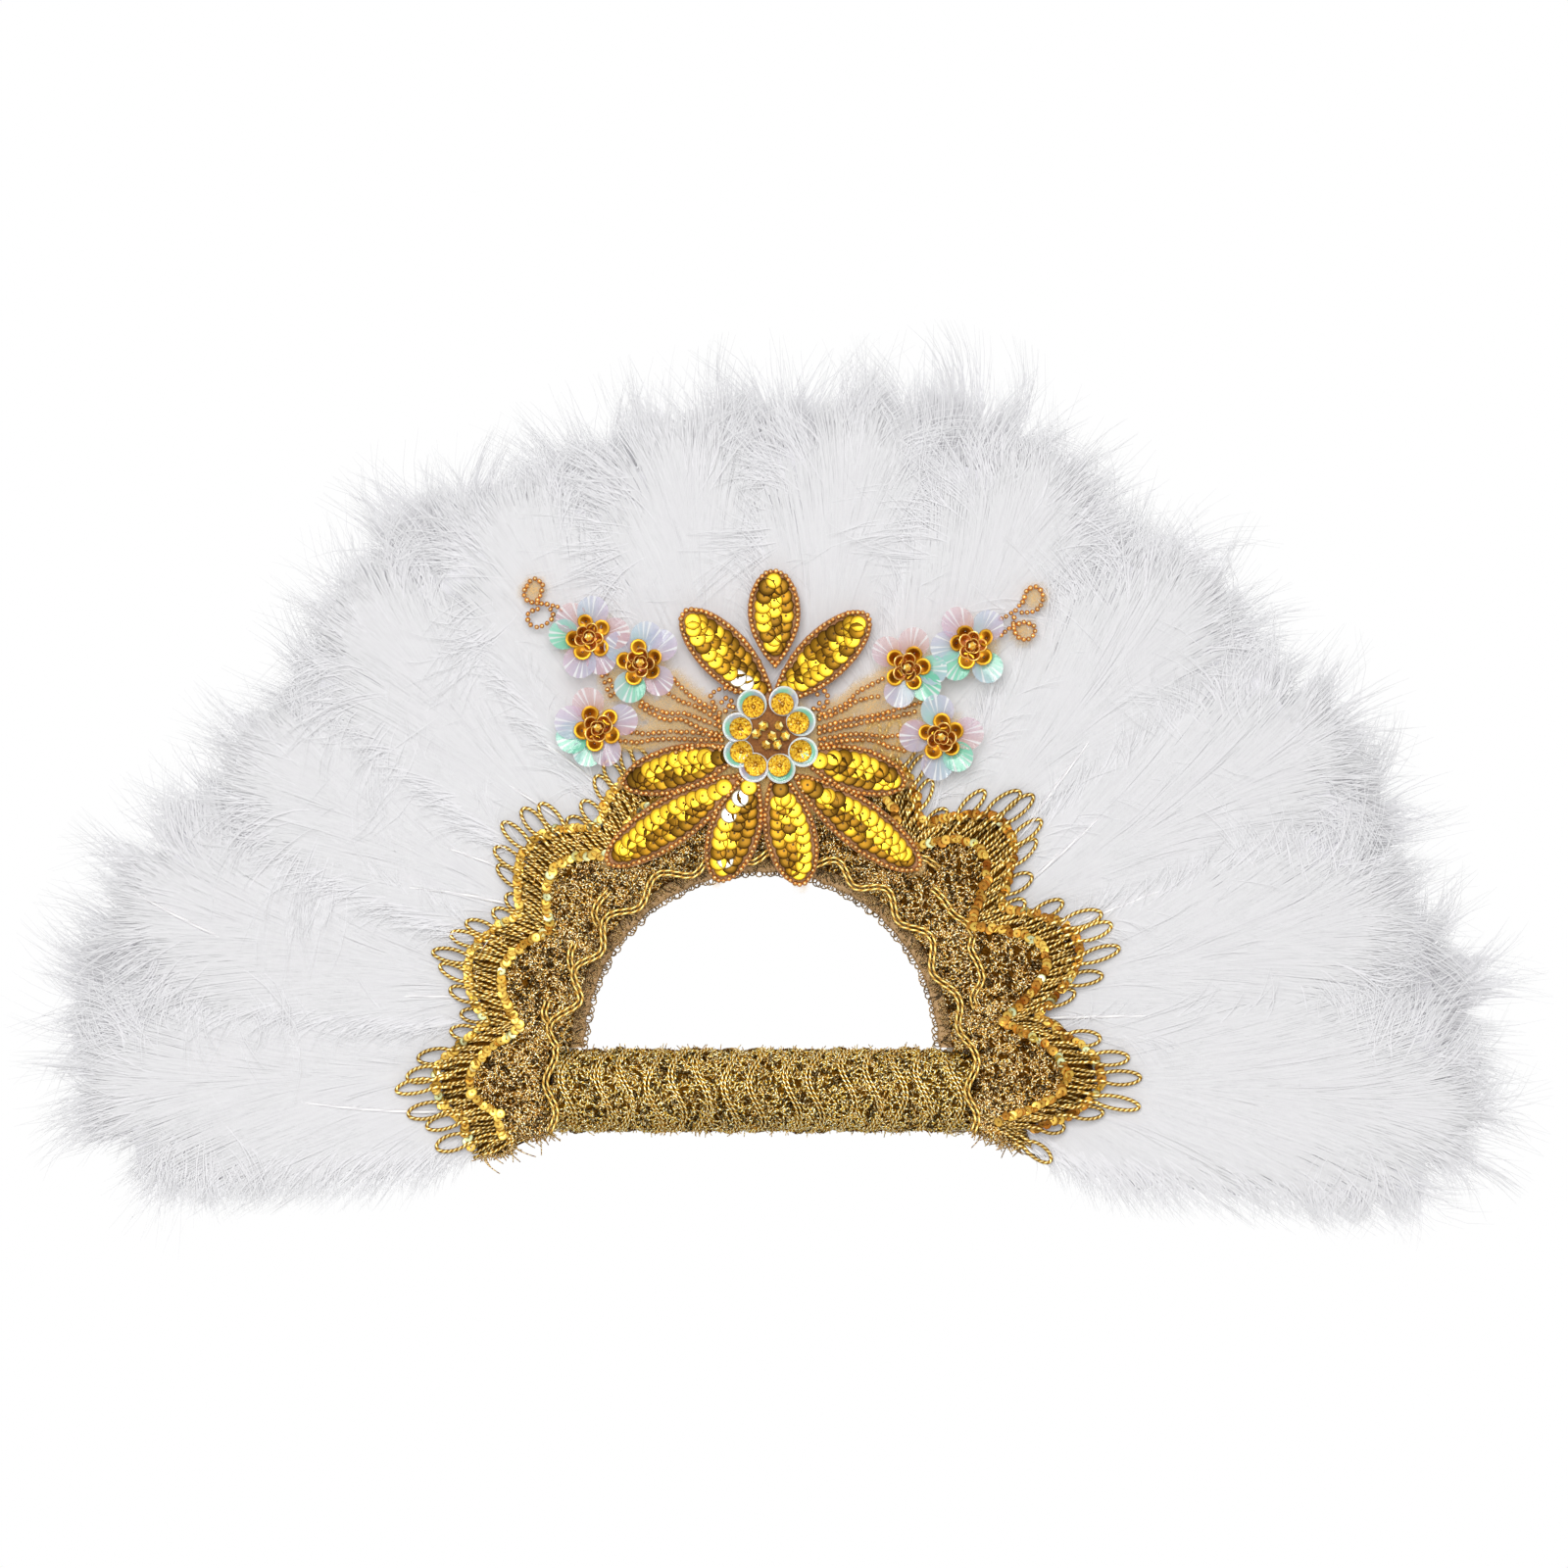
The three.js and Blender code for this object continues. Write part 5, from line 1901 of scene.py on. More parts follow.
    def frayed(self, rng: Random) -> Patch:
        """Cut thread ends that stick out below the two feet of the band.

        Args:
            rng: source of the random numbers.

        Returns:
            The ends' surface.
        """
        count = self.ends
        hand = np.where(np.arange(count) % 2 == 0, 1.0, -1.0)
        foot = np.where(hand > 0, -self.right_foot, FLAT_SIDE + self.foot)
        start = self.inner_edge(foot)
        radius = start + (dense_edge(foot) - 2 - start) * rng.uniform(0, 1, count)
        x, z = around(self.kept_up(foot - hand * rng.uniform(-1.6, 1.2, count), radius), radius)
        t = np.linspace(0, 1, 6)
        away = np.radians(-90 + rng.normal(0, 34, count) - hand * 12)
        length = rng.gamma(3.0, 0.6, count)
        dx = (np.cos(away) * length)[:, None] * t + (rng.normal(0, 0.5, count) * length)[:, None] * t**2
        dz = (np.sin(away) * length)[:, None] * t
        level = rng.uniform(5.4, 9.0, count)[:, None] + 0 * t
        paths = in_space(x[:, None] + dx, self.face.value * level, z[:, None] + dz)
        return tubes(paths, 0.3 - 0.12 * t, 3, rng.uniform(0.3, 1, count), 0.9)

    def sequin_row(self, rng: Random, name: str, inset: float) -> None:
        """A row of small overlapping sequins that follows the scallops, with a few painted glints, and darker
        and more orange at the right.

        Args:
            rng: source of the random numbers.
            name: the solid that the row stands for.
            inset: how far inside the lace's dense edge it runs.
        """
        angle = np.linspace(4 - self.right_foot, FLAT_SIDE + self.foot - 4, 900)
        x, z = around(angle, dense_edge(angle) - inset)
        places, heading = along_path(np.stack([x, z], -1), self.row_spacing)
        count = len(places)
        places = places + rng.normal(0, 0.32, (count, 2))
        centres = self.over(places[:, 0], places[:, 1], 2.0 + 0.25 * rng.uniform(size=count))
        turned = heading + rng.normal(0, 12, count)
        axes = facing(turned, rng.normal(20, 9, count), rng.normal(0, 18, count), self.face)
        polar = np.degrees(np.arctan2(places[:, 1] - CENTRE_HEIGHT, places[:, 0]))
        # The tone picks the foil's painted shade, lit body or painted glint; it falls towards the right.
        darker_right = np.where(np.abs(polar) < 90, 0.6 + 0.4 * ramp(50, 90, np.abs(polar)), 1.0)
        tones = np.where(rng.uniform(size=count) < 0.06, 0.97, rng.uniform(0.45, 0.95, count) * darker_right)
        row = stamped(sequin_shape(9), centres, axes, rng.uniform(1.4, 1.75, count), tones)
        Skin(f"{name}_sequins").lay(row).build(ROW_FOIL, name)

    def build(self) -> None:
        """Makes the band's pieces."""
        rng = np.random.default_rng(self.seed)
        ground = self.ground()
        fine = Skin(f"{self.name}_threads").lay(self.curly_threads(rng), self.frayed(rng))
        coarse = Skin(f"{self.name}_loops").lay(self.loops(rng), self.cord_rows(rng))
        with_it = [fine.build(LACE_THREAD, self.name), coarse.build(LOOP_CORD, self.name)]


@dataclass
class Braid:
    """Two smooth thin cords side by side that swing in and out round the opening.

    Attributes:
        name: the solid that it stands for.
        face: the face of the fan that it lies on.
        radius: distance of its middle line from the middle of the opening.
        swing: how far it swings to each side.
        wave: length of one wave.
        cord: radius of one cord.
        gap: distance of a cord's middle from the pair's.
        level: distance from the fan's middle plane.
        corner: distance of the legs beside the bar from the middle.
        leg: length of those legs.
        side_light: painted light: how much lighter a cord's outer side is painted than its flanks.
    """

    name: str
    face: Face
    radius: float = 63.6
    swing: float = 2.6
    wave: float = 19.8
    cord: float = 0.48
    gap: float = 0.68
    level: float = 9.7
    corner: float = 68.6
    leg: float = 27.0
    side_light: float = 0.75

    def line(self, offset: float) -> Floats:
        """One cord's path: an arc with a sine swing, which runs down beside the bar at its ends.

        Args:
            offset: the cord's distance from the pair's middle.

        Returns:
            The cord's centre line.
        """
        arc = math.pi * self.radius
        length = arc + 2 * self.leg
        waves = round(length / self.wave)
        s = np.linspace(0, length, waves * 24 + 1)
        phase = 2 * np.pi * waves * s / length + 0.5 * np.sin(s / 17)
        on_arc = np.clip((s - self.leg) / arc, 0, 1)
        below = np.maximum(np.maximum(self.leg - s, s - self.leg - arc), 0)
        flare = (self.corner - self.radius) * (1 - ramp(0, 0.09, on_arc) * (1 - ramp(0.91, 1.0, on_arc)))
        swing = self.swing * np.sin(phase) * (1 - 0.35 * (below > 0))
        x, z = around(on_arc * FLAT_SIDE, self.radius + swing + flare)
        middle = np.stack([x, z - below], -1)
        along = unit(np.gradient(middle, axis=0))
        place = middle + offset * leftward(along)
        return in_space(place[:, 0], self.face.value * (self.level + 0.2 * np.cos(phase)), place[:, 1])

    def build(self) -> None:
        """Makes the pair of cords, and the short waves of a second pair that show farther out."""
        lit = -self.side_light * self.face.value
        paths = (self.line(hand * self.gap)[None] for hand in (-1, 1))
        pair = [tubes(path, self.cord, 8, 0.72, 3.0, lit) for path in paths]
        if self.face is Face.FRONT:
            pair += self.outer_waves(lit)
        Skin(f"{self.name}_cords").lay(*pair).build(GOLD_CORD, self.name)

    def outer_waves(self, lit: float) -> list[Patch]:
        """Short double waves between the curls of the lace.

        Args:
            lit: painted light: how much lighter a cord's outer side is painted than its flanks.

        Returns:
            A surface for each cord.
        """
        lines = (
            ((623, 908), (611, 921), (607, 933), (612, 946)),
            ((588, 960), (583, 972), (583, 984), (588, 994)),
            ((950, 905), (962, 917), (972, 932), (986, 942), (993, 955)),
            ((993, 955), (990, 968), (998, 984), (1001, 1000), (992, 1016), (996, 1032)),
            ((930, 874), (944, 876), (958, 886)),
            ((560, 1020), (556, 1034), (562, 1046)),
        )
        made = []
        for line in lines:
            path = rounded(spots(line), 6)
            along = unit(np.gradient(path, axis=0))
            share = np.linspace(0, 1, len(path))
            sink = 9.75 - 1.5 * (1 - np.sin(np.pi * share) ** 0.5)
            for hand in (-0.7, 0.7):
                place = path + hand * leftward(along)
                cord = in_space(place[:, 0], -sink, place[:, 1])[None]
                made.append(tubes(cord, 0.5, 6, 0.75, 3.0, lit))
        return made


@dataclass
class OpeningRim:
    """Sheer net folded over the edge of the opening, with combed stitches and tiny loops.

    Attributes:
        radius: radius of the fold.
        stitches_made: number of combed stitches.
        loops_made: number of tiny loops.
        stitch: radius of a stitch's thread.
        loop: radius of a tiny loop's thread.
    """

    radius: float = 57.6
    stitches_made: int = 820
    loops_made: int = 150
    stitch: float = 0.24
    loop: float = 0.25

    def net(self) -> bpy.types.Object:
        """The folded net: a section carried round the opening from corner to corner.

        Returns:
            The piece.
        """
        out = np.array([66, 62, 59.6, 58.2, 57.6, 57.6, 58.2, 59.6, 62, 66])
        level = np.array([-2.95, -3.1, -3.0, -2.4, -1.0, 1.0, 2.4, 3.0, 3.1, 2.95])
        angle = np.linspace(0.4, 179.6, 140)[:, None]
        swell = 0.22 * wobble(np.random.default_rng(31), angle / 12, 5, 2.0)
        patch = sheet_patch(placed(angle, out + swell, level))
        return Skin("opening_rim_net").lay(patch).build(RIM_NET, "opening_binding", charted=False)

    def stitches(self, rng: Random) -> Patch:
        """Thin threads combed across the net, on both faces.

        Args:
            rng: source of the random numbers.

        Returns:
            The threads' surface.
        """
        count = self.stitches_made
        t = np.linspace(0, 1, 5)
        start = np.linspace(1, 179, count)[:, None] + rng.normal(0, 0.3, (count, 1))
        r = rng.uniform(58.4, 60.2, (count, 1)) + rng.uniform(2.0, 4.4, (count, 1)) * t
        a = start + rng.normal(0, 1.5, (count, 1)) * t + 0.5 * np.sin(3 * t + start)
        y = np.where(np.arange(count)[:, None] % 3 == 0, 1.0, -1.0) * (3.35 + 0.5 * t)
        return tubes(placed(a, r, y), self.stitch, 3, rng.uniform(0.0, 1.3, count), 0.9)

    def tiny_loops(self, rng: Random) -> Patch:
        """Loops of thin thread that stand in from the edge.

        Args:
            rng: source of the random numbers.

        Returns:
            The loops' surface.
        """
        count = self.loops_made
        angle = np.linspace(1, 179, count) + rng.normal(0, 0.3, count)
        side = np.where(np.arange(count) % 3 == 0, 1.0, -1.0)
        t = np.linspace(0, 1, 11)
        size = rng.uniform(1.1, 1.9, (count, 1))
        r = self.radius + 1.1 - size * (1 - np.cos(2 * np.pi * t)) * 0.75
        a = angle[:, None] + np.degrees(size * 0.7 * np.sin(2 * np.pi * t) / r)
        y = side[:, None] * (1.9 + 0.5 * rng.uniform(size=(count, 1))) + 0.3 * np.sin(2 * np.pi * t)
        return tubes(placed(a, r, y), self.loop, 3, rng.uniform(0.2, 0.9, count), 0.8)

    def build(self) -> None:
        """Makes the net and its threads in place of the binding's solid."""
        rng = np.random.default_rng(32)
        net = self.net()
        threads = Skin("opening_rim_threads").lay(self.stitches(rng), self.tiny_loops(rng))
        with_it = [threads.build(RIM_THREAD, "opening_binding")]


@dataclass
class GripWrap:
    """Eyelash lace wound round the grip bar: a ground sleeve, curly thread and stray ends.

    Attributes:
        half_length: half the length of the sleeve.
        half_height: half its height.
        half_depth: half its depth from front to back.
        curls: number of curly threads.
        waves: number of double waves on each face.
        ends: number of stray ends.
        thread: radius of a thread.
        pair: distance of a thread of a double wave from the wave's middle.
    """

    half_length: float = 68.0
    half_height: float = 12.5
    half_depth: float = 8.1
    curls: int = 2900
    waves: int = 15
    ends: int = 1100
    thread: float = 0.4
    pair: float = 0.62

    def shell(self, x: Floats, turn: Floats, lift: Floats) -> Floats:
        """Places on the bar: an oval of its half height and depth, grown by the lift.

        Args:
            x: places along the bar.
            turn: angles round it, from 0 at the front, in radians.
            lift: how far off it the places lie.

        Returns:
            The places.
        """
        lumps = 0.25 * wobble(np.random.default_rng(41), x / 14 + turn * 0.3, 4, 2.0)
        y = -(self.half_depth + lift + lumps) * np.cos(turn)
        z = (self.half_height + lift + lumps) * np.sin(turn)
        return in_space(x, y, z)

    def sleeve(self) -> Patch:
        """The ground under the threads, closed over the bar's ends.

        Returns:
            The sleeve's surface.
        """
        x = np.linspace(-self.half_length, self.half_length, 90)
        squeeze = np.array([0.02, 0.6, 0.93])[:, None, None]
        turn = np.linspace(0, 2 * np.pi, 41)[:-1]
        body = self.shell(x[:, None], turn[None, :], 0 * turn)
        along, square = np.array([1, 0, 0]), np.array([0, 1, 1])
        left = body[:1] * along + body[:1] * square * squeeze
        right = body[-1:] * along + body[-1:] * square * squeeze[::-1]
        return turned_over(sheet_patch(np.concatenate([left, body, right]), closed=True))

    def threads(self, rng: Random) -> list[Patch]:
        """Curly threads all over the bar, front and back.

        Args:
            rng: source of the random numbers.

        Returns:
            The threads' surface, front and back.
        """
        line = scribbles(rng, self.curls, 9, 0.8, 1.15)
        along, about = even_spread(self.curls)
        x = self.half_length * (2 * along[:, None] - 1) + line[..., 0]
        x = np.clip(x, -self.half_length - 0.6, self.half_length + 0.6)
        turn = 2 * np.pi * about[:, None] + line[..., 1] / 11
        lift = 0.35 + 0.4 * np.sin(np.arange(9) * 1.6 + rng.uniform(0, 6.3, (self.curls, 1)))
        tones = drawn(rng, 1.04, 0.86, self.curls, 0.0, 1.7)
        paths, front = self.shell(x, turn, lift), np.cos(2 * np.pi * about) > 0
        # Painted light: threads on each face are painted lighter on their outward side.
        halves = (front, 0.45), (~front, -0.45)
        return [tubes(paths[half], self.thread, 3, tones[half], 1.5, lit) for half, lit in halves]

    def double_waves(self, rng: Random) -> list[Patch]:
        """Pairs of brighter thread that wind round the bar in long curves.

        Args:
            rng: source of the random numbers.

        Returns:
            The threads' surface, front and back.
        """
        count = self.waves
        t = np.linspace(-0.55, 0.55, 40)
        start = np.linspace(-self.half_length + 5, self.half_length - 5, count)[:, None]
        start = start + rng.normal(0, 1.2, (count, 1))
        sway = 2.4 * np.sin(2 * np.pi * (t * 1.5 + rng.uniform(0.2, 0.7, (count, 1))))
        x = np.clip(start + sway, -self.half_length, self.half_length)
        made = []
        # Painted light: each face's waves are painted lighter on their outward side.
        for face, lit in ((0.0, 0.5), (np.pi, -0.5)):
            turn = face + t * np.pi + 0 * x
            pair = [self.shell(x + side, turn, 0.95 + 0 * x) for side in (-self.pair, self.pair)]
            made.append(tubes(np.concatenate(pair), self.thread, 5, 0.66, 1.8, lit))
        return made

    def stray_ends(self, rng: Random) -> Patch:
        """Short ends of thread that stand off the bar, more of them along its upper and lower edge.

        Args:
            rng: source of the random numbers.

        Returns:
            The ends' surface.
        """
        count = self.ends
        edge = rng.choice([-0.5, 0.5], count) * np.pi + rng.normal(0, 0.3, count)
        turn = np.where(rng.uniform(size=count) < 0.6, edge, rng.uniform(0, 2 * np.pi, count))[:, None]
        t = np.linspace(0, 1, 4)
        length = np.minimum(rng.gamma(2.5, 0.42, (count, 1)), 2.4)
        x = rng.uniform(-self.half_length, self.half_length, (count, 1)) + rng.normal(0, 1.1, (count, 1)) * t
        paths = self.shell(x, turn + rng.normal(0, 0.09, (count, 1)) * t, 0.3 + length * t)
        return tubes(paths, 0.22 - 0.07 * t, 3, rng.uniform(0.4, 1, count), 0.9)

    def build(self) -> None:
        """Makes the sleeve and its threads in place of the wrap's solid."""
        rng = np.random.default_rng(42)
        Skin("grip_wrap_ground").lay(self.sleeve()).build(GRIP_GROUND, "grip_wrap", charted=False)
        Skin("grip_wrap_threads").lay(*self.threads(rng)).build(GRIP_THREAD, "grip_wrap")
        waves = Skin("grip_wrap_waves").lay(*self.double_waves(rng), self.stray_ends(rng))
        waves.build(GRIP_THREAD, "grip_wrap")


# Ornament


def bead_shape() -> Patch:
    """A seed bead of radius one that stands on its bore: rings of a squat ball."""
    turn = np.radians([-62, -20, 22, 58, 82])
    return turned_over(dish(np.cos(turn), 0.82 * np.sin(turn), 8, np.arange(5) / 4))


def faceted_bead_shape() -> Patch:
    """A faceted bead of radius one: six sides, cut slantwise above and below its belt.

    Returns:
        The bead; its chart gives the light that a facet catches.
    """
    shape = dish(np.array([0.12, 0.62, 1.0, 0.8]), np.array([0.66, 0.58, 0.2, -0.4]), 6)
    faces, chart = shape.faces[0]
    rows = np.repeat(np.arange(3), 6)
    # Painted light: the upper slanted facets catch the lamp unevenly, the table is middling and the facets
    # below the belt are in painted shade.
    light = np.array([0.5, 1.0, 0.42, 0.95, 0.6, 1.0] * 3)
    height = np.where(rows == 1, light, np.where(rows == 0, 0.5, 0.1))
    chart = np.stack([np.repeat(height[:, None], 4, axis=1), chart[..., 1]], -1)
    return Patch(shape.places, ((faces[:, ::-1], chart[:, ::-1]),))


@dataclass
class Beads:
    """Beads strung along lines on the front of the fan, gathered into one piece.

    Attributes:
        name: the piece's name.
        diameter: diameter of a bead.
        spacing: distance from one bead to the next.
        level: distance of their middles from the fan's middle plane.
        parts: the strings made so far.
    """

    name: str
    diameter: float = 1.85
    spacing: float = 1.66
    level: float = 11.95
    parts: list[Patch] = field(default_factory=list)

    def string(self, rng: Random, points: Floats, closed: bool = False) -> None:
        """Strings beads along a line in the plane, and back to its start if it is closed.

        Args:
            rng: source of the random numbers.
            points: corners of the line, (n, 2).
            closed: whether it runs back to its start.
        """
        line = np.concatenate([points, points[:1]]) if closed else points
        places, heading = along_path(line, self.spacing)
        if closed:
            places, heading = places[:-1], heading[:-1]
        count = len(places)
        jitter = rng.normal(0, 0.09, (count, 2))
        level = self.level + rng.normal(0, 0.12, count)
        centres = in_space(places[:, 0] + jitter[:, 0], -level, places[:, 1] + jitter[:, 1])
        axes = facing(heading, rng.normal(0, 16, count), rng.normal(0, 22, count))
        sizes = self.diameter / 2 * rng.uniform(0.9, 1.08, count)
        tones = drawn(rng, 0.5, 0.2, count)
        self.parts.append(stamped(bead_shape(), centres, axes, sizes, tones))

    def build(self, node: str) -> None:
        """Makes the beads' piece in place of a solid."""
        Skin(self.name).lay(*self.parts).build(COPPER_BEAD, node)


@dataclass
class SequinLeaf:
    """A leaf of three rows of sequins, which overlap like shingles, in a rim of beads.

    Attributes:
        name: the solid that it stands for.
        base: its end at the centre flower, in shares of the ornament's half width.
        tip: its outer end.
        width: factor on its width.
        seed: start of its random numbers.
        dim_side: 1 or -1 where the row to the right or left of its direction is painted in shade.
        glints: rows and shares of the length at which a sequin mirrors the lamp.
        tip_on_top: whether the sequins nearer to the tip lie on top.
        step: distance from one sequin of a row to the next.
        sequin: diameter of a sequin.
        rim: width of the beaded rim.
        level: distance of the middle row from the fan's middle plane.
        cloth_level: distance of the cloth under it.
    """

    name: str
    base: tuple[float, float]
    tip: tuple[float, float]
    width: float
    seed: int
    dim_side: float = 1.0
    glints: tuple[tuple[int, float], ...] = ()
    tip_on_top: bool = False
    step: float = 3.1
    sequin: float = 5.6
    rim: float = 1.8
    level: float = 12.35
    cloth_level: float = 11.25

    def frame(self) -> tuple[Floats, Floats, Floats, float]:
        """Base, direction and leftward direction in the plane, and the length.

        Returns:
            The four.
        """
        base, tip = (np.array(on_ornament(*end)) for end in (self.base, self.tip))
        length = float(np.linalg.norm(tip - base))
        ahead = (tip - base) / length
        return base, ahead, leftward(ahead), length

    def half_width(self, share: Floats) -> Floats:
        """Half width along the leaf: a sine, pushed tipwards, to a power that falls to 0.42."""
        turn = np.pi * np.clip(share, 0.001, 0.999) ** 1.22
        return 8.6 * self.width * np.sin(turn) ** (0.58 - 0.16 * ramp(0.2, 0.75, share))

    def sequins(self, rng: Random) -> Patch:
        """Three rows of sequins, each sequin over the edge of the next.

        Args:
            rng: source of the random numbers.

        Returns:
            The sequins' surface.
        """
        base, ahead, aside, length = self.frame()
        places, levels, tones = [], [], []
        for row in (-1, 0, 1):
            shares = np.arange(0.93, 0.06, -self.step / length) - (0.4 * self.step / length) * (row == 0)
            half = self.half_width(shares) - self.rim - 0.2
            room = np.maximum(half - self.sequin / 2, 0)
            keep = half > 1.3 if row == 0 else room > 0.9
            shares, room = shares[keep], room[keep]
            place = base + shares[:, None] * length * ahead + (row * room)[:, None] * aside
            places.append(place + rng.normal(0, 0.12, place.shape))
            levels.append(self.level + 0.22 * row * self.dim_side + 0 * shares)
            # Painted light: the tone paints each sequin in shade or lit, most of them in shade on the dim
            # side, with a few glints.
            dim = {-1: 0.95, 0: 0.5, 1: 0.12}[int(row * self.dim_side)]
            shaded = rng.uniform(size=len(shares)) < dim
            tone = np.where(shaded, rng.uniform(0.05, 0.4, len(shares)), rng.uniform(0.46, 0.88, len(shares)))
            for glint_row, glint_share in self.glints:
                if glint_row == row:
                    tone[np.argmin(np.abs(shares - glint_share))] = 0.98
            tones.append(tone)
        places, levels, tones = (np.concatenate(rows) for rows in (places, levels, tones))
        raised = math.degrees(math.atan2(ahead[1], ahead[0])) + 180 * self.tip_on_top
        count = len(places)
        axes = facing(raised + rng.normal(0, 4, count), rng.normal(7, 1, count), rng.normal(0, 2, count))
        centres = in_space(places[:, 0], -levels, places[:, 1])
        sizes = self.sequin / 2 * rng.uniform(0.95, 1.05, count)
        return stamped(sequin_shape(14), centres, axes, sizes, tones)

    def outline(self) -> Floats:
        """The rim's line round the leaf.

        Returns:
            Corners of the line, (n, 2).
        """
        base, ahead, aside, length = self.frame()
        share = (1 - np.cos(np.linspace(0, np.pi, 56))) / 2
        half = np.maximum(self.half_width(share) - self.rim / 2, 0.0)[:, None]
        there = base + share[:, None] * length * ahead
        return np.concatenate([there + half * aside, (there - half * aside)[::-1][1:-1]])

    def backing(self) -> Patch:
        """The cloth under the sequins: a band of faces inside the rim's line.

        Returns:
            The cloth's surface.
        """
        base, ahead, aside, length = self.frame()
        share = (1 - np.cos(np.linspace(0.05, np.pi - 0.05, 20))) / 2
        lanes = np.linspace(-1, 1, 5)
        across = (self.half_width(share)[:, None] * lanes)[..., None] * aside
        there = base + share[:, None, None] * length * ahead + across
        level = self.cloth_level + 0.25 * (1 - lanes**2)[None, :] + 0 * share[:, None]
        return turned_over(sheet_patch(in_space(there[..., 0], -level, there[..., 1])))

    def build(self) -> Patch:
        """Makes the sequins and the rim, and returns the cloth under them.

        Returns:
            The cloth.
        """
        rng = np.random.default_rng(self.seed)
        Skin(f"{self.name}_sequins").lay(self.sequins(rng)).build(FOIL, self.name)
        rim = Beads(f"{self.name}_rim")
        rim.string(rng, self.outline(), closed=True)
        rim.build(self.name)
        return self.backing()


@dataclass
class CentreFlower:
    """Eight clear sequins, each with a crumpled gold cup, round seven faceted beads.

    Attributes:
        middle: middle of the flower, in the picture's steps.
        places: middles of the sequins.
        beads: middles of the faceted beads.
        hues: hue of each clear sequin.
        disc: its diameter.
        cup: diameter of the gold cups.
        bead: diameter of a faceted bead.
        pin: diameter of the bead that holds a cup down.
    """

    middle: tuple[float, float] = (786, 752)
    places: Line = (
        (768, 720), (799, 717), (816, 737), (818, 767), (796, 783), (770, 782), (755, 768), (754, 743)
    )
    beads: Line = ((779, 741), (795, 741), (772, 749), (788, 751), (801, 751), (782, 760), (793, 760))
    hues: tuple[float, ...] = (0.74, 0.66, 0.76, 0.8, 0.92, 0.5, 0.78, 0.68)
    disc: float = 9.8
    cup: float = 7.4
    bead: float = 3.5
    pin: float = 1.2

    def build(self) -> None:
        """Makes the discs, the cups and the beads."""
        rng = np.random.default_rng(61)
        middle = spots((self.middle,))[0]
        places = spots(self.places)
        count = len(places)
        away = unit(places - middle)
        level = 13.5 + 0.35 * np.array([0, 1, 0, 1, 0.6, 1.2, 0, 1])
        centres = places + away * 0.45
        bearing = np.degrees(np.arctan2(away[:, 1], away[:, 0]))
        axes = facing(bearing, rng.normal(4, 3, count), rng.normal(0, 4, count))
        discs = sewn_on(clear_disc_shape(), centres.T, level, axes, self.disc / 2, np.array(self.hues))
        Skin("centre_flower_discs").lay(discs).build(SHELL, "centre_petals")
        seats = places - away * 0.6
        axes = facing(rng.uniform(0, 360, count), rng.normal(0, 5, count), rng.normal(0, 5, count))
        tones = rng.uniform(0.45, 0.6, count)
        cups = sewn_on(crumpled_cup_shape(), seats.T, level + 0.5, axes, self.cup / 2, tones)
        Skin("centre_flower_cups").lay(cups).build(CRUMPLED_FOIL, "centre_petals")
        turn = np.linspace(0, 2 * np.pi, 25)
        ring = np.array([0.0, 4.0, 8.4, 11.0])[:, None]
        x, z = middle[0] + ring * np.cos(turn), middle[1] + ring * np.sin(turn)
        pad = sheet_patch(in_space(x, -12.6 - 0.5 * (1 - ring / 11) + 0 * x, z))
        Skin("centre_flower_pad").lay(pad).build(HEART_CLOTH, "centre_heart", charted=False)
        seeds = spots(self.beads)
        some = len(seeds)
        axes = facing(rng.uniform(0, 360, some), rng.normal(0, 14, some), rng.normal(0, 14, some))
        tones = rng.uniform(0.5, 0.75, some)
        beads = sewn_on(faceted_bead_shape(), seeds.T, 14.6, axes, self.bead / 2, tones)
        axes = facing(rng.uniform(0, 360, count))
        pins = sewn_on(bead_shape(), seats.T, level + 0.9, axes, self.pin / 2, 0.35)
        Skin("centre_flower_beads").lay(beads, pins).build(GOLD_BEAD, "centre_heart", smooth=False)


def clear_disc_shape() -> Patch:
    """A flat clear sequin of radius one with a raised edge, painted with a highlight; the chart gives that
    highlight and the hue.

    Returns:
        The sequin.
    """
    radii, heights = np.array([0.08, 0.72, 0.8, 0.93, 1.0]), np.array([0.0, 0.0, 0.03, 0.1, 0.04])
    sides = 24
    hues = 0.16 * np.sin(2 * (2 * np.pi * np.arange(sides) / sides) + 0.8)
    return dish(radii, heights, sides, np.array([0.3, 0.42, 0.62, 0.8, 0.95]), hues)


def crumpled_cup_shape() -> Patch:
    """A foil cup of radius one with radial creases; the chart gives the distance out.

    Returns:
        The cup.
    """
    sides, rng = 20, np.random.default_rng(3)
    radii, heights = np.array([0.06, 0.3, 0.55, 0.8, 1.0]), np.array([-0.12, -0.05, 0.02, 0.12, 0.22])
    even = np.arange(sides) % 2 == 0
    crease = 0.07 * np.where(even, 1, -1) + rng.normal(0, 0.03, (len(radii), sides))
    level = heights[:, None] + crease * np.array([0.1, 0.8, 1.0, 0.9, 0.6])[:, None]
    return dish(radii, level, sides, radii * 0.83, np.where(even, 0.16, -0.2))


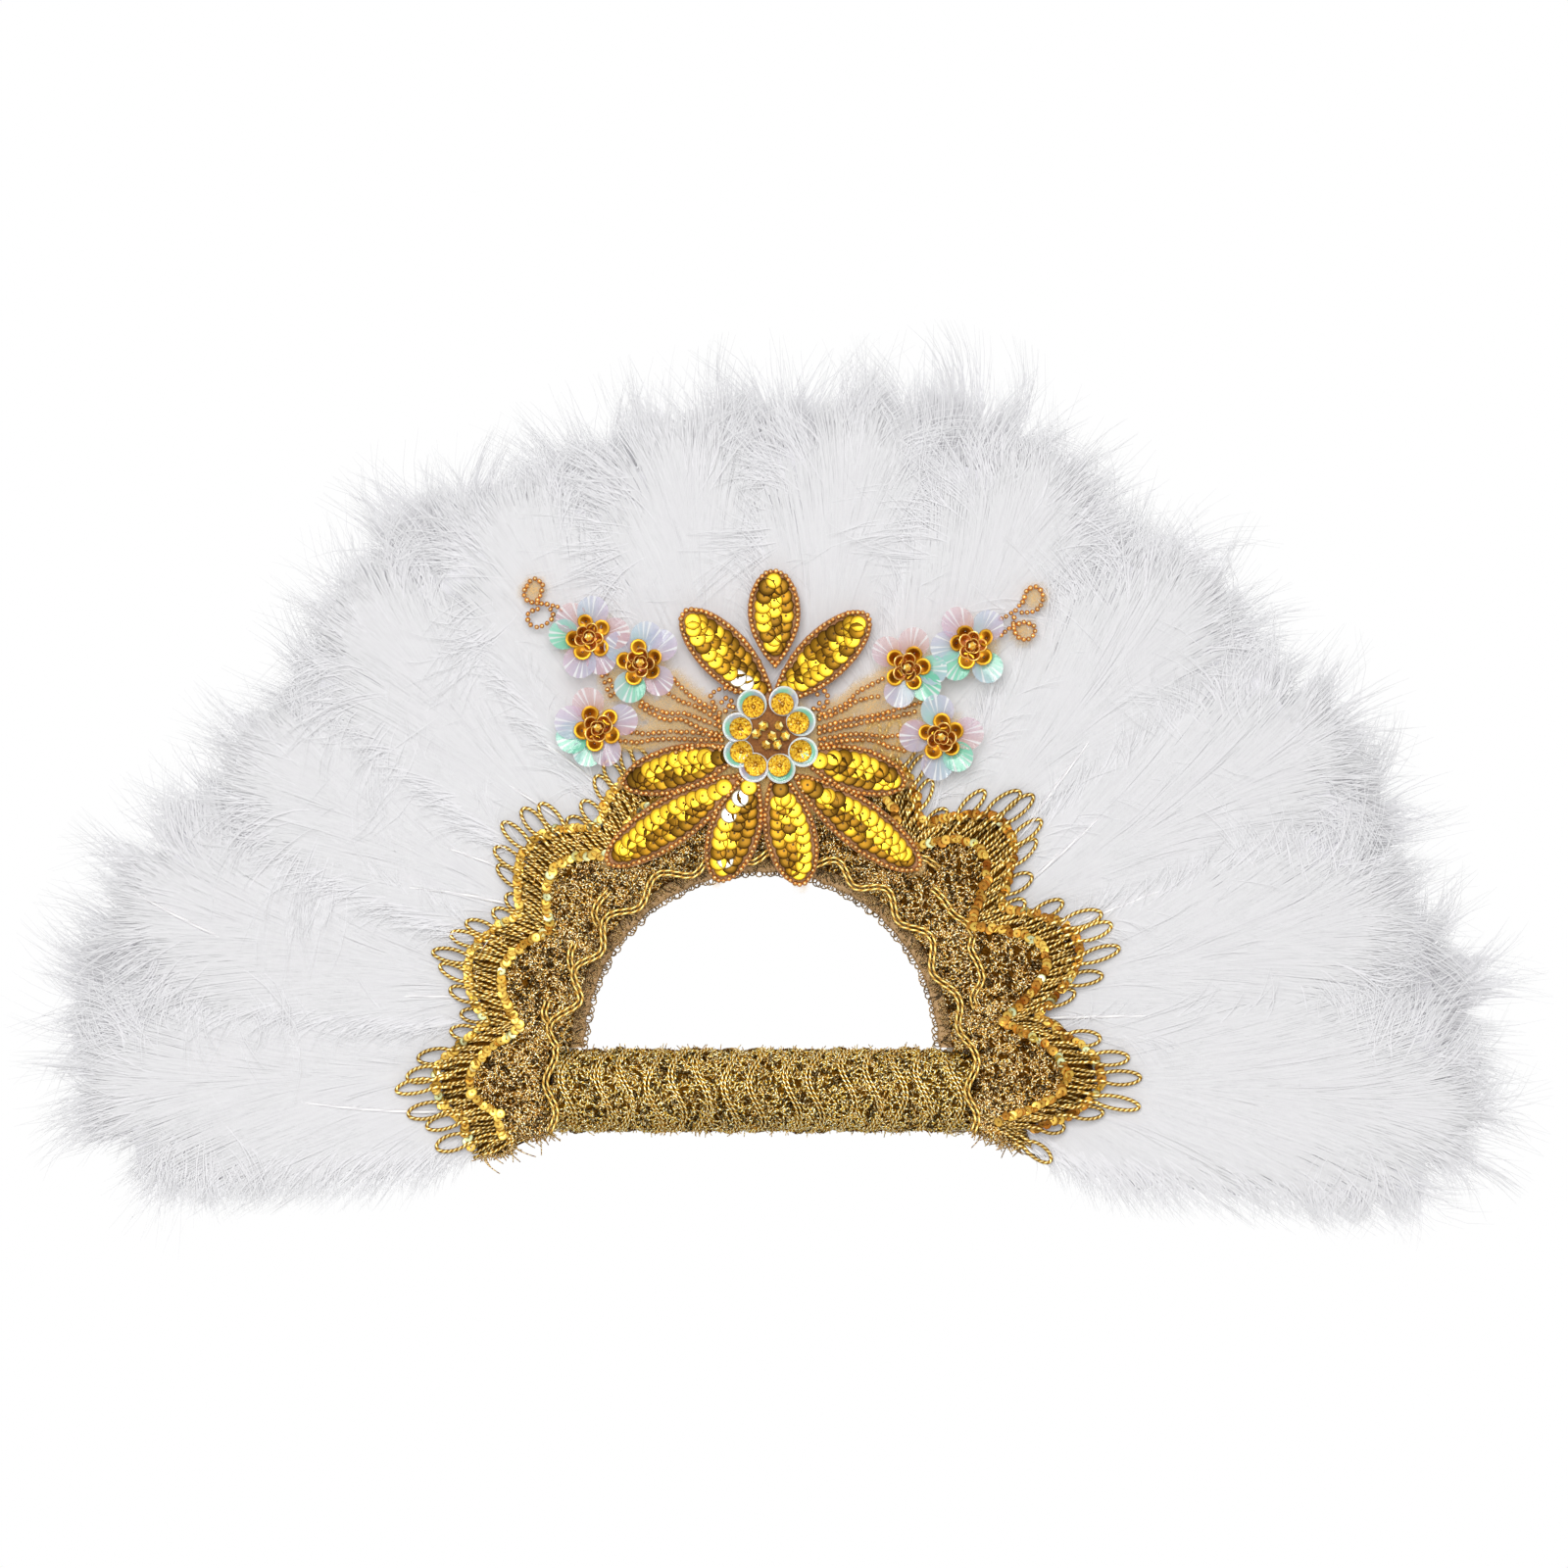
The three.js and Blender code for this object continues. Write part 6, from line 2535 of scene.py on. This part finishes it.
def ribbed_shell_shape() -> Patch:
    """A fan-pleated round sequin, hinged at its own origin and one unit across.

    Its radius at an angle is the cosine of that angle, which draws a circle through the hinge,
    and its pleats rise and fall from column to column.

    Returns:
        The sequin; its chart gives the painted highlight of the pleats' crests and the hue.
    """
    columns, rows = 27, 6
    angle = np.linspace(-1.4, 1.4, columns)
    share = np.linspace(0.1, 1, rows)
    radius = share[:, None] * np.cos(angle) ** 0.9
    crest = np.where(np.arange(columns) % 2 == 0, 0.0, 1.0)
    z = 0.055 * crest * share[:, None] + 0.08 * share[:, None] ** 2
    places = in_space(radius * np.cos(angle * 0.98), radius * np.sin(angle * 0.98), z)
    quads = lattice(1, rows, columns, False)[0][..., ::-1]
    # Painted highlight: each pleat's crest is painted whiter, by a random amount.
    bright = np.random.default_rng(5).uniform(0.25, 0.95, columns)
    rib = 0.2 + bright * crest * (0.35 + 0.65 * share[:, None])
    hue = np.broadcast_to(0.12 * np.sin(angle * 1.4)[None] - 0.12 * (share[:, None] - 0.5), (rows, columns))
    after, before = slice(1, None), slice(None, -1)
    corners = ((after, before), (after, after), (before, after), (before, before))
    rib, hue = (np.stack([values[c] for c in corners], axis=2) for values in (rib, hue))
    return gridded(places, quads, rib, hue)


def gold_cup_shape() -> Patch:
    """A cup of radius one with a broad raised rim."""
    return dish(np.array([0.06, 0.42, 0.66, 0.86, 1.0]), np.array([-0.1, -0.08, 0.1, 0.22, 0.12]), 12)


@dataclass
class SmallFlower:
    """Five ribbed clear sequins, five gold cups, an amber rosette and a bead.

    Attributes:
        name: the part of its two solids' names that they share.
        place: its middle, in the picture's steps.
        deck: 1 where its sequins lie over those of a neighbour.
        shells: direction and hue of each clear sequin.
        turn: direction of its first cup.
        seed: start of its random numbers.
        shell: diameter of a clear sequin.
        hinge: how far from the middle it is sewn down.
        cup: diameter of a gold cup.
        cup_ring: distance of the cups from the middle.
        bead: diameter of the bead.
        fifth: angle from one of five to the next.
    """

    name: str
    place: tuple[float, float]
    deck: int
    shells: tuple[tuple[float, float], ...]
    turn: float
    seed: int
    shell: float = 10.4
    hinge: float = 3.6
    cup: float = 5.8
    cup_ring: float = 5.1
    bead: float = 2.9
    fifth: float = 72.0

    def build(self) -> None:
        """Makes the flower's pieces in place of its two solids."""
        rng = np.random.default_rng(self.seed)
        x, z = spots((self.place,))[0]
        level = 13.2 + 1.1 * self.deck
        bearing, hues = np.array(self.shells).T
        count = len(bearing)
        dx, dz = np.cos(np.radians(bearing)), np.sin(np.radians(bearing))
        deck = 0.22 * np.argsort(rng.uniform(size=count))
        axes = facing(bearing, rng.normal(5, 4, count), rng.normal(0, 5, count))
        place = x + self.hinge * dx, z + self.hinge * dz
        sizes = self.shell * rng.uniform(0.92, 1.04, count)
        shells = sewn_on(ribbed_shell_shape(), place, level + deck, axes, sizes, hues)
        Skin(f"{self.name}_shells").lay(shells).build(SHELL, f"{self.name}_petals")
        aim = self.turn + self.fifth * np.arange(5) + rng.normal(0, 6, 5)
        place = x + np.cos(np.radians(aim)) * self.cup_ring, z + np.sin(np.radians(aim)) * self.cup_ring
        axes = facing(aim, rng.normal(18, 7, 5), rng.normal(0, 14, 5))
        sizes, tones = self.cup / 2 * rng.uniform(0.93, 1.06, 5), rng.uniform(0.5, 0.85, 5)
        cups = sewn_on(gold_cup_shape(), place, level + 2.5, axes, sizes, tones)
        Skin(f"{self.name}_cups").lay(cups).build(CUP_FOIL, f"{self.name}_heart")
        petal = np.arange(9)
        outer = petal < 5
        angle = np.where(outer, self.fifth * petal, 45 + 90.0 * petal) + rng.normal(0, 8, 9)
        ring = np.where(outer, 3.0, 1.4)
        place = x + ring * np.cos(np.radians(angle)), z + ring * np.sin(np.radians(angle))
        axes = facing(angle, np.where(outer, 26, 40) + rng.normal(0, 6, 9), rng.normal(0, 10, 9))
        sizes = np.where(outer, 2.25, 1.6) * rng.uniform(0.9, 1.1, 9)
        tones = drawn(rng, 0.55, 0.25, 9)
        petals = sewn_on(gold_cup_shape(), place, level + np.where(outer, 2.7, 3.3), axes, sizes, tones)
        Skin(f"{self.name}_rosette").lay(petals).build(AMBER, f"{self.name}_heart")
        axes = facing(rng.uniform(0, 90), 8.0, 12.0)
        bead = sewn_on(faceted_bead_shape(), (x, z), level + 4.2, axes, self.bead / 2, 0.75)
        Skin(f"{self.name}_bead").lay(bead).build(GOLD_BEAD, f"{self.name}_heart", smooth=False)


@dataclass
class Ornament:
    """The whole flower ornament on its tulle.

    Attributes:
        leaves: the nine leaves, of which the first three lie off the net.
        flowers: the six small flowers.
        strings_left: lines of the bead strings at the left, in the picture's steps; the first
            eight lie on the net.
        strings_right: those at the right, of which the first six do.
        curls: middles of the net under the curls at the outer ends.
        grain: distance between two corners of the net's grid.
    """

    leaves: tuple[SequinLeaf, ...] = (
        SequinLeaf("leaf_top", (0.014, 0.255), (0.008, 0.6), 1, 71, 1.0, (), True),
        SequinLeaf(
            "leaf_upper_left", (0.012, 0.115), (-0.316, 0.45), 0.98, 72, 1.0, ((1, 0.2), (1, 0.32)), True
        ),
        SequinLeaf("leaf_upper_right", (0.0, 0.115), (0.348, 0.44), 0.98, 73, -1.0, (), True),
        SequinLeaf("leaf_left", (-0.1, -0.052), (-0.533, -0.168), 0.9, 74, -1.0),
        SequinLeaf("leaf_right", (0.098, -0.062), (0.482, -0.168), 0.9, 75, 1.0),
        SequinLeaf("leaf_lower_left", (-0.1, -0.135), (-0.594, -0.455), 0.94, 76, -1.0),
        SequinLeaf("leaf_lower_right", (0.078, -0.135), (0.534, -0.473), 0.94, 77, 1.0),
        SequinLeaf(
            "leaf_bottom_left", (-0.062, -0.12), (-0.19, -0.52), 1, 78, -1.0,
            ((-1, 0.3), (-1, 0.42), (0, 0.85)),
        ),
        SequinLeaf("leaf_bottom_right", (0.016, -0.12), (0.112, -0.533), 1, 79, 1.0),
    )
    flowers: tuple[SmallFlower, ...] = (
        SmallFlower(
            "flower_left_1", (602, 651), 0,
            ((133, 0.1), (172, 0.85), (82, 0.5), (9, 0.04), (298, 0.3), (250, 0.4)), 33, 81,
        ),
        SmallFlower(
            "flower_left_2", (654, 677), 1,
            ((76, 0.55), (39, 0.45), (317, 0.32), (246, 0.78), (143, 0.5)), 30, 82,
        ),
        SmallFlower(
            "flower_left_3", (611, 743), 0,
            ((112, 0.04), (168, 0.42), (200, 0.85), (247, 0.8), (19, 0.36), (290, 0.3)), 40, 83,
        ),
        SmallFlower(
            "flower_right_1", (991, 660), 0,
            ((123, 0.15), (52, 0.48), (182, 0.56), (229, 0.86), (305, 0.74)), 33, 84,
        ),
        SmallFlower(
            "flower_right_2", (925, 682), 1,
            ((141, 0.08), (75, 0.0), (354, 0.7), (317, 0.95), (252, 0.5)), 0, 85,
        ),
        SmallFlower(
            "flower_right_3", (959.5, 752.5), 0,
            ((177, 0.34), (98, 0.58), (9, 0.13), (311, 0.9), (260, 0.55)), 25, 86,
        ),
    )
    curls: Line = ((545, 603), (1055, 610), (1044, 645))
    grain: float = 2.0
    strings_left: tuple[Line, ...] = (
        ((688, 694), (703, 708.5), (716, 717), (734, 728)),
        ((683, 708), (695, 716), (709, 720.5), (723, 728), (734, 736)),
        ((655.5, 717), (669, 724), (684, 728), (698, 728), (712, 733), (735, 742)),
        ((654, 721.5), (668, 730), (681.5, 734.5), (696, 734), (709, 741), (724, 747), (737, 749)),
        ((645, 747), (660, 749), (680, 747), (702, 747.5), (717, 748.5), (735, 752)),
        ((634, 756), (649.5, 757.5), (671.5, 754.5), (700, 754.5), (723, 755), (737, 755.5)),
        ((735, 765), (722, 761), (706, 764), (690, 768)),
        ((620, 688), (624, 697), (628, 708)),
        ((615, 690), (619, 699), (624, 710)),
        ((730, 722), (726, 710), (735, 703.5), (744, 703.5), (751, 706)),
        ((737, 717), (741, 712.5), (747, 715), (744, 721)),
        ((734, 731), (741, 726), (748, 722)),
        (
            (574.5, 623), (563, 617.5), (548, 616), (539, 613), (536, 606),
            (540.5, 595), (547, 591.5), (554, 596), (554.5, 603), (550, 613),
        ),
        ((563, 623), (566, 630), (558, 637.5), (547, 640), (540, 634), (541, 626), (550, 622)),
    )
    strings_right: tuple[Line, ...] = (
        ((900, 693), (889.5, 699), (876.5, 705), (866, 716), (850, 724), (836, 730.5)),
        ((895, 711), (881.5, 713.5), (868.5, 719), (857, 726.5), (836, 734)),
        ((938, 717.5), (919, 723), (898, 728.5), (876, 733), (855, 737.5), (836, 742.5)),
        ((933, 726.5), (919, 730.5), (896.5, 734.5), (874, 739), (852, 744), (836, 748)),
        ((916, 751), (900, 752), (884, 749.5), (868, 749.5), (852, 752), (836, 754.5)),
        ((922, 765.5), (907, 762), (892.5, 756.5), (877.5, 754.5), (861.5, 756), (837.5, 760)),
        ((836, 702), (843, 707), (844.5, 714.5), (841, 721), (835, 724)),
        ((834, 709), (838, 712.5), (836, 718)),
        ((830, 724), (838, 728), (846, 727)),
        (
            (1021, 632), (1034, 624.5), (1043, 614), (1045, 606), (1050, 601),
            (1057, 600.5), (1063, 607), (1061, 619), (1051, 625), (1041, 625.5),
        ),
        (
            (1021, 649), (1032, 639.5), (1046, 636), (1055, 641), (1053, 650),
            (1044, 653.5), (1036, 648), (1033, 638), (1034, 631),
        ),
    )

    def net_lines(self) -> list[tuple[Floats, Floats, float, float]]:
        """Lines that the net is cut round: start, end, and how far it shows beside each.

        Returns:
            The lines; a place that it is cut round has its start as its end.
        """
        middle = np.array(on_ornament(0, 0))
        lines = [(middle, middle, 17.0, 17.0)]
        for pixel, wide in [(flower.place, 10.0) for flower in self.flowers] + [(c, 4.6) for c in self.curls]:
            place = spots((pixel,))[0]
            lines.append((place, place, wide, wide))
        for string in self.strings_left[:8] + self.strings_right[:6]:
            path = spots(string)
            lines += [(start, end, 3.6, 3.6) for start, end in zip(path[:-1], path[1:])]
        for leaf in self.leaves[3:]:
            base, tip = (np.array(on_ornament(*end)) for end in (leaf.base, leaf.tip))
            lines.append((base, tip, 9.0, 2.0))
        return lines

    def thickness_of_net(self, x: Floats, z: Floats) -> Floats:
        """How dense the tulle shows, from 1 near a flower, string or leaf down to 0 away from it.

        Args:
            x: X of the places.
            z: Z of the places.

        Returns:
            The density at each.
        """
        place = np.stack([x, z], -1)
        shown = np.zeros(x.shape)
        for start, end, wide_start, wide_end in self.net_lines():
            along = end - start
            share = np.clip(((place - start) @ along) / max(along @ along, 1e-6), 0, 1)
            gap = np.linalg.norm(place - start - share[..., None] * along, axis=-1)
            shown = np.maximum(shown, 1 - (gap / (wide_start + (wide_end - wide_start) * share)) ** 2)
        return np.clip(1.5 * shown, 0, 1)

    def tulle(self) -> None:
        """The sheer net under the ornament, cut round it: a fine grid without its empty cells."""
        x, z = np.meshgrid(np.arange(-84, 100, self.grain), np.arange(62, 186, self.grain))
        shown = self.thickness_of_net(x, z).ravel()
        quads = lattice(1, *x.shape, False)[0].reshape(-1, 4)
        quads = quads[shown[quads].max(axis=1) > 0]
        fade = shown[quads]
        used, numbers = np.unique(quads, return_inverse=True)
        level = 10.55 + 0.08 * np.sin(x / 5) * np.cos(z / 4)
        places = in_space(x, -level, z).reshape(-1, 3)[used]
        net = gridded(places, numbers.reshape(-1, 4), fade)
        piece = Skin("ornament_tulle").lay(net).build(TULLE, "ornament_net")

    def strings(self) -> None:
        """Bead strings from the centre to the small flowers, with loops and curls."""
        for side, lines in (("left", self.strings_left), ("right", self.strings_right)):
            rng = np.random.default_rng(90 + len(side))
            beads = Beads(f"bead_stems_{side}_beads")
            for line in lines:
                beads.string(rng, rounded(spots(line)))
            beads.build(f"bead_stems_{side}")

    def build(self) -> None:
        """Makes every piece of the ornament."""
        self.tulle()
        cloth = Skin("leaf_cloth").lay(*(leaf.build() for leaf in self.leaves))
        cloth.build(LEAF_CLOTH, *(leaf.name for leaf in self.leaves), charted=False)
        CentreFlower().build()
        for flower in self.flowers:
            flower.build()
        self.strings()


# Studio


@dataclass
class Studio:
    """White room, soft light and the camera of the photograph.

    Attributes:
        lens: focal length of the camera.
        sensor: width of its picture behind the lens.
        floor_level: height of the floor, in metres.
        floor_radius: how far it reaches, in metres.
        fill: strength of the white room where it lights the fan.
        key: power of the lamp in front.
        behind: power of the lamp behind, as a share of that in front.
        lamp_size: width of both lamps, in metres.
        lamp_aim: height that they look at, in metres.
    """

    lens: float = 200.0
    sensor: float = 36.0
    floor_level: float = -0.205
    floor_radius: float = 0.52
    fill: float = 0.36
    key: float = 41.5
    behind: float = 0.7
    lamp_size: float = 1.5
    lamp_aim: float = 0.1

    def room(self) -> None:
        """A world that is plain white to the eye and in reflections, and a soft fill otherwise."""
        world = bpy.data.worlds.new("white room")
        world.use_nodes = True
        bpy.context.scene.world = world
        world.node_tree.nodes.clear()
        w = Wiring(world.node_tree)
        path = w.node("ShaderNodeLightPath")
        seen = w.maths("ADD", path.outputs["Is Camera Ray"], path.outputs["Is Glossy Ray"])
        seen = w.maths("ADD", seen, path.outputs["Is Transmission Ray"], clamp=True)
        shade = w.node("ShaderNodeBackground")
        shade.inputs["Color"].default_value = (1, 1, 1, 1)
        w.join(w.spread(seen, 0, 1, self.fill, 1.0), shade.inputs["Strength"])
        w.join(shade.outputs[0], w.node("ShaderNodeOutputWorld").inputs["Surface"])

    def floor(self) -> None:
        """A pale round floor below the fan, which ends below the picture of the front view."""
        sides = 64
        turn = np.linspace(0, 2 * np.pi, sides + 1)[:-1]
        x, y = self.floor_radius * np.cos(turn), self.floor_radius * np.sin(turn)
        mesh = bpy.data.meshes.new("floor")
        mesh.from_pydata(in_space(x, y, self.floor_level).tolist(), [], [list(range(sides))])
        floor = bpy.data.objects.new("floor", mesh)
        bpy.context.scene.collection.objects.link(floor)
        white = (0.96, 0.96, 0.96), (0.99, 0.99, 0.99)
        mesh.materials.append(Grained("pale floor", "plume", 0.0, 0.9, *white, 2.0, 9.0, 0.0).material())

    def lamp(self, name: str, place: tuple[float, float, float], power: float) -> None:
        """A soft square lamp that looks at the middle of the fan.

        Args:
            name: the lamp's name.
            place: where it stands, in metres.
            power: its power.
        """
        data = bpy.data.lights.new(name, "AREA")
        data.size, data.energy = self.lamp_size, power
        lamp = bpy.data.objects.new(name, data)
        bpy.context.scene.collection.objects.link(lamp)
        lamp.location = place
        back = lamp.location.copy()
        back.z -= self.lamp_aim
        lamp.rotation_euler = back.to_track_quat("Z", "Y").to_euler()

    def camera(self) -> None:
        """A long lens straight in front, whose picture is as wide as the photograph."""
        data = bpy.data.cameras.new("camera")
        data.lens, data.sensor_width = self.lens, self.sensor
        data.clip_start, data.clip_end = 0.1, 20.0
        camera = bpy.data.objects.new("camera", data)
        bpy.context.scene.collection.objects.link(camera)
        x, z = PICTURE_ORIGIN
        across = (PICTURE_WIDTH / 2 - x) * PICTURE_STEP * MM
        up = (z - PICTURE_WIDTH / 2) * PICTURE_STEP * MM
        camera.location = (across, -PICTURE_WIDTH * PICTURE_STEP * MM * self.lens / self.sensor, up)
        camera.rotation_euler = (math.pi / 2, 0, 0)
        bpy.context.scene.camera = camera

    def build(self) -> None:
        """Sets the room, the floor, the lamps and the camera."""
        bpy.context.scene.view_settings.view_transform = "Standard"
        self.room()
        self.floor()
        self.lamp("key lamp", (-0.15, -2.6, 0.7), self.key)
        self.lamp("lamp behind", (0.3, 2.6, 0.7), self.behind * self.key)
        self.camera()


def dress_solids() -> None:
    """Gives the board and the grip's core, which keep their solids, their own materials."""
    for name, finish in (("backing_board", CARD), ("grip_core", FOAM)):
        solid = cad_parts[name]
        for slot in solid.material_slots:
            slot.material = finish.material()
        if not solid.material_slots:
            solid.data.materials.append(finish.material())
        log.info("%s keeps its solid in %s", name, finish.name)


def main() -> None:
    """Builds the studio, then every piece of the fan."""
    logging.basicConfig(level=logging.INFO, format="%(name)s: %(message)s")
    Studio().build()
    dress_solids()
    PlumeRing().build()
    for name, face, seed, curls in (("lace_front", Face.FRONT, 21, 3400), ("lace_back", Face.BACK, 22, 1500)):
        LaceBand(name, face, seed, curls).build()
    band = LaceBand("lace_front", Face.FRONT, 21, 0)
    band.sequin_row(np.random.default_rng(25), "sequin_row_outer", -0.4)
    band.sequin_row(np.random.default_rng(26), "sequin_row_inner", 11.0)
    Braid("braid_front", Face.FRONT).build()
    Braid("braid_back", Face.BACK).build()
    OpeningRim().build()
    GripWrap().build()
    Ornament().build()


if __name__ == "__main__":
    main()
